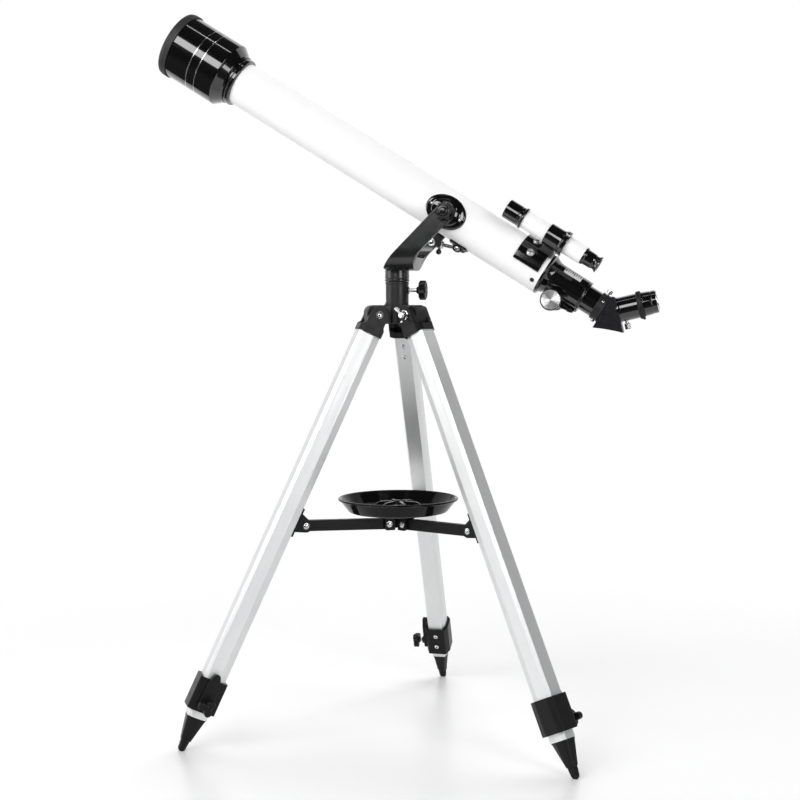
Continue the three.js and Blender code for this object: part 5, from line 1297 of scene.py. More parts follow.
@dataclass
class Spreader:
    """Three folding arms, the centre that joins them and the dish on top."""

    bench: Bench
    layout: Layout
    sides: tuple[str, ...] = ("left", "right", "rear")
    bolt_radius: float = 15.0
    bolt_height: float = 290.0
    plate_top: float = 305.6
    web: float = 299.6
    disc: float = 23.0
    slot: float = 8.8
    rim: float = 82.4
    floor: float = 67.5
    height: float = 19.7

    def build(self) -> None:
        """Builds and places every piece of the spreader."""
        for side in self.sides:
            self.arm(side)
        self.centre()
        self.dish()

    def arm(self, side: str) -> None:
        """Makes one arm: a channel with stiffened edges and an open fork at its inner end.

        Args:
            side: Which leg the arm serves.
        """
        place = self.layout.arm(side)
        outer = self.layout.point(f"{side}_arm_fold") / MM
        axis = self.layout.point("azimuth") / MM
        run = (outer - axis).xy.length - self.bolt_radius
        rise = self.bolt_height - outer.z
        length = math.hypot(run, rise)
        tilt = math.degrees(math.atan2(rise, run))
        end = -length - 3.0
        half = 7.4
        outline = [(7.4, -half, 7.3, 9), (7.4, half, 7.3, 9), (end + 2.5, half, 0.6), (end, half - 2.5, 0.6),
                   (end, 4.3, 0.4), (-length + 2.0, 4.3, 3.8, 5), (-length + 6.2, 0, 3.0, 4),
                   (-length + 2.0, -4.3, 3.8, 5), (end, -4.3, 0.6), (end, -half, 1.2)]
        bar = Stock.slab(outline, -3.95, 3.95, holes=[(0, 0, 2.3)]).ease(0.8, 3, 50,
                                                                         lambda p: p.xy.length > 4)
        panel = [(-13, -4.6, 2), (-13, 4.6, 2), (-length + 13, 4.6, 2), (-length + 13, -4.6, 2)]
        for flip in (0, 180):
            frame_rib = Stock.slab(panel, 3.5, 4.15).ease(0.25, 2, 50)
            bar.add(frame_rib.turn(spin(flip, "X")) if flip else frame_rib)
        bar.turn(UPRIGHT).turn(spin(tilt, "Y"))
        name = f"{side}_spreader_arm"
        self.bench.place(f"{side}_arm_bar", bar, place, PLASTIC, f"{side}_arm", "black_plastic", [name])

    def centre(self) -> None:
        """Makes the centre plate, its three clevises and their bolts."""
        place = self.layout.tripod()
        bottom = self.bolt_height - 8.5
        body = Stock.turned([(3.3, self.web), (self.disc, self.web, 0.6, 2),
                             (self.disc, self.plate_top, 1.0, 3), (3.3, self.plate_top)], 64)
        pins = Stock()
        for side in self.sides:
            turn = spin(self.layout.azimuth_of(side), "Z")
            cheek = [(6.5, bottom, 1.5), (21.5, bottom, 4, 5), (21.5, self.web + 1, 0.5),
                     (6.5, self.web + 1, 0.5)]
            for low in (self.slot / 2, -self.slot / 2 - 4.0):
                body.add(Stock.slab(cheek, low, low + 4.0).ease(0.5, 2, 50).turn(UPRIGHT).turn(turn))
            pin = Stock.bar(2.0, -8.4, 8.4, 20)
            for flip in (0, 180):
                pin.add(FASTENERS.washer(4.3, 1.9, 0.6).move(0, 0, 8.4).turn(spin(flip, "X")))
                pin.add(FASTENERS.pan_head(3.5, 1.6).move(0, 0, 8.9).turn(spin(flip, "X")))
            pins.add(pin.turn(ALONG_Y).move(self.bolt_radius, 0, self.bolt_height).turn(turn))
        collar = Stock.turned([(3.3, bottom + 3), (7.6, bottom + 3, 0.6, 2), (7.6, self.web + 1),
                               (3.3, self.web + 1)], 40)
        self.bench.place("spreader_hub", body.add(collar), place, PLASTIC, "spreader_centre", "black_plastic",
                         ["spider"])
        self.bench.place("spreader_hub_pins", pins, place, STEEL, "spreader_centre", "chrome_steel")

    def dish(self) -> None:
        """Makes the dish with its rolled rim, foot ring, raised hub and ribs, and the screw in its middle."""
        place = self.layout.tripod()
        base = self.plate_top + 0.3
        floor = base + 2.4
        top = base + self.height
        dish = Stock.turned([(3.4, base), (26, base, 0.5), (27, base + 0.8, 0.5), (58, base + 0.8, 0.5),
                             (59, base, 0.5), (self.floor - 0.5, base, 2.5, 4), (80.0, top - 3.4, 0.8, 3),
                             (self.rim, top - 3.0, 0.7, 3), (self.rim, top - 0.9, 0.9, 4),
                             (80.6, top, 1.0, 4), (78.6, top - 0.5, 1.2, 4),
                             (self.floor - 2.2, floor, 4.0, 6), (36.5, floor, 0.6), (35.8, floor + 0.9, 0.6),
                             (34.2, floor + 0.9, 0.6), (33.5, floor, 0.6), (3.4, floor)], 144)
        boss = Stock.turned([(3.4, floor - 0.5), (12.6, floor - 0.5), (11.6, floor + 9, 1.6, 4),
                             (3.4, floor + 9)], 48)
        rib = [(9.0, floor - 0.5), (33.0, floor - 0.5), (32.5, floor + 7.0, 2.0),
               (27.0, floor + 11.6, 4.0, 5), (9.0, floor + 12.8)]
        ribs = Stock.slab(rib, -1.6, 1.6).ease(0.9, 3, 50, lambda p: p.y > floor).turn(UPRIGHT).around(6)
        self.bench.place("dish", dish, place, DISH, "tray", "gloss_black_plastic", ["tray"])
        self.bench.place("dish_ribs", boss.add(ribs), place, GLOSS, "tray", "gloss_black_plastic")
        seat = floor + 9.3
        screw = Stock.turned([(0, base - 12), (2.9, base - 12), (2.9, seat), (8.0, seat, 0.5),
                              (8.0, seat + 1.6, 0.6, 3), (5.4, seat + 4.0, 1.6, 5), (0, seat + 4.5)], 48)
        self.bench.place("dish_screw", screw, place, PLASTIC, "spreader_centre", "black_plastic",
                         ["tray_screw"])


@dataclass
class TripodHead:
    """The hub with its three lugs, the pillar and the lock screw of the azimuth axis."""

    bench: Bench
    layout: Layout
    sides: tuple[str, ...] = ("left", "right", "rear")
    hinge_radius: float = 30.0
    lug_rise: float = 13.4
    lug_reach: float = 15.0
    lug_corner: float = 10.0
    lug_width: float = 19.4
    pillar_radius: float = 15.5
    pillar_rise: float = 31.5

    def build(self) -> None:
        """Builds and places the hub and the lock screw."""
        hinge = self.layout.point("left_leg_fold").z / MM
        top = hinge + self.lug_rise
        self.hub(hinge, top)
        self.lock(top + self.pillar_rise)

    def hub(self, hinge: float, top: float) -> None:
        """Makes the lugs and the pillar, with the pillar's bore open at its top.

        Args:
            hinge: Height of the legs' hinges.
            top: Height of the lugs' tops.
        """
        place = self.layout.tripod()
        pillar_top = top + self.pillar_rise
        r = self.pillar_radius
        body = Stock.turned([(0, hinge - 12), (r, hinge - 12, 1.2, 3), (r, pillar_top - 3.2, 0.4, 2),
                             (r + 0.5, pillar_top - 2.6, 0.3, 2), (r + 0.5, pillar_top, 0.6, 3),
                             (8.85, pillar_top, 0.4, 2), (8.85, pillar_top - 46), (0, pillar_top - 46)], 72)
        for side in self.sides:
            turn = spin(self.layout.azimuth_of(side), "Z")
            reach = self.hinge_radius + self.lug_reach
            lug = [(6, hinge - 12), (reach, hinge - 12, 1.5, 4), (reach, top, self.lug_corner, 9), (6, top)]
            slab = Stock.slab(lug, -self.lug_width / 2, self.lug_width / 2,
                              holes=[(self.hinge_radius, hinge, 3.3)])
            slab.ease(1.0, 3, 50, lambda p: (p.xy - Vector((self.hinge_radius,
                                                            hinge))).length > 5 and p.x > 8)
            body.add(slab.turn(UPRIGHT).turn(turn))
            fillet = Stock.slab([(10, top - 4), (21, top - 4), (17, top + 0.2, 3, 4), (14.6, top + 5.5, 3, 4),
                                 (10, top + 6)], -4, 4)
            body.add(fillet.ease(2.6, 3, 50).turn(UPRIGHT).turn(turn))
        self.bench.place("hub_casting", body, place, FINE_PLASTIC, "tripod_hub", "black_plastic", ["hub"])

    def lock(self, pillar_top: float) -> None:
        """Makes the azimuth lock: a lobed wheel on a bright shaft with its boss.

        Args:
            pillar_top: Height of the pillar's top.
        """
        place = self.layout.tripod() @ shift(0, 0, pillar_top - 11.6) @ ALONG_X
        start = self.pillar_radius + 15.5
        wheel = Stock.knob(13.1, 10, 1.5, start, start + 9.0, 10, 0.8).ease(1.3, 4, 50)
        wheel.inset_faces(lambda f: f.normal.z > 0.99 and f.calc_area() > 60, 2.6, -1.0)
        neck = Stock.turned([(0, start - 4), (4.2, start - 4, 0.5, 2), (6.0, start + 0.6), (0, start + 0.6)],
                            40)
        cap = Stock.turned([(0, start + 7), (5.4, start + 7), (5.0, start + 9.0, 0.8, 3), (0, start + 9.3)],
                           40)
        self.bench.place("lock_wheel", wheel.add(neck, cap), place, PLASTIC, "azimuth_lock", "black_plastic",
                         ["azimuth_lock"])
        shaft = Stock.bar(2.5, 8.8, start - 3.8, 24)
        for i in range(12):
            z = self.pillar_radius + 0.6 + i * 0.8
            shaft.add(Stock.turned([(2.4, z), (2.72, z + 0.4), (2.4, z + 0.8)], 24))
        self.bench.place("lock_shaft", shaft, place, CHROME, "azimuth_lock", "chrome_steel")
        boss = Stock.turned([(2.8, self.pillar_radius - 1), (5.6, self.pillar_radius - 1),
                             (5.0, self.pillar_radius + 0.9, 0.5, 3), (2.8, self.pillar_radius + 0.9)], 36)
        self.bench.place("lock_boss", boss, place, PLASTIC, "tripod_hub", "black_plastic")


# ---------------------------------------------------------------- yoke and slow motion


@dataclass
class Yoke:
    """The slanted fork, its collar and spindle, and the two altitude screws.

    Its frame lies on the altitude axis: X to the rear, Y to the far side, Z up.
    """

    bench: Bench
    layout: Layout
    base: float = -76.4
    back: float = -72.7
    outer: float = 40.0
    inner: float = 34.0
    outer_bend: float = 27.0
    inner_bend: float = 15.0
    web: float = 17.5
    half_width: float = 12.2
    knee: float = -55.4
    collar_radius: float = 16.7
    collar_bottom: float = -90.9
    knob_radius: float = 12.2

    def build(self) -> None:
        """Builds and places the fork, its collar and both screws."""
        self.place = self.layout.yoke()
        self.fork()
        self.collar()
        self.screw("near", spin(90, "X"))
        self.screw("far", ALONG_Y)

    def edge(self, z: float, rear: bool) -> float:
        """Returns where the fork's side outline lies at a height.

        Args:
            z: The height above the altitude axis.
            rear: Whether the edge towards the eyepiece is meant, and not the one towards the dust cap.

        Returns:
            The edge's X.
        """
        corner = self.half_width * math.sqrt(0.5)
        z = min(z, self.half_width)
        if z > (-corner if rear else corner):
            reach = math.sqrt(max(self.half_width**2 - z * z, 0.0))
            return reach if rear else -reach
        if z >= self.knee:
            return z + 2 * corner if rear else z - 2 * corner
        if rear:
            t = (-16.8 + math.sqrt(16.8**2 + 16.8 * (self.knee - z))) / 8.4
            return (self.knee + 2 * corner) * (1 - t) ** 2 - 87.4 * t * (1 - t) - 45.7 * t * t
        t = min((self.knee - z) / 18.0, 1.0)
        rounded = (self.knee - 2 * corner) * (1 - t) ** 2 - 161.32 * t * (1 - t) - 86.7 * t * t
        return rounded + max(self.base + 3 - z, 0.0)

    def fork(self) -> None:
        """Makes the fork: a U bent round the tube, cut to its slanted side outline."""
        stock = Stock()
        top = self.half_width - 0.02
        chains = []
        for half, low, bend in ((self.outer, self.base, self.outer_bend),
                                (self.inner, self.base + self.web, self.inner_bend)):
            points = [(-half, top), (-half, low, bend, 10), (half, low, bend, 10), (half, top)]
            verts = stock.corners(points, closed=False, upright=True)
            chains.append(list({e for v in verts for e in v.link_edges}))
        arms = [e for chain in chains for e in chain if e.calc_length() > 45 and abs(e.verts[0].co.x) > 30]
        bmesh.ops.subdivide_edges(stock.bm, edges=arms, cuts=30)
        webs = [e for e in stock.bm.edges if e.calc_length() > 15]
        bmesh.ops.subdivide_edges(stock.bm, edges=webs, cuts=3)
        bmesh.ops.bridge_loops(stock.bm, edges=stock.bm.edges[:])
        stock.raise_faces(stock.bm.faces[:], (0, 1, 0))

        def follow(p: Vector) -> Vector:
            """Returns a point of the flat blank as it lies on the bent arm.

            Args:
                p: A point of the flat blank.

            Returns:
                The point on the bent arm.
            """
            z = p.z
            low = self.base + self.outer_bend
            if z > low:
                z = low + (top - low) * math.sin((z - low) / (top - low) * math.pi / 2)
            return Vector((self.edge(z, p.y > 0.5), p.x, z))

        stock.carve(follow)
        stock.outward()
        stock.ease(0.9, 3, 48, lambda p: p.z < self.half_width - 4.0)
        self.bench.place("fork", stock, self.place, YOKE_PAINT, "yoke", "yoke_paint", ["yoke"], smooth=40)

    def collar(self) -> None:
        """Makes the collar under the fork with its two grooves, and the spindle."""
        c = self.collar_bottom
        r = self.collar_radius
        stock = Stock.turned([(0, c - 44), (8.5, c - 44, 0.8, 3), (8.5, c), (r - 0.9, c, 0.3, 2),
                              (r, c + 0.9, 0.5, 3), (r, c + 2.6, 0.3, 2), (r - 0.8, c + 3.2, 0.3, 2),
                              (r - 0.8, c + 3.9, 0.3, 2), (r - 0.1, c + 4.5, 0.4, 2),
                              (r - 0.5, c + 11.5, 1.5, 3), (r - 0.2, self.base + 0.8), (0, self.base + 0.8)],
                             80)
        self.bench.place("fork_collar", stock.move(self.back, 0, 0), self.place, YOKE_PAINT, "yoke",
                         "yoke_paint")

    def screw(self, side: str, turn: Matrix) -> None:
        """Makes one altitude screw: a six-lobed knob with a domed crown, on a bright shank.

        Args:
            side: Which arm of the fork: near or far.
            turn: Turns the screw to that side.
        """
        place = self.place @ turn
        body = f"{side}_altitude_knob"
        low = self.outer + 0.3
        knob = Stock.knob(self.knob_radius, 6, 2.3, low + 1.6, low + 10.6, 14, 0.8).ease(1.5, 4, 50)
        skirt = Stock.turned([(0, low), (9.2, low, 0.4, 2), (10.2, low + 2.2), (0, low + 2.2)], 48)
        crown = Stock.turned([(0, low + 10), (8.6, low + 10), (7.6, low + 11.2, 0.8, 3),
                              (5.4, low + 11.6, 0.6, 3), (4.6, low + 12.5, 0.8, 4), (2.4, low + 13.1, 0.8, 4),
                              (0, low + 13.2)], 48)
        self.bench.place(f"{side}_altitude_handle", knob.add(skirt, crown), place, POLISHED, body,
                         "black_plastic", [body])
        shank = Stock.bar(3.5, 30.6, low + 1, 32)
        self.bench.place(f"{side}_altitude_shank", shank, place, CHROME, body, "chrome_steel")


@dataclass
class SlowMotion:
    """The rod under the tube, the block that it slides through and their screws.

    Its frame lies on the anchor pin: X along the rod to the block, Y to the far side, Z down.
    """

    bench: Bench
    layout: Layout
    block_at: float = 43.16
    screw_back: float = 10.4
    pin_head: float = 31.7

    def build(self) -> None:
        """Builds and places the rod, the block and the ball-ended screw."""
        self.place = self.layout.rod()
        self.rod()
        self.block()
        self.screw()

    def rod(self) -> None:
        """Makes the rod with its flattened eye."""
        eye = Stock.slab([(-5, -5, 4.9, 8), (5.1, -3.8, 1.6, 3), (5.1, 3.8, 1.6, 3), (-5, 5, 4.9, 8)], -2.9,
                         2.9, [(0, 0, 2.55)])
        eye.ease(0.7, 3, 50, lambda p: p.xy.length > 3.2).turn(UPRIGHT)
        bar = Stock.turned([(0, 4.5), (2.8, 4.5), (2.8, 30), (2.8, 76.8, 0.4, 2), (2.2, 78.0, 0.3, 2),
                            (0, 78.0)], 32)
        bar.turn(spin(90, "Y"))
        self.bench.place("slow_motion_rod", eye.add(bar), self.place, CHROME, "slow_rod", "chrome_steel",
                         ["slow_rod"])

    def block(self) -> None:
        """Makes the bored block and the ringed screw that holds it to the fork's arm."""
        low, high = self.block_at - 15.0, self.block_at + 7.0
        profile = [(3.15, low), (5.4, low, 0.4, 2), (5.4, low + 1.4, 0.3, 2), (6.2, low + 2.0, 0.5, 3),
                   (6.2, high - 0.8, 0.6, 3), (3.15, high)]
        sleeve = Stock.turned(profile, 40).turn(spin(90, "Y"))
        for half in (-1, 1):
            cheek = Stock.block((low + 2.2, min(half * 3.3, half * 6.4), -5.4),
                                (high - 1.0, max(half * 3.3, half * 6.4), 5.4))
            sleeve.add(cheek.ease(0.9, 3, 50))
        self.bench.place("swivel_barrel", sleeve, self.place, STEEL, "swivel_block", "chrome_steel",
                         ["swivel_block"])
        pin = Stock.bar(2.8, 33.4, 41.0, 28).add(Stock.turned([(0, self.pin_head + 0.1),
                                                               (2.3, self.pin_head + 0.1, 0.3, 2),
                                                               (2.9, self.pin_head + 0.9, 0.3, 2),
                                                               (3.6, self.pin_head + 0.9, 0.3, 2),
                                                               (4.2, self.pin_head, 0.4, 3),
                                                               (5.6, self.pin_head + 0.4, 0.5, 3),
                                                               (5.6, self.pin_head + 1.9),
                                                               (0, self.pin_head + 1.9)], 48))
        pin.move(0, 0, -46.8).turn(ALONG_Y).move(self.block_at, 0, 0)
        self.bench.place("swivel_screw", pin, self.place, CHROME, "swivel_block", "chrome_steel")

    def screw(self) -> None:
        """Makes the ball-ended screw under the block."""
        ball = Stock.ball(3.9).move(0, 0, 10.5)
        shank = Stock.turned([(0, 3.2), (1.6, 3.2), (1.6, 6.4), (2.3, 6.9, 0.3, 2), (2.3, 8.4), (0, 8.4)], 28)
        ball.add(shank).move(self.block_at - self.screw_back, 0, 0)
        self.bench.place("rod_screw_ball", ball, self.place, POLISHED, "rod_screw", "black_plastic",
                         ["rod_screw"])


# ---------------------------------------------------------------- optical tube


def wrapped(stock: Stock, radius: float, turn: float = 0.0) -> Stock:
    """Bends a flat piece round the tube.

    Args:
        stock: Drawn with X along the tube, Y round it and Z out from its surface.
        radius: Radius of the surface that it lies on.
        turn: Degrees from the tube's top, towards the far side, to the piece's middle.

    Returns:
        The piece in the tube's frame.
    """
    return stock.carve(lambda p: Vector(((radius + p.z) * math.cos(p.y / radius + math.radians(turn)),
                                         (radius + p.z) * math.sin(p.y / radius + math.radians(turn)), p.x)))


def patch(length: float, width: float, low: float, high: float, edge: float = 0.6) -> Stock:
    """Makes a rounded plate that is divided finely enough to be wrapped round the tube.

    Args:
        length: Size along the tube.
        width: Size round the tube.
        low: Height of its underside.
        high: Height of its top.
        edge: Radius of its edges.

    Returns:
        The plate, flat.
    """
    stock = Stock.block((-length / 2, -width / 2, low), (length / 2, width / 2, high)).ease(edge, 3, 50)
    steps = max(int(width / 2.5), 4)
    for i in range(1, steps):
        stock.score((0, -width / 2 + width * i / steps, 0), (0, 1, 0))
    return stock


@dataclass
class OpticalTube:
    """The white tube with its side plates and rod bracket, and the objective, shield and cap in front.

    Its frame has Z ahead along the optical axis from the tube's rear end, X up and Y to the far side.
    """

    bench: Bench
    layout: Layout
    length: float = 494.3
    radius: float = 30.0
    wall: float = 1.2
    pivot: float = 152.0
    plate_length: float = 29.0
    plate_height: float = 21.5
    flange: float = 34.0
    cell_front: float = 527.6
    lens_rear: float = 515.6
    shield_rear: float = 503.3
    shield_front: float = 601.3
    shield_radius: float = 44.8
    rings: tuple[float, ...] = (544.3, 557.7)
    cap_rear: float = 592.0
    cap_front: float = 604.0
    cap_radius: float = 46.6
    anchor_station: float = 118.0
    anchor_drop: float = 34.6

    def build(self) -> None:
        """Builds and places the tube and everything that is fixed round it and in front of it."""
        self.place = self.layout.tube()
        self.tube()
        self.side_plates()
        self.anchor()
        self.objective()
        self.shield()
        self.dust_cap()

    def tube(self) -> None:
        """Makes the white tube and the dark screws that hold the focuser in it."""
        inside = self.radius - self.wall
        stock = Stock.turned([(inside, 0), (self.radius, 0, 0.4, 2), (self.radius, 120), (self.radius, 260),
                              (self.radius, 400), (self.radius, self.length, 0.4, 2), (inside, self.length),
                              (inside, 250)], 160)
        self.bench.place("white_tube", stock, self.place, WHITE, "optical_tube", "white_paint", ["main_tube"])
        screws = Stock()
        head = Stock.turned([(0, self.radius - 0.4), (3.1, self.radius - 0.4),
                             (2.9, self.radius + 0.9, 0.6, 3), (1.1, self.radius + 1.2, 0.2, 2),
                             (0.9, self.radius + 0.6), (0, self.radius + 0.6)], 28)
        screws.add(head.turn(spin(90, "Y")).move(0, 0, 7.6).around(3, -122.0))
        self.bench.place("tube_screws", screws, self.place, FINE_PLASTIC, "optical_tube", "black_plastic")

    def side_plates(self) -> None:
        """Makes the oval side plates that the fork's arms bear on, with their small screws."""
        ring = [(0, 3.3), (5, 3.3), (10, 3.3), (14, 3.3), (17, 3.25), (19.6, 3.0, 0.6, 3),
                (21.0, 2.3, 0.6, 3), (23, 2.4), (25.2, 2.9, 0.8, 3), (27.4, 2.5, 1.0, 4), (28.9, 1.1, 0.8, 3),
                (29, 0.3), (24, 0.3), (18, 0.3), (12, 0.3), (6, 0.3), (0, 0.3)]
        for side, sign in (("near", -1), ("far", 1)):
            plate = Stock.turned(ring, 120)

            def oval(p: Vector) -> Vector:
                """Returns a point of the round plate stretched and laid round the tube.

                Args:
                    p: A point of the flat, round plate.

                Returns:
                    The point laid round the tube.
                """
                rise = p.y * self.plate_height / self.plate_length
                lean = math.asin(rise / self.radius)
                return Vector(((self.radius + p.z) * math.sin(lean), (self.radius + p.z) * math.cos(lean),
                               p.x))

            plate.carve(oval)
            boss = Stock.turned([(3.8, 26), (15.6, 26), (15.6, 31.4), (13.6, 32.6, 1.0, 3),
                                 (13.0, 33.7, 0.5, 3), (3.8, 33.7)], 72).turn(ALONG_Y)
            plate.add(boss).move(0, 0, self.pivot)
            screws = Stock()
            for offset in (-22.0, 22.0):
                head = FASTENERS.pan_head(1.8, 0.9).move(0, 0, self.radius + 2.2).turn(ALONG_Y)
                screws.add(head.move(0, 0, self.pivot + offset))
            for stock in (plate, screws):
                if sign < 0:
                    stock.flip("Y")
                stock.outward()
            name = f"{side}_trunnion_plate"
            self.bench.place(f"{side}_side_plate", plate, self.place, GLOSS, "optical_tube",
                             "gloss_black_plastic", [name])
            self.bench.place(f"{side}_side_plate_screws", screws, self.place, STEEL, "optical_tube",
                             "chrome_steel")

    def anchor(self) -> None:
        """Makes the bracket under the tube and the pin that carries the rod's eye."""
        stock = wrapped(patch(26, 25, 0.3, 2.8), self.radius, 180.0)
        ear = Stock.slab([(-11, 31.0), (11, 31.0), (5, 36.0, 2, 3), (5, self.anchor_drop + 5, 4.9, 7),
                          (-5, self.anchor_drop + 5, 4.9, 7), (-5, 36.0, 2, 3)], -3, 3,
                         [(0, self.anchor_drop, 2.0)])
        ear.ease(0.6, 3, 50, lambda p: abs(p.x) > 3 or p.y > self.anchor_drop + 3)
        ear.carve(lambda p: Vector((-p.y, p.z, p.x)))
        ear.outward()
        stock.add(ear).move(0, 0, self.anchor_station)
        self.bench.place("rod_bracket", stock, self.place, PLASTIC, "optical_tube", "black_plastic",
                         ["rod_anchor"])
        pin = Stock.bar(2.2, -4.0, 51.0, 24)
        for z, turn in ((50.1, 0), (-2.6, 180)):
            pin.add(FASTENERS.pan_head(3.6, 1.8).turn(spin(turn, "X")).move(0, 0, z))
        pin.turn(ALONG_Y).move(-self.anchor_drop, 0, self.anchor_station)
        self.bench.place("rod_pin", pin, self.place, STEEL, "optical_tube", "chrome_steel")

    def objective(self) -> None:
        """Makes the lens cell with its flange and retaining ring, and the lens."""
        rear = self.length + 0.3
        cell = Stock.turned([(27, rear - 18), (28.5, rear - 18), (28.5, rear),
                             (self.flange - 0.8, rear, 0.4, 2), (self.flange, rear + 1.2, 0.5, 3),
                             (self.flange, rear + 4.6, 0.3, 2), (self.flange - 0.7, rear + 5.1, 0.3, 2),
                             (self.flange - 0.7, rear + 5.6, 0.3, 2), (self.flange, rear + 6.1, 0.3, 2),
                             (self.flange, rear + 8.4, 0.5, 2), (32.6, rear + 8.4),
                             (32.6, self.cell_front, 0.5, 2), (30.3, self.cell_front),
                             (30.3, self.lens_rear - 0.3), (27, self.lens_rear - 0.3)], 128)
        self.bench.place("lens_cell", cell, self.place, GLOSS, "optical_tube", "gloss_black_plastic",
                         ["objective_cell"])
        front = self.cell_front - 3.0
        lens = Stock.turned([(0, self.lens_rear - 0.8), (14, self.lens_rear - 0.65),
                             (24, self.lens_rear - 0.3), (30, self.lens_rear), (30, front),
                             (27, front + 0.45), (22, front + 1.1), (15, front + 1.8), (8, front + 2.2),
                             (0, front + 2.4)], 96)
        self.bench.place("objective_glass", lens, self.place, LENS, "optical_tube", "optical_glass",
                         ["objective_lens"])
        inner = Stock.turned([(29.9, front + 0.8), (30.2, front + 0.8), (30.2, self.cell_front - 0.1, 0.1),
                              (28.6, self.cell_front - 0.1, 0.3, 2), (28.2, front + 1.2)], 96)
        self.bench.place("lens_ring", inner, self.place, DULL_BLACK_AND_RECESS_SHADE, "optical_tube", "gloss_black_plastic")

    def shield(self) -> None:
        """Makes the dew shield with its rounded shoulder, and the two bright rings round it."""
        r, rear, front = self.shield_radius, self.shield_rear, self.shield_front
        neck = self.flange + 1.3
        stock = Stock.turned([(32.9, rear), (neck, rear, 0.4, 2), (neck + 0.5, rear + 2.2, 0.8, 3),
                              (r - 1.5, rear + 12.2, 1.4, 4), (r, rear + 13.8, 0.9, 3), (r, rear + 30),
                              (r, front - 30), (r, front, 0.4, 2), (r - 2, front, 0.4, 2),
                              (r - 2, rear + 18, 3, 4), (32.9, rear + 4)], 160)
        self.bench.place("shield_shell", stock, self.place, GLOSS, "optical_tube", "gloss_black_plastic",
                         ["dew_shield"])
        bright = Stock()
        for station in self.rings:
            bright.add(Stock.turned([(r - 0.5, station - 0.42), (r + 0.12, station - 0.42, 0.1),
                                     (r + 0.12, station + 0.42, 0.1), (r - 0.5, station + 0.42)], 160))
        self.bench.place("shield_rings", bright, self.place, TURNED, "optical_tube", "chrome_steel")

    def dust_cap(self) -> None:
        """Makes the push-on cap with its grooved skirt and sunk face."""
        r, rear, front = self.cap_radius, self.cap_rear, self.cap_front
        bore = self.shield_radius + 0.3
        stock = Stock.turned([(0, front - 1.0), (30, front - 1.0), (36.6, front - 1.0, 0.3, 2),
                              (37.6, front, 0.4, 2), (r - 1.4, front, 1.6, 5),
                              (r - 0.35, front - 3.4, 0.4, 2), (r - 0.35, front - 4.2, 0.3, 2),
                              (r, front - 4.8, 0.3, 2), (r, rear, 0.5, 3), (bore, rear), (bore, front - 2.4),
                              (20, front - 2.4), (0, front - 2.4)], 160)
        self.bench.place("front_cap", stock, self.place, CAP_GREY, "dust_cap", "cap_plastic", ["dust_cap"])


# ---------------------------------------------------------------- focuser


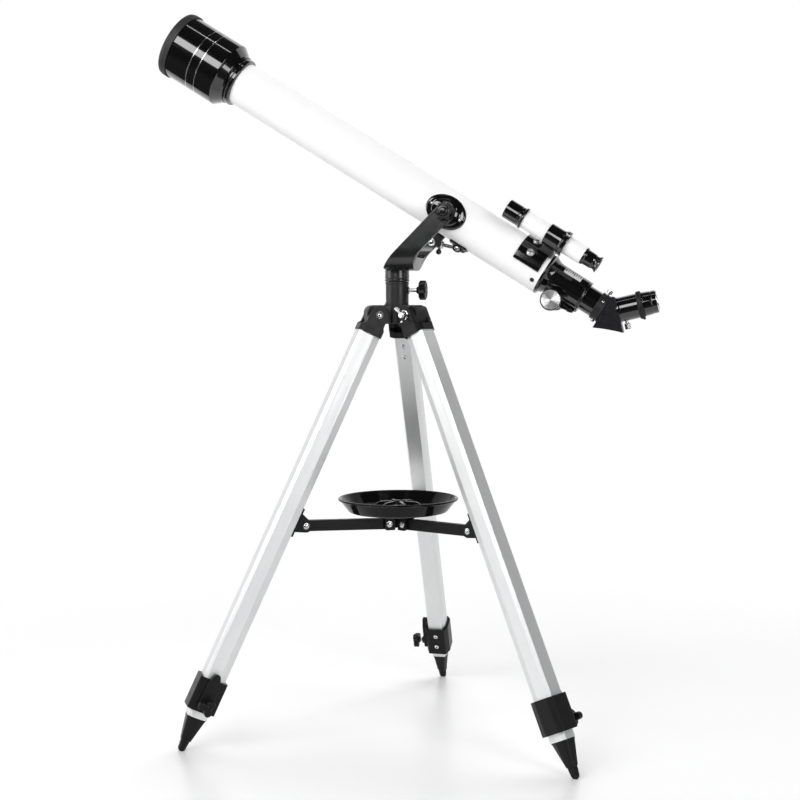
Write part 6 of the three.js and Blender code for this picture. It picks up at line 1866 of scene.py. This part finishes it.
@dataclass
class Focuser:
    """The rack and pinion focuser: its casting, drawtube, shaft with two knobs, and the collar's screws.

    It is drawn in the tube's frame; its stations are below zero.
    """

    bench: Bench
    layout: Layout
    flange: float = 30.4
    radius: float = 22.0
    rear: float = -62.0
    bore: float = 17.85
    tube_radius: float = 17.5
    collar_front: float = -80.0
    collar_rear: float = -92.0
    collar_radius: float = 19.3
    pinion: float = -28.0
    drop: float = 24.75
    module: float = 0.8
    half_rack: float = 3.5
    rack_root: float = 18.9
    channel: float = 21.45
    knob_radius: float = 14.3
    knob_start: float = 21.0
    knob_depth: float = 13.0

    def build(self) -> None:
        """Builds and places every piece of the focuser."""
        self.place = self.layout.tube()
        self.casting()
        self.scale()
        self.bracket()
        self.drawtube()
        self.shaft()
        self.screws()

    def casting(self) -> None:
        """Makes the flanged casting, open below for the rack, and the pinion's housing."""
        flare = [(self.flange, -0.3, 0.4, 2), (self.flange, -3.2, 0.8, 3), (self.flange - 3.4, -4.2, 1.2, 3),
                 (24.6, -7.6, 4, 5), (self.radius + 0.4, -13.0, 5, 5)]
        body = Stock.arc([(self.bore, 18), (28.5, 18, 0.6, 2), (28.5, -0.3), *flare, (self.radius, -30),
                          (self.radius, self.rear + 3.4, 0.3, 2),
                          (self.radius - 0.6, self.rear + 2.9, 0.2, 2),
                          (self.radius - 0.6, self.rear + 2.3, 0.2, 2),
                          (self.radius, self.rear + 1.8, 0.3, 2), (self.radius, self.rear, 0.7, 3),
                          (self.bore, self.rear, 0.4, 2)], 193.0, 334.0, 96)
        body.add(Stock.arc([(self.channel, -0.3), *flare, (self.channel, -13.0)], 166.0, 28.0, 10))
        side = [(-12, -16, 0.5), (-12, -22, 2, 3), (-18.5, -34, 3.5, 5), (-36.5, -34, 3.5, 5),
                (-45, -21.5, 2, 3), (-45, -16, 0.5)]
        for low in (-13.0, 4.0):
            cheek = Stock.slab(side, low, low + 9.0, [(self.pinion, -self.drop, 2.9)])
            body.add(self.across(cheek.ease(0.9, 3, 50, lambda p: abs(p.z) > 5 and p.y < -17)))
        floor = Stock.slab([(-17.6, -31.2), (-18.6, -34, 2, 3), (-36.4, -34, 2, 3), (-38.2, -31.2)], -4.1,
                           4.1)
        rail = Stock.block((self.rear + 0.2, -7.4, -23.0), (-44.5, 7.4, -self.channel - 0.1)).ease(0.5, 2, 50)
        body.add(self.across(floor), Stock.carve(rail, lambda p: Vector((p.z, p.y, p.x))))
        body.outward()
        self.bench.place("focuser_casting", body, self.place, GLOSS, "optical_tube", "gloss_black_plastic",
                         ["focuser_body"])

    def across(self, stock: Stock) -> Stock:
        """Stands a drawing of station and height, extruded across the tube, in the tube's frame.

        Args:
            stock: The extruded drawing.

        Returns:
            The same piece, standing.
        """
        stock.carve(lambda p: Vector((p.y, p.z, p.x)))
        stock.outward()
        return stock

    def scale(self) -> None:
        """Makes the bright scale strip with plain divisions on the casting's upper near side."""
        middle, width, length = -34.0, 12.6, 26.0
        strip = wrapped(patch(length, width, 0.02, 0.22, 0.05), self.radius, -33.0).move(0, 0, middle)
        self.bench.place("scale_strip", strip, self.place, LABEL, "optical_tube", "chrome_steel")
        marks = Stock()
        for i in range(8):
            depth = 8.2 if i % 4 == 3 else 6.4
            marks.add(patch(1.25, depth, 0.2, 0.32, 0.02).move(-length / 2 + 2.6 + i * 3.0, 5.6 - depth / 2,
                                                               0))
        marks = wrapped(marks, self.radius, -33.0).move(0, 0, middle)
        self.bench.place("scale_divisions", marks, self.place, DULL_BLACK_AND_RECESS_SHADE, "optical_tube", "black_plastic")

    def bracket(self) -> None:
        """Makes the sprung plate behind the pinion housing and its tension screw."""
        plate = [(-39.5, -24.5, 0.6), (-41.2, -28.2, 1.0, 3), (-58.5, -26.4, 1.2, 3), (-58.5, -23.4, 0.6),
                 (-44.0, -23.4, 0.6)]
        stock = self.across(Stock.slab(plate, -8.0, 8.0).ease(0.5, 2, 50))
        self.bench.place("tension_plate", stock, self.place, PLASTIC, "optical_tube", "black_plastic")
        screws = Stock()
        for station, height, size in ((-42.8, 28.0, 2.6), (-53.0, 26.9, 2.4)):
            head = FASTENERS.pan_head(size, 1.6).turn(spin(-90, "Y")).move(-height, 0, station)
            screws.add(head)
        self.bench.place("tension_screws", screws, self.place, STEEL, "optical_tube", "chrome_steel")

    def drawtube(self) -> None:
        """Makes the drawtube with its toothed rack, and the matt collar at its rear end."""
        r, inside = self.tube_radius, self.tube_radius - 1.6
        tube = Stock.turned([(inside, 56), (r, 56, 0.5, 2), (r, 0), (r, -60), (r, self.collar_front - 0.5),
                             (inside, self.collar_front - 0.5)], 96)
        self.bench.place("draw_barrel", tube, self.place, GLOSS, "drawtube", "gloss_black_plastic",
                         ["drawtube"])
        c, front, rear = self.collar_radius, self.collar_front, self.collar_rear
        collar = Stock.turned([(inside - 0.2, front), (c - 0.6, front, 0.3, 2), (c, front - 0.7, 0.4, 2),
                               (c, front - 2.2, 0.3, 2), (c - 0.5, front - 2.7, 0.3, 2),
                               (c - 0.5, rear + 2.7, 0.3, 2), (c, rear + 2.2, 0.3, 2),
                               (c, rear + 0.7, 0.4, 2), (c - 0.8, rear, 0.5, 3), (12.6, rear, 0.3, 2),
                               (12.6, rear + 26), (inside - 0.2, rear + 26)], 96)
        self.bench.place("draw_collar", collar, self.place, MATT, "drawtube", "black_plastic")
        pitch = math.pi * self.module
        root, tip = -self.rack_root - 0.25, -(self.rack_root + 2 * self.module + 0.25)
        outline = [(-58.0, -15.8), (-58.0, root)]
        for i in range(-11, 31):
            middle = self.pinion + i * pitch
            outline += [(middle - 0.84, root), (middle - 0.26, tip), (middle + 0.26, tip),
                        (middle + 0.84, root)]
        outline += [(52.0, root), (52.0, -15.8)]
        rack = self.across(Stock.slab(outline, -self.half_rack, self.half_rack))
        self.bench.place("focus_rack", rack, self.place, STEEL, "drawtube", "chrome_steel")

    def shaft(self) -> None:
        """Makes the pinion, the shaft and two black knobs with spun metal faces."""
        place = self.place @ shift(-self.drop, 0, self.pinion) @ ALONG_Y
        end = self.knob_start + self.knob_depth
        r = self.knob_radius
        shaft = Stock.bar(2.5, -self.knob_start - 0.5, self.knob_start + 0.5, 32)
        shaft.add(Stock.knob(5.6, 12, 1.85, -self.half_rack, self.half_rack, 8).turn(spin(15, "Z")))
        self.bench.place("pinion_shaft", shaft, place, STEEL, "focus_shaft", "chrome_steel", ["focus_shaft"])
        grip = Stock.turned([(2.6, self.knob_start), (r - 3.0, self.knob_start, 0.5, 2),
                             (r - 2.4, end - 8.4, 0.6, 2), (r, end - 6.6, 0.8, 3), (r, end - 0.7, 0.6, 3),
                             (r - 1.1, end, 0.3, 2), (r - 1.5, end - 0.6, 0.2, 2), (2.6, end - 0.6)], 96)
        both = grip.copy().turn(spin(180, "X")).add(grip)
        self.bench.place("focus_grips", both, place, GLOSS, "focus_shaft", "gloss_black_plastic")
        face = Stock.turned([(0, end - 0.58), (r - 1.6, end - 0.58), (r - 1.6, end - 0.25, 0.1),
                             (1.4, end - 0.25), (0, end - 0.4)], 96)
        both = face.copy().turn(spin(180, "X")).add(face)
        self.bench.place("focus_faces", both, place, SPUN, "focus_shaft", "chrome_steel")

    def screws(self) -> None:
        """Makes the thumbscrew on top of the collar and the collar's two fixed screws."""
        station = self.collar_front - 6.0
        place = self.place @ shift(0, 0, station) @ spin(90, "Y")
        screw = Stock.turned([(0, 12.7), (1.6, 12.7), (1.6, self.collar_radius + 1.2, 0.2),
                              (3.0, self.collar_radius + 1.5, 0.3, 2), (0, self.collar_radius + 1.5)], 32)
        screw.add(Stock.knob(3.9, 22, 0.3, self.collar_radius + 1.4, self.collar_radius + 6.6, 4).ease(0.3, 2,
                                                                                                       50))
        self.bench.place("collar_thumbscrew", screw, place, STEEL, "draw_screw", "chrome_steel",
                         ["draw_screw"])
        fixed = Stock()
        for turn, low, size in ((-62.0, self.collar_radius - 0.7, 2.2),
                                (180.0, self.collar_radius - 0.7, 2.8)):
            head = FASTENERS.pan_head(size, 1.9 if size < 2.5 else 3.6).move(0, 0, low).turn(spin(90, "Y"))
            fixed.add(head.turn(spin(turn, "Z")).move(0, 0, station))
        self.bench.place("collar_screws", fixed, self.place, STEEL, "drawtube", "chrome_steel")


@dataclass
class Diagonal:
    """The prism housing with its nose, the eyepiece holder and its screw, and the eyepiece.

    The housing is drawn in the tube's frame; the holder and eyepiece in theirs, with Z out to the eye.
    """

    bench: Bench
    layout: Layout
    bend: float = -98.8
    half_width: float = 16.5
    front: float = 6.5
    top: float = 21.0
    bottom: float = 27.5
    exit_face: float = 13.6
    nose: float = 12.25
    holder: float = 16.4
    holder_end: float = 39.0
    ring: float = 18.3
    seat: float = 46.3
    end: float = 65.7
    screw_at: float = 20.5

    def build(self) -> None:
        """Builds and places the housing, the holder, the eyepiece and its screw."""
        self.place = self.layout.tube() @ shift(0, 0, self.bend)
        self.out = self.layout.eyepiece()
        self.housing()
        self.holder_tube()
        self.eyepiece()
        self.screw()

    def housing(self) -> None:
        """Makes the prism housing with rounded edges and a faintly hollow base, and its nose."""
        low = -self.bottom * 0.44
        rear_top = -(self.exit_face - self.top * math.sqrt(0.5)) / math.sqrt(0.5)
        rear_low = -(self.exit_face - low * math.sqrt(0.5)) / math.sqrt(0.5)
        middle = ((self.front + rear_low) / 2, (low - self.bottom) / 2 + 1.5)
        outline = [(self.front, -self.bottom, 0.9, 3), (self.front, self.top, 1.6, 4),
                   (rear_top, self.top, 1.2, 3), (rear_low, low, 0.9, 3), (middle[0], middle[1], 14.0, 8)]
        stock = Stock.slab(outline, -self.half_width, self.half_width)
        stock.ease(1.1, 4, 50, lambda p: abs(p.z) > self.half_width - 0.01)
        stock.carve(lambda p: Vector((p.y, p.z, p.x)))
        stock.outward()
        nose = Stock.turned([(10.65, self.front - 1), (self.nose, self.front - 1), (self.nose, 27.6, 0.5, 2),
                             (10.65, 28.4)], 64)
        self.bench.place("prism_housing", stock.add(nose), self.place, HOUSING, "diagonal",
                         "satin_black_plastic", ["diagonal"])
        self.bench.dress("erecting_prism", self.place, LENS)

    def holder_tube(self) -> None:
        """Makes the holder, its knurled ring and the small grub screw in the ring."""
        h = self.holder
        tube = Stock.turned([(12.6, self.exit_face - 2), (h + 0.4, self.exit_face - 2),
                             (h + 0.4, self.exit_face + 1.2, 0.6, 3), (h, self.exit_face + 2.2, 0.5, 2),
                             (h, 30), (h, self.holder_end + 0.2), (12.6, self.holder_end + 0.2)], 96)
        self.bench.place("eyepiece_holder", tube, self.out, GLOSS, "diagonal", "gloss_black_plastic")
        low, high = self.holder_end, self.holder_end + 7.0
        ring = Stock.turned([(12.6, low + 0.1), (self.ring - 1.2, low + 0.1),
                             (self.ring - 0.2, low + 0.9, 0.4, 2), (self.ring - 0.2, high - 0.9, 0.4, 2),
                             (self.ring - 1.2, high, 0.3, 2), (12.6, high)], 96)
        ribs = Stock.block((self.ring - 0.7, -0.42, low + 1.1),
                           (self.ring + 0.15, 0.42, high - 1.1)).ease(0.16, 2, 50).around(60)
        grub = Stock.turned([(0, self.ring - 1), (1.8, self.ring - 1), (1.6, self.ring + 1.5, 0.4, 2),
                             (0, self.ring + 1.5)], 24)
        grub.turn(spin(90, "Y")).move(0, 0, (low + high) / 2 + 1.5)
        self.bench.place("holder_ring", ring.add(ribs, grub), self.out, MATT, "diagonal",
                         "satin_black_plastic")

    def eyepiece(self) -> None:
        """Makes the eyepiece: bright barrel, black body, bright rim and the eye lens in its recess."""
        s, e = self.seat, self.end
        body = Stock.turned([(9.0, e - 3.4), (10.4, e - 0.9, 0.3, 2), (14.2, e - 1.0),
                             (14.6, e - 1.5, 0.2, 2), (15.05, e - 1.9, 0.2, 2), (15.3, e - 7.0, 0.3, 2),
                             (14.95, e - 7.4, 0.2, 2), (15.0, e - 8.0, 0.2, 2), (15.4, e - 8.4, 0.3, 2),
                             (16.2, s + 0.6, 0.5, 3), (15.6, s), (11.0, s), (11.0, e - 6.0), (9.0, e - 6.0)],
                            96)
        self.bench.place("eyepiece_body", body, self.out, GLOSS, "eyepiece", "gloss_black_plastic",
                         ["eyepiece"])
        barrel = Stock.turned([(10.85, s - 27), (self.nose, s - 27, 0.4, 2), (self.nose, s - 0.1),
                               (10.85, s - 0.1)], 80)
        rim = Stock.turned([(11.4, e - 1.1), (11.6, e - 0.2, 0.3, 2), (14.3, e, 0.4, 3),
                            (14.9, e - 0.6, 0.3, 2), (14.9, e - 1.5, 0.2, 2), (13.0, e - 1.6)], 96)
        self.bench.place("eyepiece_barrel", barrel.add(rim), self.out, TURNED, "eyepiece", "chrome_steel")
        glass = Stock.turned([(0, e - 4.6), (8.9, e - 4.6), (8.9, e - 3.6), (6, e - 2.9), (3, e - 2.6),
                              (0, e - 2.5)], 64)
        self.bench.place("eye_lens", glass, self.out, LENS, "eyepiece", "optical_glass")

    def screw(self) -> None:
        """Makes the bright thumbscrew under the holder."""
        place = self.out @ shift(0, 0, self.screw_at) @ ALONG_X
        low = self.holder + 3.0
        screw = Stock.turned([(0, 12.7), (1.6, 12.7), (1.6, self.holder + 0.4),
                              (2.2, self.holder + 0.9, 0.2, 2), (2.2, low, 0.3, 2), (3.2, low + 0.4),
                              (0, low + 0.4)], 32)
        screw.add(Stock.knob(4.0, 18, 0.45, low + 0.3, low + 8.0, 4).ease(0.35, 2, 50))
        self.bench.place("holder_thumbscrew", screw, place, STEEL, "eyepiece_screw", "chrome_steel",
                         ["eyepiece_screw"])


@dataclass
class Finder:
    """The finder: its bracket on the tube, sleeve with screws, white tube, cell and eyepiece.

    Its frame has Z ahead along its own axis and X away from the main tube.
    """

    bench: Bench
    layout: Layout
    distance: float = 59.0
    tube_radius: float = 12.2
    rear: float = -34.0
    cell_rear: float = 56.5
    front: float = 84.0
    cell_radius: float = 13.1
    lip: float = 14.8
    sleeve_rear: float = -8.0
    sleeve_front: float = 21.5
    rim: float = 17.3
    saddle_rear: float = 5.5
    saddle_front: float = 44.5
    saddle_half: float = 58.0

    def build(self) -> None:
        """Builds and places the bracket, the tube and the eyepiece."""
        self.place = self.layout.finder()
        self.bracket()
        self.bracket_screws()
        self.tube()
        self.eyepiece()

    def bracket(self) -> None:
        """Makes the saddle, the ribbed stem and the sleeve with its flared rim."""
        bore = self.tube_radius + 0.3
        outer = bore + 2.0
        sleeve = Stock.turned([(bore, self.sleeve_rear), (self.rim - 0.5, self.sleeve_rear, 0.4, 2),
                               (self.rim, self.sleeve_rear + 1.2, 0.5, 3),
                               (self.rim, self.sleeve_rear + 5.8, 0.6, 3),
                               (outer + 0.9, self.sleeve_rear + 7.4, 1.2, 4),
                               (outer + 0.2, self.sleeve_rear + 12), (outer, self.sleeve_front, 0.6, 3),
                               (bore, self.sleeve_front, 0.3, 2)], 96)
        around = 2 * math.radians(self.saddle_half) * 30.0
        length = self.saddle_front - self.saddle_rear
        saddle = wrapped(patch(length, around, 0.3, 3.4, 1.0), 30.0).move(-self.distance, 0,
            (self.saddle_front + self.saddle_rear) / 2)
        base, neck = 31.5 - self.distance, -outer + 1.6
        web = Stock.slab([(1.5, base), (23.5, base, 2), (17.0, neck, 6, 5), (1.5, neck, 2)], -8.0, 8.0)
        web.ease(1.2, 3, 50, lambda p: abs(p.z) > 7.9).carve(lambda p: Vector((p.y, p.z, p.x)))
        web.outward()
        ribs = Stock()
        height = (neck - base - 3.2) / 4
        for i in range(4):
            level = base + 2.6 + height * (i + 0.5)
            ribs.add(Stock.block((level - height * 0.28, -8.7, 3.0),
                                 (level + height * 0.28, 8.7, 22.5 - i * 1.6)).ease(0.5, 2, 50))
        self.bench.place("finder_holder", sleeve.add(saddle, web, ribs), self.place, GLOSS, "optical_tube",
                         "gloss_black_plastic", ["finder_bracket"])

    def bracket_screws(self) -> None:
        """Makes the slotted centring screws of the sleeve and the two screws of the saddle; each slot is a
        thin black block on the head, painted shade.
        """
        bright, slot_shades = Stock(), Stock()
        for turn in (-8.0, 112.0, 232.0):
            head = Stock.turned([(0, 13.0), (1.6, 13.0), (1.6, self.rim + 0.2), (3.1, self.rim + 0.4, 0.3, 2),
                                 (3.1, self.rim + 3.0, 0.5, 3), (0, self.rim + 3.2)], 32)
            # A thin black block on the head: painted shade in the slot.
            slot = Stock.block((-2.4, -0.35, self.rim + 2.7), (2.4, 0.35, self.rim + 3.25))
            for stock, part in ((bright, head), (slot_shades, slot)):
                stock.add(part.turn(spin(90, "Y")).turn(spin(turn, "Z")).move(0, 0, self.sleeve_rear + 3.6))
        for lean, station, turn in ((-28.0, 27.6, 20), (8.0, 29.5, 65)):
            head = FASTENERS.pan_head(4.3, 2.6).move(0, 0,
                                                     33.8).add(FASTENERS.washer(5.2, 2.0, 0.7).move(0, 0,
                                                         33.2))
            # A thin black block on the head: painted shade in the slot.
            slot = Stock.block((-3.9, -0.5, 36.1), (3.9, 0.5, 36.55)).turn(spin(turn, "Z"))
            for stock, part in ((bright, head), (slot_shades, slot)):
                stock.add(part.turn(spin(90, "Y")).turn(spin(lean, "Z")).move(-self.distance, 0, station))
        self.bench.place("finder_screws", bright, self.place, SCREWS, "optical_tube", "chrome_steel")
        self.bench.place("finder_screw_painted_slot_shade", slot_shades, self.place, DULL_BLACK_AND_RECESS_SHADE, "optical_tube",
                         "black_plastic")

    def tube(self) -> None:
        """Makes the white finder tube, its black objective cell and the small lens."""
        t = self.tube_radius
        tube = Stock.turned([(t - 1.2, self.rear), (t, self.rear, 0.3, 2), (t, 20), (t, self.cell_rear - 0.2),
                             (t - 1.2, self.cell_rear - 0.2)], 96)
        self.bench.place("finder_barrel", tube, self.place, WHITE, "optical_tube", "white_paint",
                         ["finder_tube"])
        c, f = self.cell_radius, self.front
        cell = Stock.turned([(t - 1.4, self.cell_rear - 6), (t - 1.2, self.cell_rear - 0.1),
                             (self.lip - 0.5, self.cell_rear - 0.1, 0.4, 2),
                             (self.lip, self.cell_rear + 0.8, 0.4, 2),
                             (self.lip, self.cell_rear + 2.4, 0.5, 2), (c, self.cell_rear + 4.4, 0.6, 3),
                             (c, self.cell_rear + 7.0, 0.2), (c - 0.6, self.cell_rear + 7.4, 0.2),
                             (c - 0.6, self.cell_rear + 8.2, 0.2), (c, self.cell_rear + 8.6, 0.2),
                             (c, f - 0.8, 0.3, 2), (c - 0.6, f, 0.3, 2), (c - 1.8, f, 0.3, 2),
                             (c - 1.8, f - 9)], 96)
        self.bench.place("finder_cell", cell, self.place, GLOSS, "optical_tube", "gloss_black_plastic")
        glass = Stock.turned([(0, f - 12), (c - 1.9, f - 11.4), (c - 1.9, f - 9.6), (8, f - 8.6),
                              (4, f - 8.0), (0, f - 7.8)], 64)
        self.bench.place("finder_glass", glass, self.place, LENS, "optical_tube", "optical_glass")

    def eyepiece(self) -> None:
        """Makes the finder's screwed eyepiece with its cupped end."""
        f = self.rear - 0.3
        r = f - 23.4
        body = Stock.turned([(0, f), (11.6, f, 0.3, 2), (11.8, f - 2.0, 0.5, 3), (10.3, f - 3.6, 0.8, 3),
                             (10.0, r + 9.2, 0.5, 3), (9.0, r + 7.0, 0.9, 4), (9.0, r + 4.8, 0.9, 4),
                             (11.4, r + 1.2, 1.0, 4), (11.3, r, 0.5, 3), (9.0, r, 0.3, 2),
                             (5.8, r + 3.2, 0.4, 2), (0, r + 3.2)], 96)
        self.bench.place("finder_ocular", body, self.place, GLOSS, "finder_eyepiece", "gloss_black_plastic",
                         ["finder_eyepiece"])
        glass = Stock.turned([(0, r + 2.9), (5.4, r + 2.9), (4.2, r + 2.2), (2.2, r + 1.8), (0, r + 1.7)], 48)
        self.bench.place("finder_eye_lens", glass, self.place, LENS, "finder_eyepiece", "optical_glass")


# ---------------------------------------------------------------- studio


def seen_directly(tree: bpy.types.NodeTree) -> bpy.types.NodeSocket:
    """Returns 1 for rays from the camera, straight or by a mirror or through glass, and 0 for others.

    Args:
        tree: The material's node tree.

    Returns:
        A socket that gives 1 or 0.
    """
    path = tree.nodes.new("ShaderNodeLightPath")
    total = path.outputs["Is Camera Ray"]
    for name in ("Is Glossy Ray", "Is Transmission Ray"):
        either = tree.nodes.new("ShaderNodeMath")
        either.operation = "MAXIMUM"
        tree.links.new(total, either.inputs[0])
        tree.links.new(path.outputs[name], either.inputs[1])
        total = either.outputs[0]
    return total


@dataclass
class Studio:
    """Camera, lamps, floor and backdrop."""

    layout: Layout
    lens: float = 64.81
    camera_at: tuple[float, float, float] = (411.7, -1918.6, 587.3)
    yaw: float = 12.02
    pitch: float = -3.74
    roll: float = 0.256
    floor_reach: float = 14.0
    fade_from: float = 0.5
    fade_to: float = 1.15
    wall_at: float = 3.0
    half_width: float = 3.2
    ceiling: float = 3.4
    dark_edge: float = -0.8
    sheet_height: float = 0.001

    def build(self) -> None:
        """Builds the whole studio."""
        view = bpy.context.scene.view_settings
        view.view_transform = "Standard"
        self.camera()
        self.lamps()
        self.floor()
        self.room()
        self.world()

    def camera(self) -> None:
        """Adds the camera, level with the tripod's head."""
        data = bpy.data.cameras.new("camera")
        data.lens = self.lens
        data.sensor_width = 36.0
        data.clip_end = 50.0
        camera = bpy.data.objects.new("camera", data)
        bpy.context.scene.collection.objects.link(camera)
        yaw, pitch, roll = (math.radians(a) for a in (self.yaw, self.pitch, self.roll))
        ahead = Vector((-math.sin(yaw) * math.cos(pitch), math.cos(yaw) * math.cos(pitch), math.sin(pitch)))
        right = Vector((math.cos(yaw), math.sin(yaw), 0))
        down = ahead.cross(right)
        side = right * math.cos(roll) + down * math.sin(roll)
        below = down * math.cos(roll) - right * math.sin(roll)
        centre = self.layout.tripod().translation
        camera.matrix_world = axes(centre + Vector(self.camera_at) * MM, side, -below, -ahead)
        bpy.context.scene.camera = camera

    def lamps(self) -> None:
        """Adds the softboxes. Those behind and above only light the object and aren't mirrored in it."""
        along = Vector((-0.846, 0.0, 0.532))
        for name, at, aim, size, watts, mirrored in (
                ("key", (-1.7, -1.95, 2.0), (0, 0, 0.55), (1.3, 1.7), 24, True),
                ("fill", (1.9, -1.9, 0.85), (0, 0, 0.4), (0.9, 1.5), 24, True),
                ("side", (-2.4, -0.85, 0.6), (0, 0, 0.4), (1.2, 1.4), 9.8, True),
                ("window", (-0.5, -2.4, 1.72), (-0.1, 0, 0.8), (1.6, 0.95), 33, True),
                ("strip", (-0.04, -0.35, 2.35), (-0.3, 0, 0.9), (1.3, 0.05), 1.6, True),
                ("front", (0.3, -2.8, 1.05), (0, 0, 0.6), (1.5, 1.4), 10, False),
                ("top", (0.1, 0.9, 2.6), (0, 0, 0.4), (2.2, 1.2), 28, False),
                ("back", (0.4, 2.4, 1.6), (0, 0, 0.6), (2.4, 1.4), 14, False)):
            data = bpy.data.lights.new(name, "AREA")
            data.shape = "RECTANGLE"
            data.size, data.size_y = size
            data.energy = watts
            lamp = bpy.data.objects.new(name, data)
            bpy.context.scene.collection.objects.link(lamp)
            lamp.visible_glossy = mirrored
            away = (Vector(at) - Vector(aim)).normalized()
            across = along if name in ("window", "strip") else Vector((0, 0, 1)).cross(away)
            across = (across - away * across.dot(away)).normalized()
            lamp.matrix_world = axes(Vector(at), across, away.cross(across), away)

    def sheet(self, name: str, corners: Sequence[Sequence[float]]) -> bpy.types.Object:
        """Adds a flat sheet of the studio between four corners, in metres.

        Args:
            name: Name of the sheet.
            corners: Its four corners, in metres.

        Returns:
            The sheet.
        """
        data = bpy.data.meshes.new(name)
        bm = bmesh.new()
        bm.faces.new([bm.verts.new(c) for c in corners])
        bm.to_mesh(data)
        bm.free()
        sheet = bpy.data.objects.new(name, data)
        bpy.context.scene.collection.objects.link(sheet)
        return sheet

    def room(self) -> None:
        """Adds the dark half of the room behind the camera, out of its sight, and two dark sheets on the lit
        floor that are painted shade: one seen in reflections and bounce light, the other only in reflections.
        """
        material = bpy.data.materials.new("dark_room_and_painted_shade")
        material.use_nodes = True
        shader = material.node_tree.nodes["Principled BSDF"]
        shader.inputs["Base Color"].default_value = (0.025, 0.025, 0.027, 1)
        shader.inputs["Roughness"].default_value = 0.9
        w, back, top = self.half_width, -self.wall_at, self.ceiling
        low, edge = self.sheet_height, self.dark_edge
        for name, corners in (
                ("room_wall", [(-w, back, 0), (w, back, 0), (w, back, top), (-w, back, top)]),
                ("room_ceiling", [(-w, back, top), (w, back, top), (w, 2.0, top), (-w, 2.0, top)]),
                ("painted_shade_floor_sheet", [(-w, back, low), (w, back, low), (w, edge, low), (-w, edge, low)]),
                ("painted_reflection_flag", [(-w, edge, low), (-0.95, edge, low), (-0.95, 0.6, low), (-w, 0.6, low)]),
                ("room_side", [(3.0, back, 0), (3.0, 1.2, 0), (3.0, 1.2, top), (3.0, back, top)])):
            sheet = self.sheet(name, corners)
            sheet.data.materials.append(material)
            # The floor sheet and the flag cast no shadow, and the camera sees through them to the lit floor.
            # They only darken reflections, and the floor sheet also darkens bounce light: painted shade.
            sheet.visible_camera = False
            sheet.visible_diffuse = name != "painted_reflection_flag"
            sheet.visible_shadow = name not in ("painted_shade_floor_sheet", "painted_reflection_flag")

    def floor(self) -> None:
        """Adds the pale floor, which runs out into the white backdrop away from the object."""
        material = bpy.data.materials.new("pale_floor")
        material.use_nodes = True
        tree = material.node_tree
        nodes, links = tree.nodes, tree.links
        shader = nodes["Principled BSDF"]
        shader.inputs["Base Color"].default_value = (0.93, 0.93, 0.93, 1)
        shader.inputs["Roughness"].default_value = 0.28
        shader.inputs["Specular IOR Level"].default_value = 0.35
        where = nodes.new("ShaderNodeTexCoord")
        length = nodes.new("ShaderNodeVectorMath")
        length.operation = "LENGTH"
        links.new(where.outputs["Object"], length.inputs[0])
        fade = nodes.new("ShaderNodeMapRange")
        fade.interpolation_type = "SMOOTHSTEP"
        fade.inputs["From Min"].default_value = self.fade_from
        fade.inputs["From Max"].default_value = self.fade_to
        links.new(length.outputs["Value"], fade.inputs["Value"])
        both = nodes.new("ShaderNodeMath")
        both.operation = "MULTIPLY"
        links.new(fade.outputs["Result"], both.inputs[0])
        links.new(seen_directly(tree), both.inputs[1])
        glow = nodes.new("ShaderNodeEmission")
        mix = nodes.new("ShaderNodeMixShader")
        links.new(both.outputs[0], mix.inputs["Fac"])
        links.new(shader.outputs[0], mix.inputs[1])
        links.new(glow.outputs[0], mix.inputs[2])
        links.new(mix.outputs[0], nodes["Material Output"].inputs["Surface"])
        r = self.floor_reach
        floor = self.sheet("floor", [(-r, -r, 0), (r, -r, 0), (r, r, 0), (-r, r, 0)])
        floor.data.materials.append(material)

    def world(self) -> None:
        """Lights the studio evenly and shows white behind the object."""
        world = bpy.data.worlds.new("studio")
        bpy.context.scene.world = world
        world.use_nodes = True
        nodes, links = world.node_tree.nodes, world.node_tree.links
        plain = nodes["Background"]
        plain.inputs["Color"].default_value = (1, 1, 1, 1)
        plain.inputs["Strength"].default_value = 0.6
        white = nodes.new("ShaderNodeBackground")
        white.inputs["Color"].default_value = (1, 1, 1, 1)
        white.inputs["Strength"].default_value = 1.0
        mix = nodes.new("ShaderNodeMixShader")
        links.new(seen_directly(world.node_tree), mix.inputs["Fac"])
        links.new(plain.outputs[0], mix.inputs[1])
        links.new(white.outputs[0], mix.inputs[2])
        links.new(mix.outputs[0], nodes["World Output"].inputs["Surface"])


def main() -> None:
    """Builds the studio and every part, and reports each piece."""
    logging.basicConfig(level=logging.INFO, format="%(name)s %(message)s")
    layout = Layout()
    bench = Bench()
    Studio(layout).build()
    for side in ("left", "right", "rear"):
        Leg(side, bench, layout).build()
    TripodHead(bench, layout).build()
    Spreader(bench, layout).build()
    Yoke(bench, layout).build()
    SlowMotion(bench, layout).build()
    OpticalTube(bench, layout).build()
    Focuser(bench, layout).build()
    Diagonal(bench, layout).build()
    Finder(bench, layout).build()
    LOG.info("%d pieces made", bench.count)


if __name__ == "__main__":
    main()
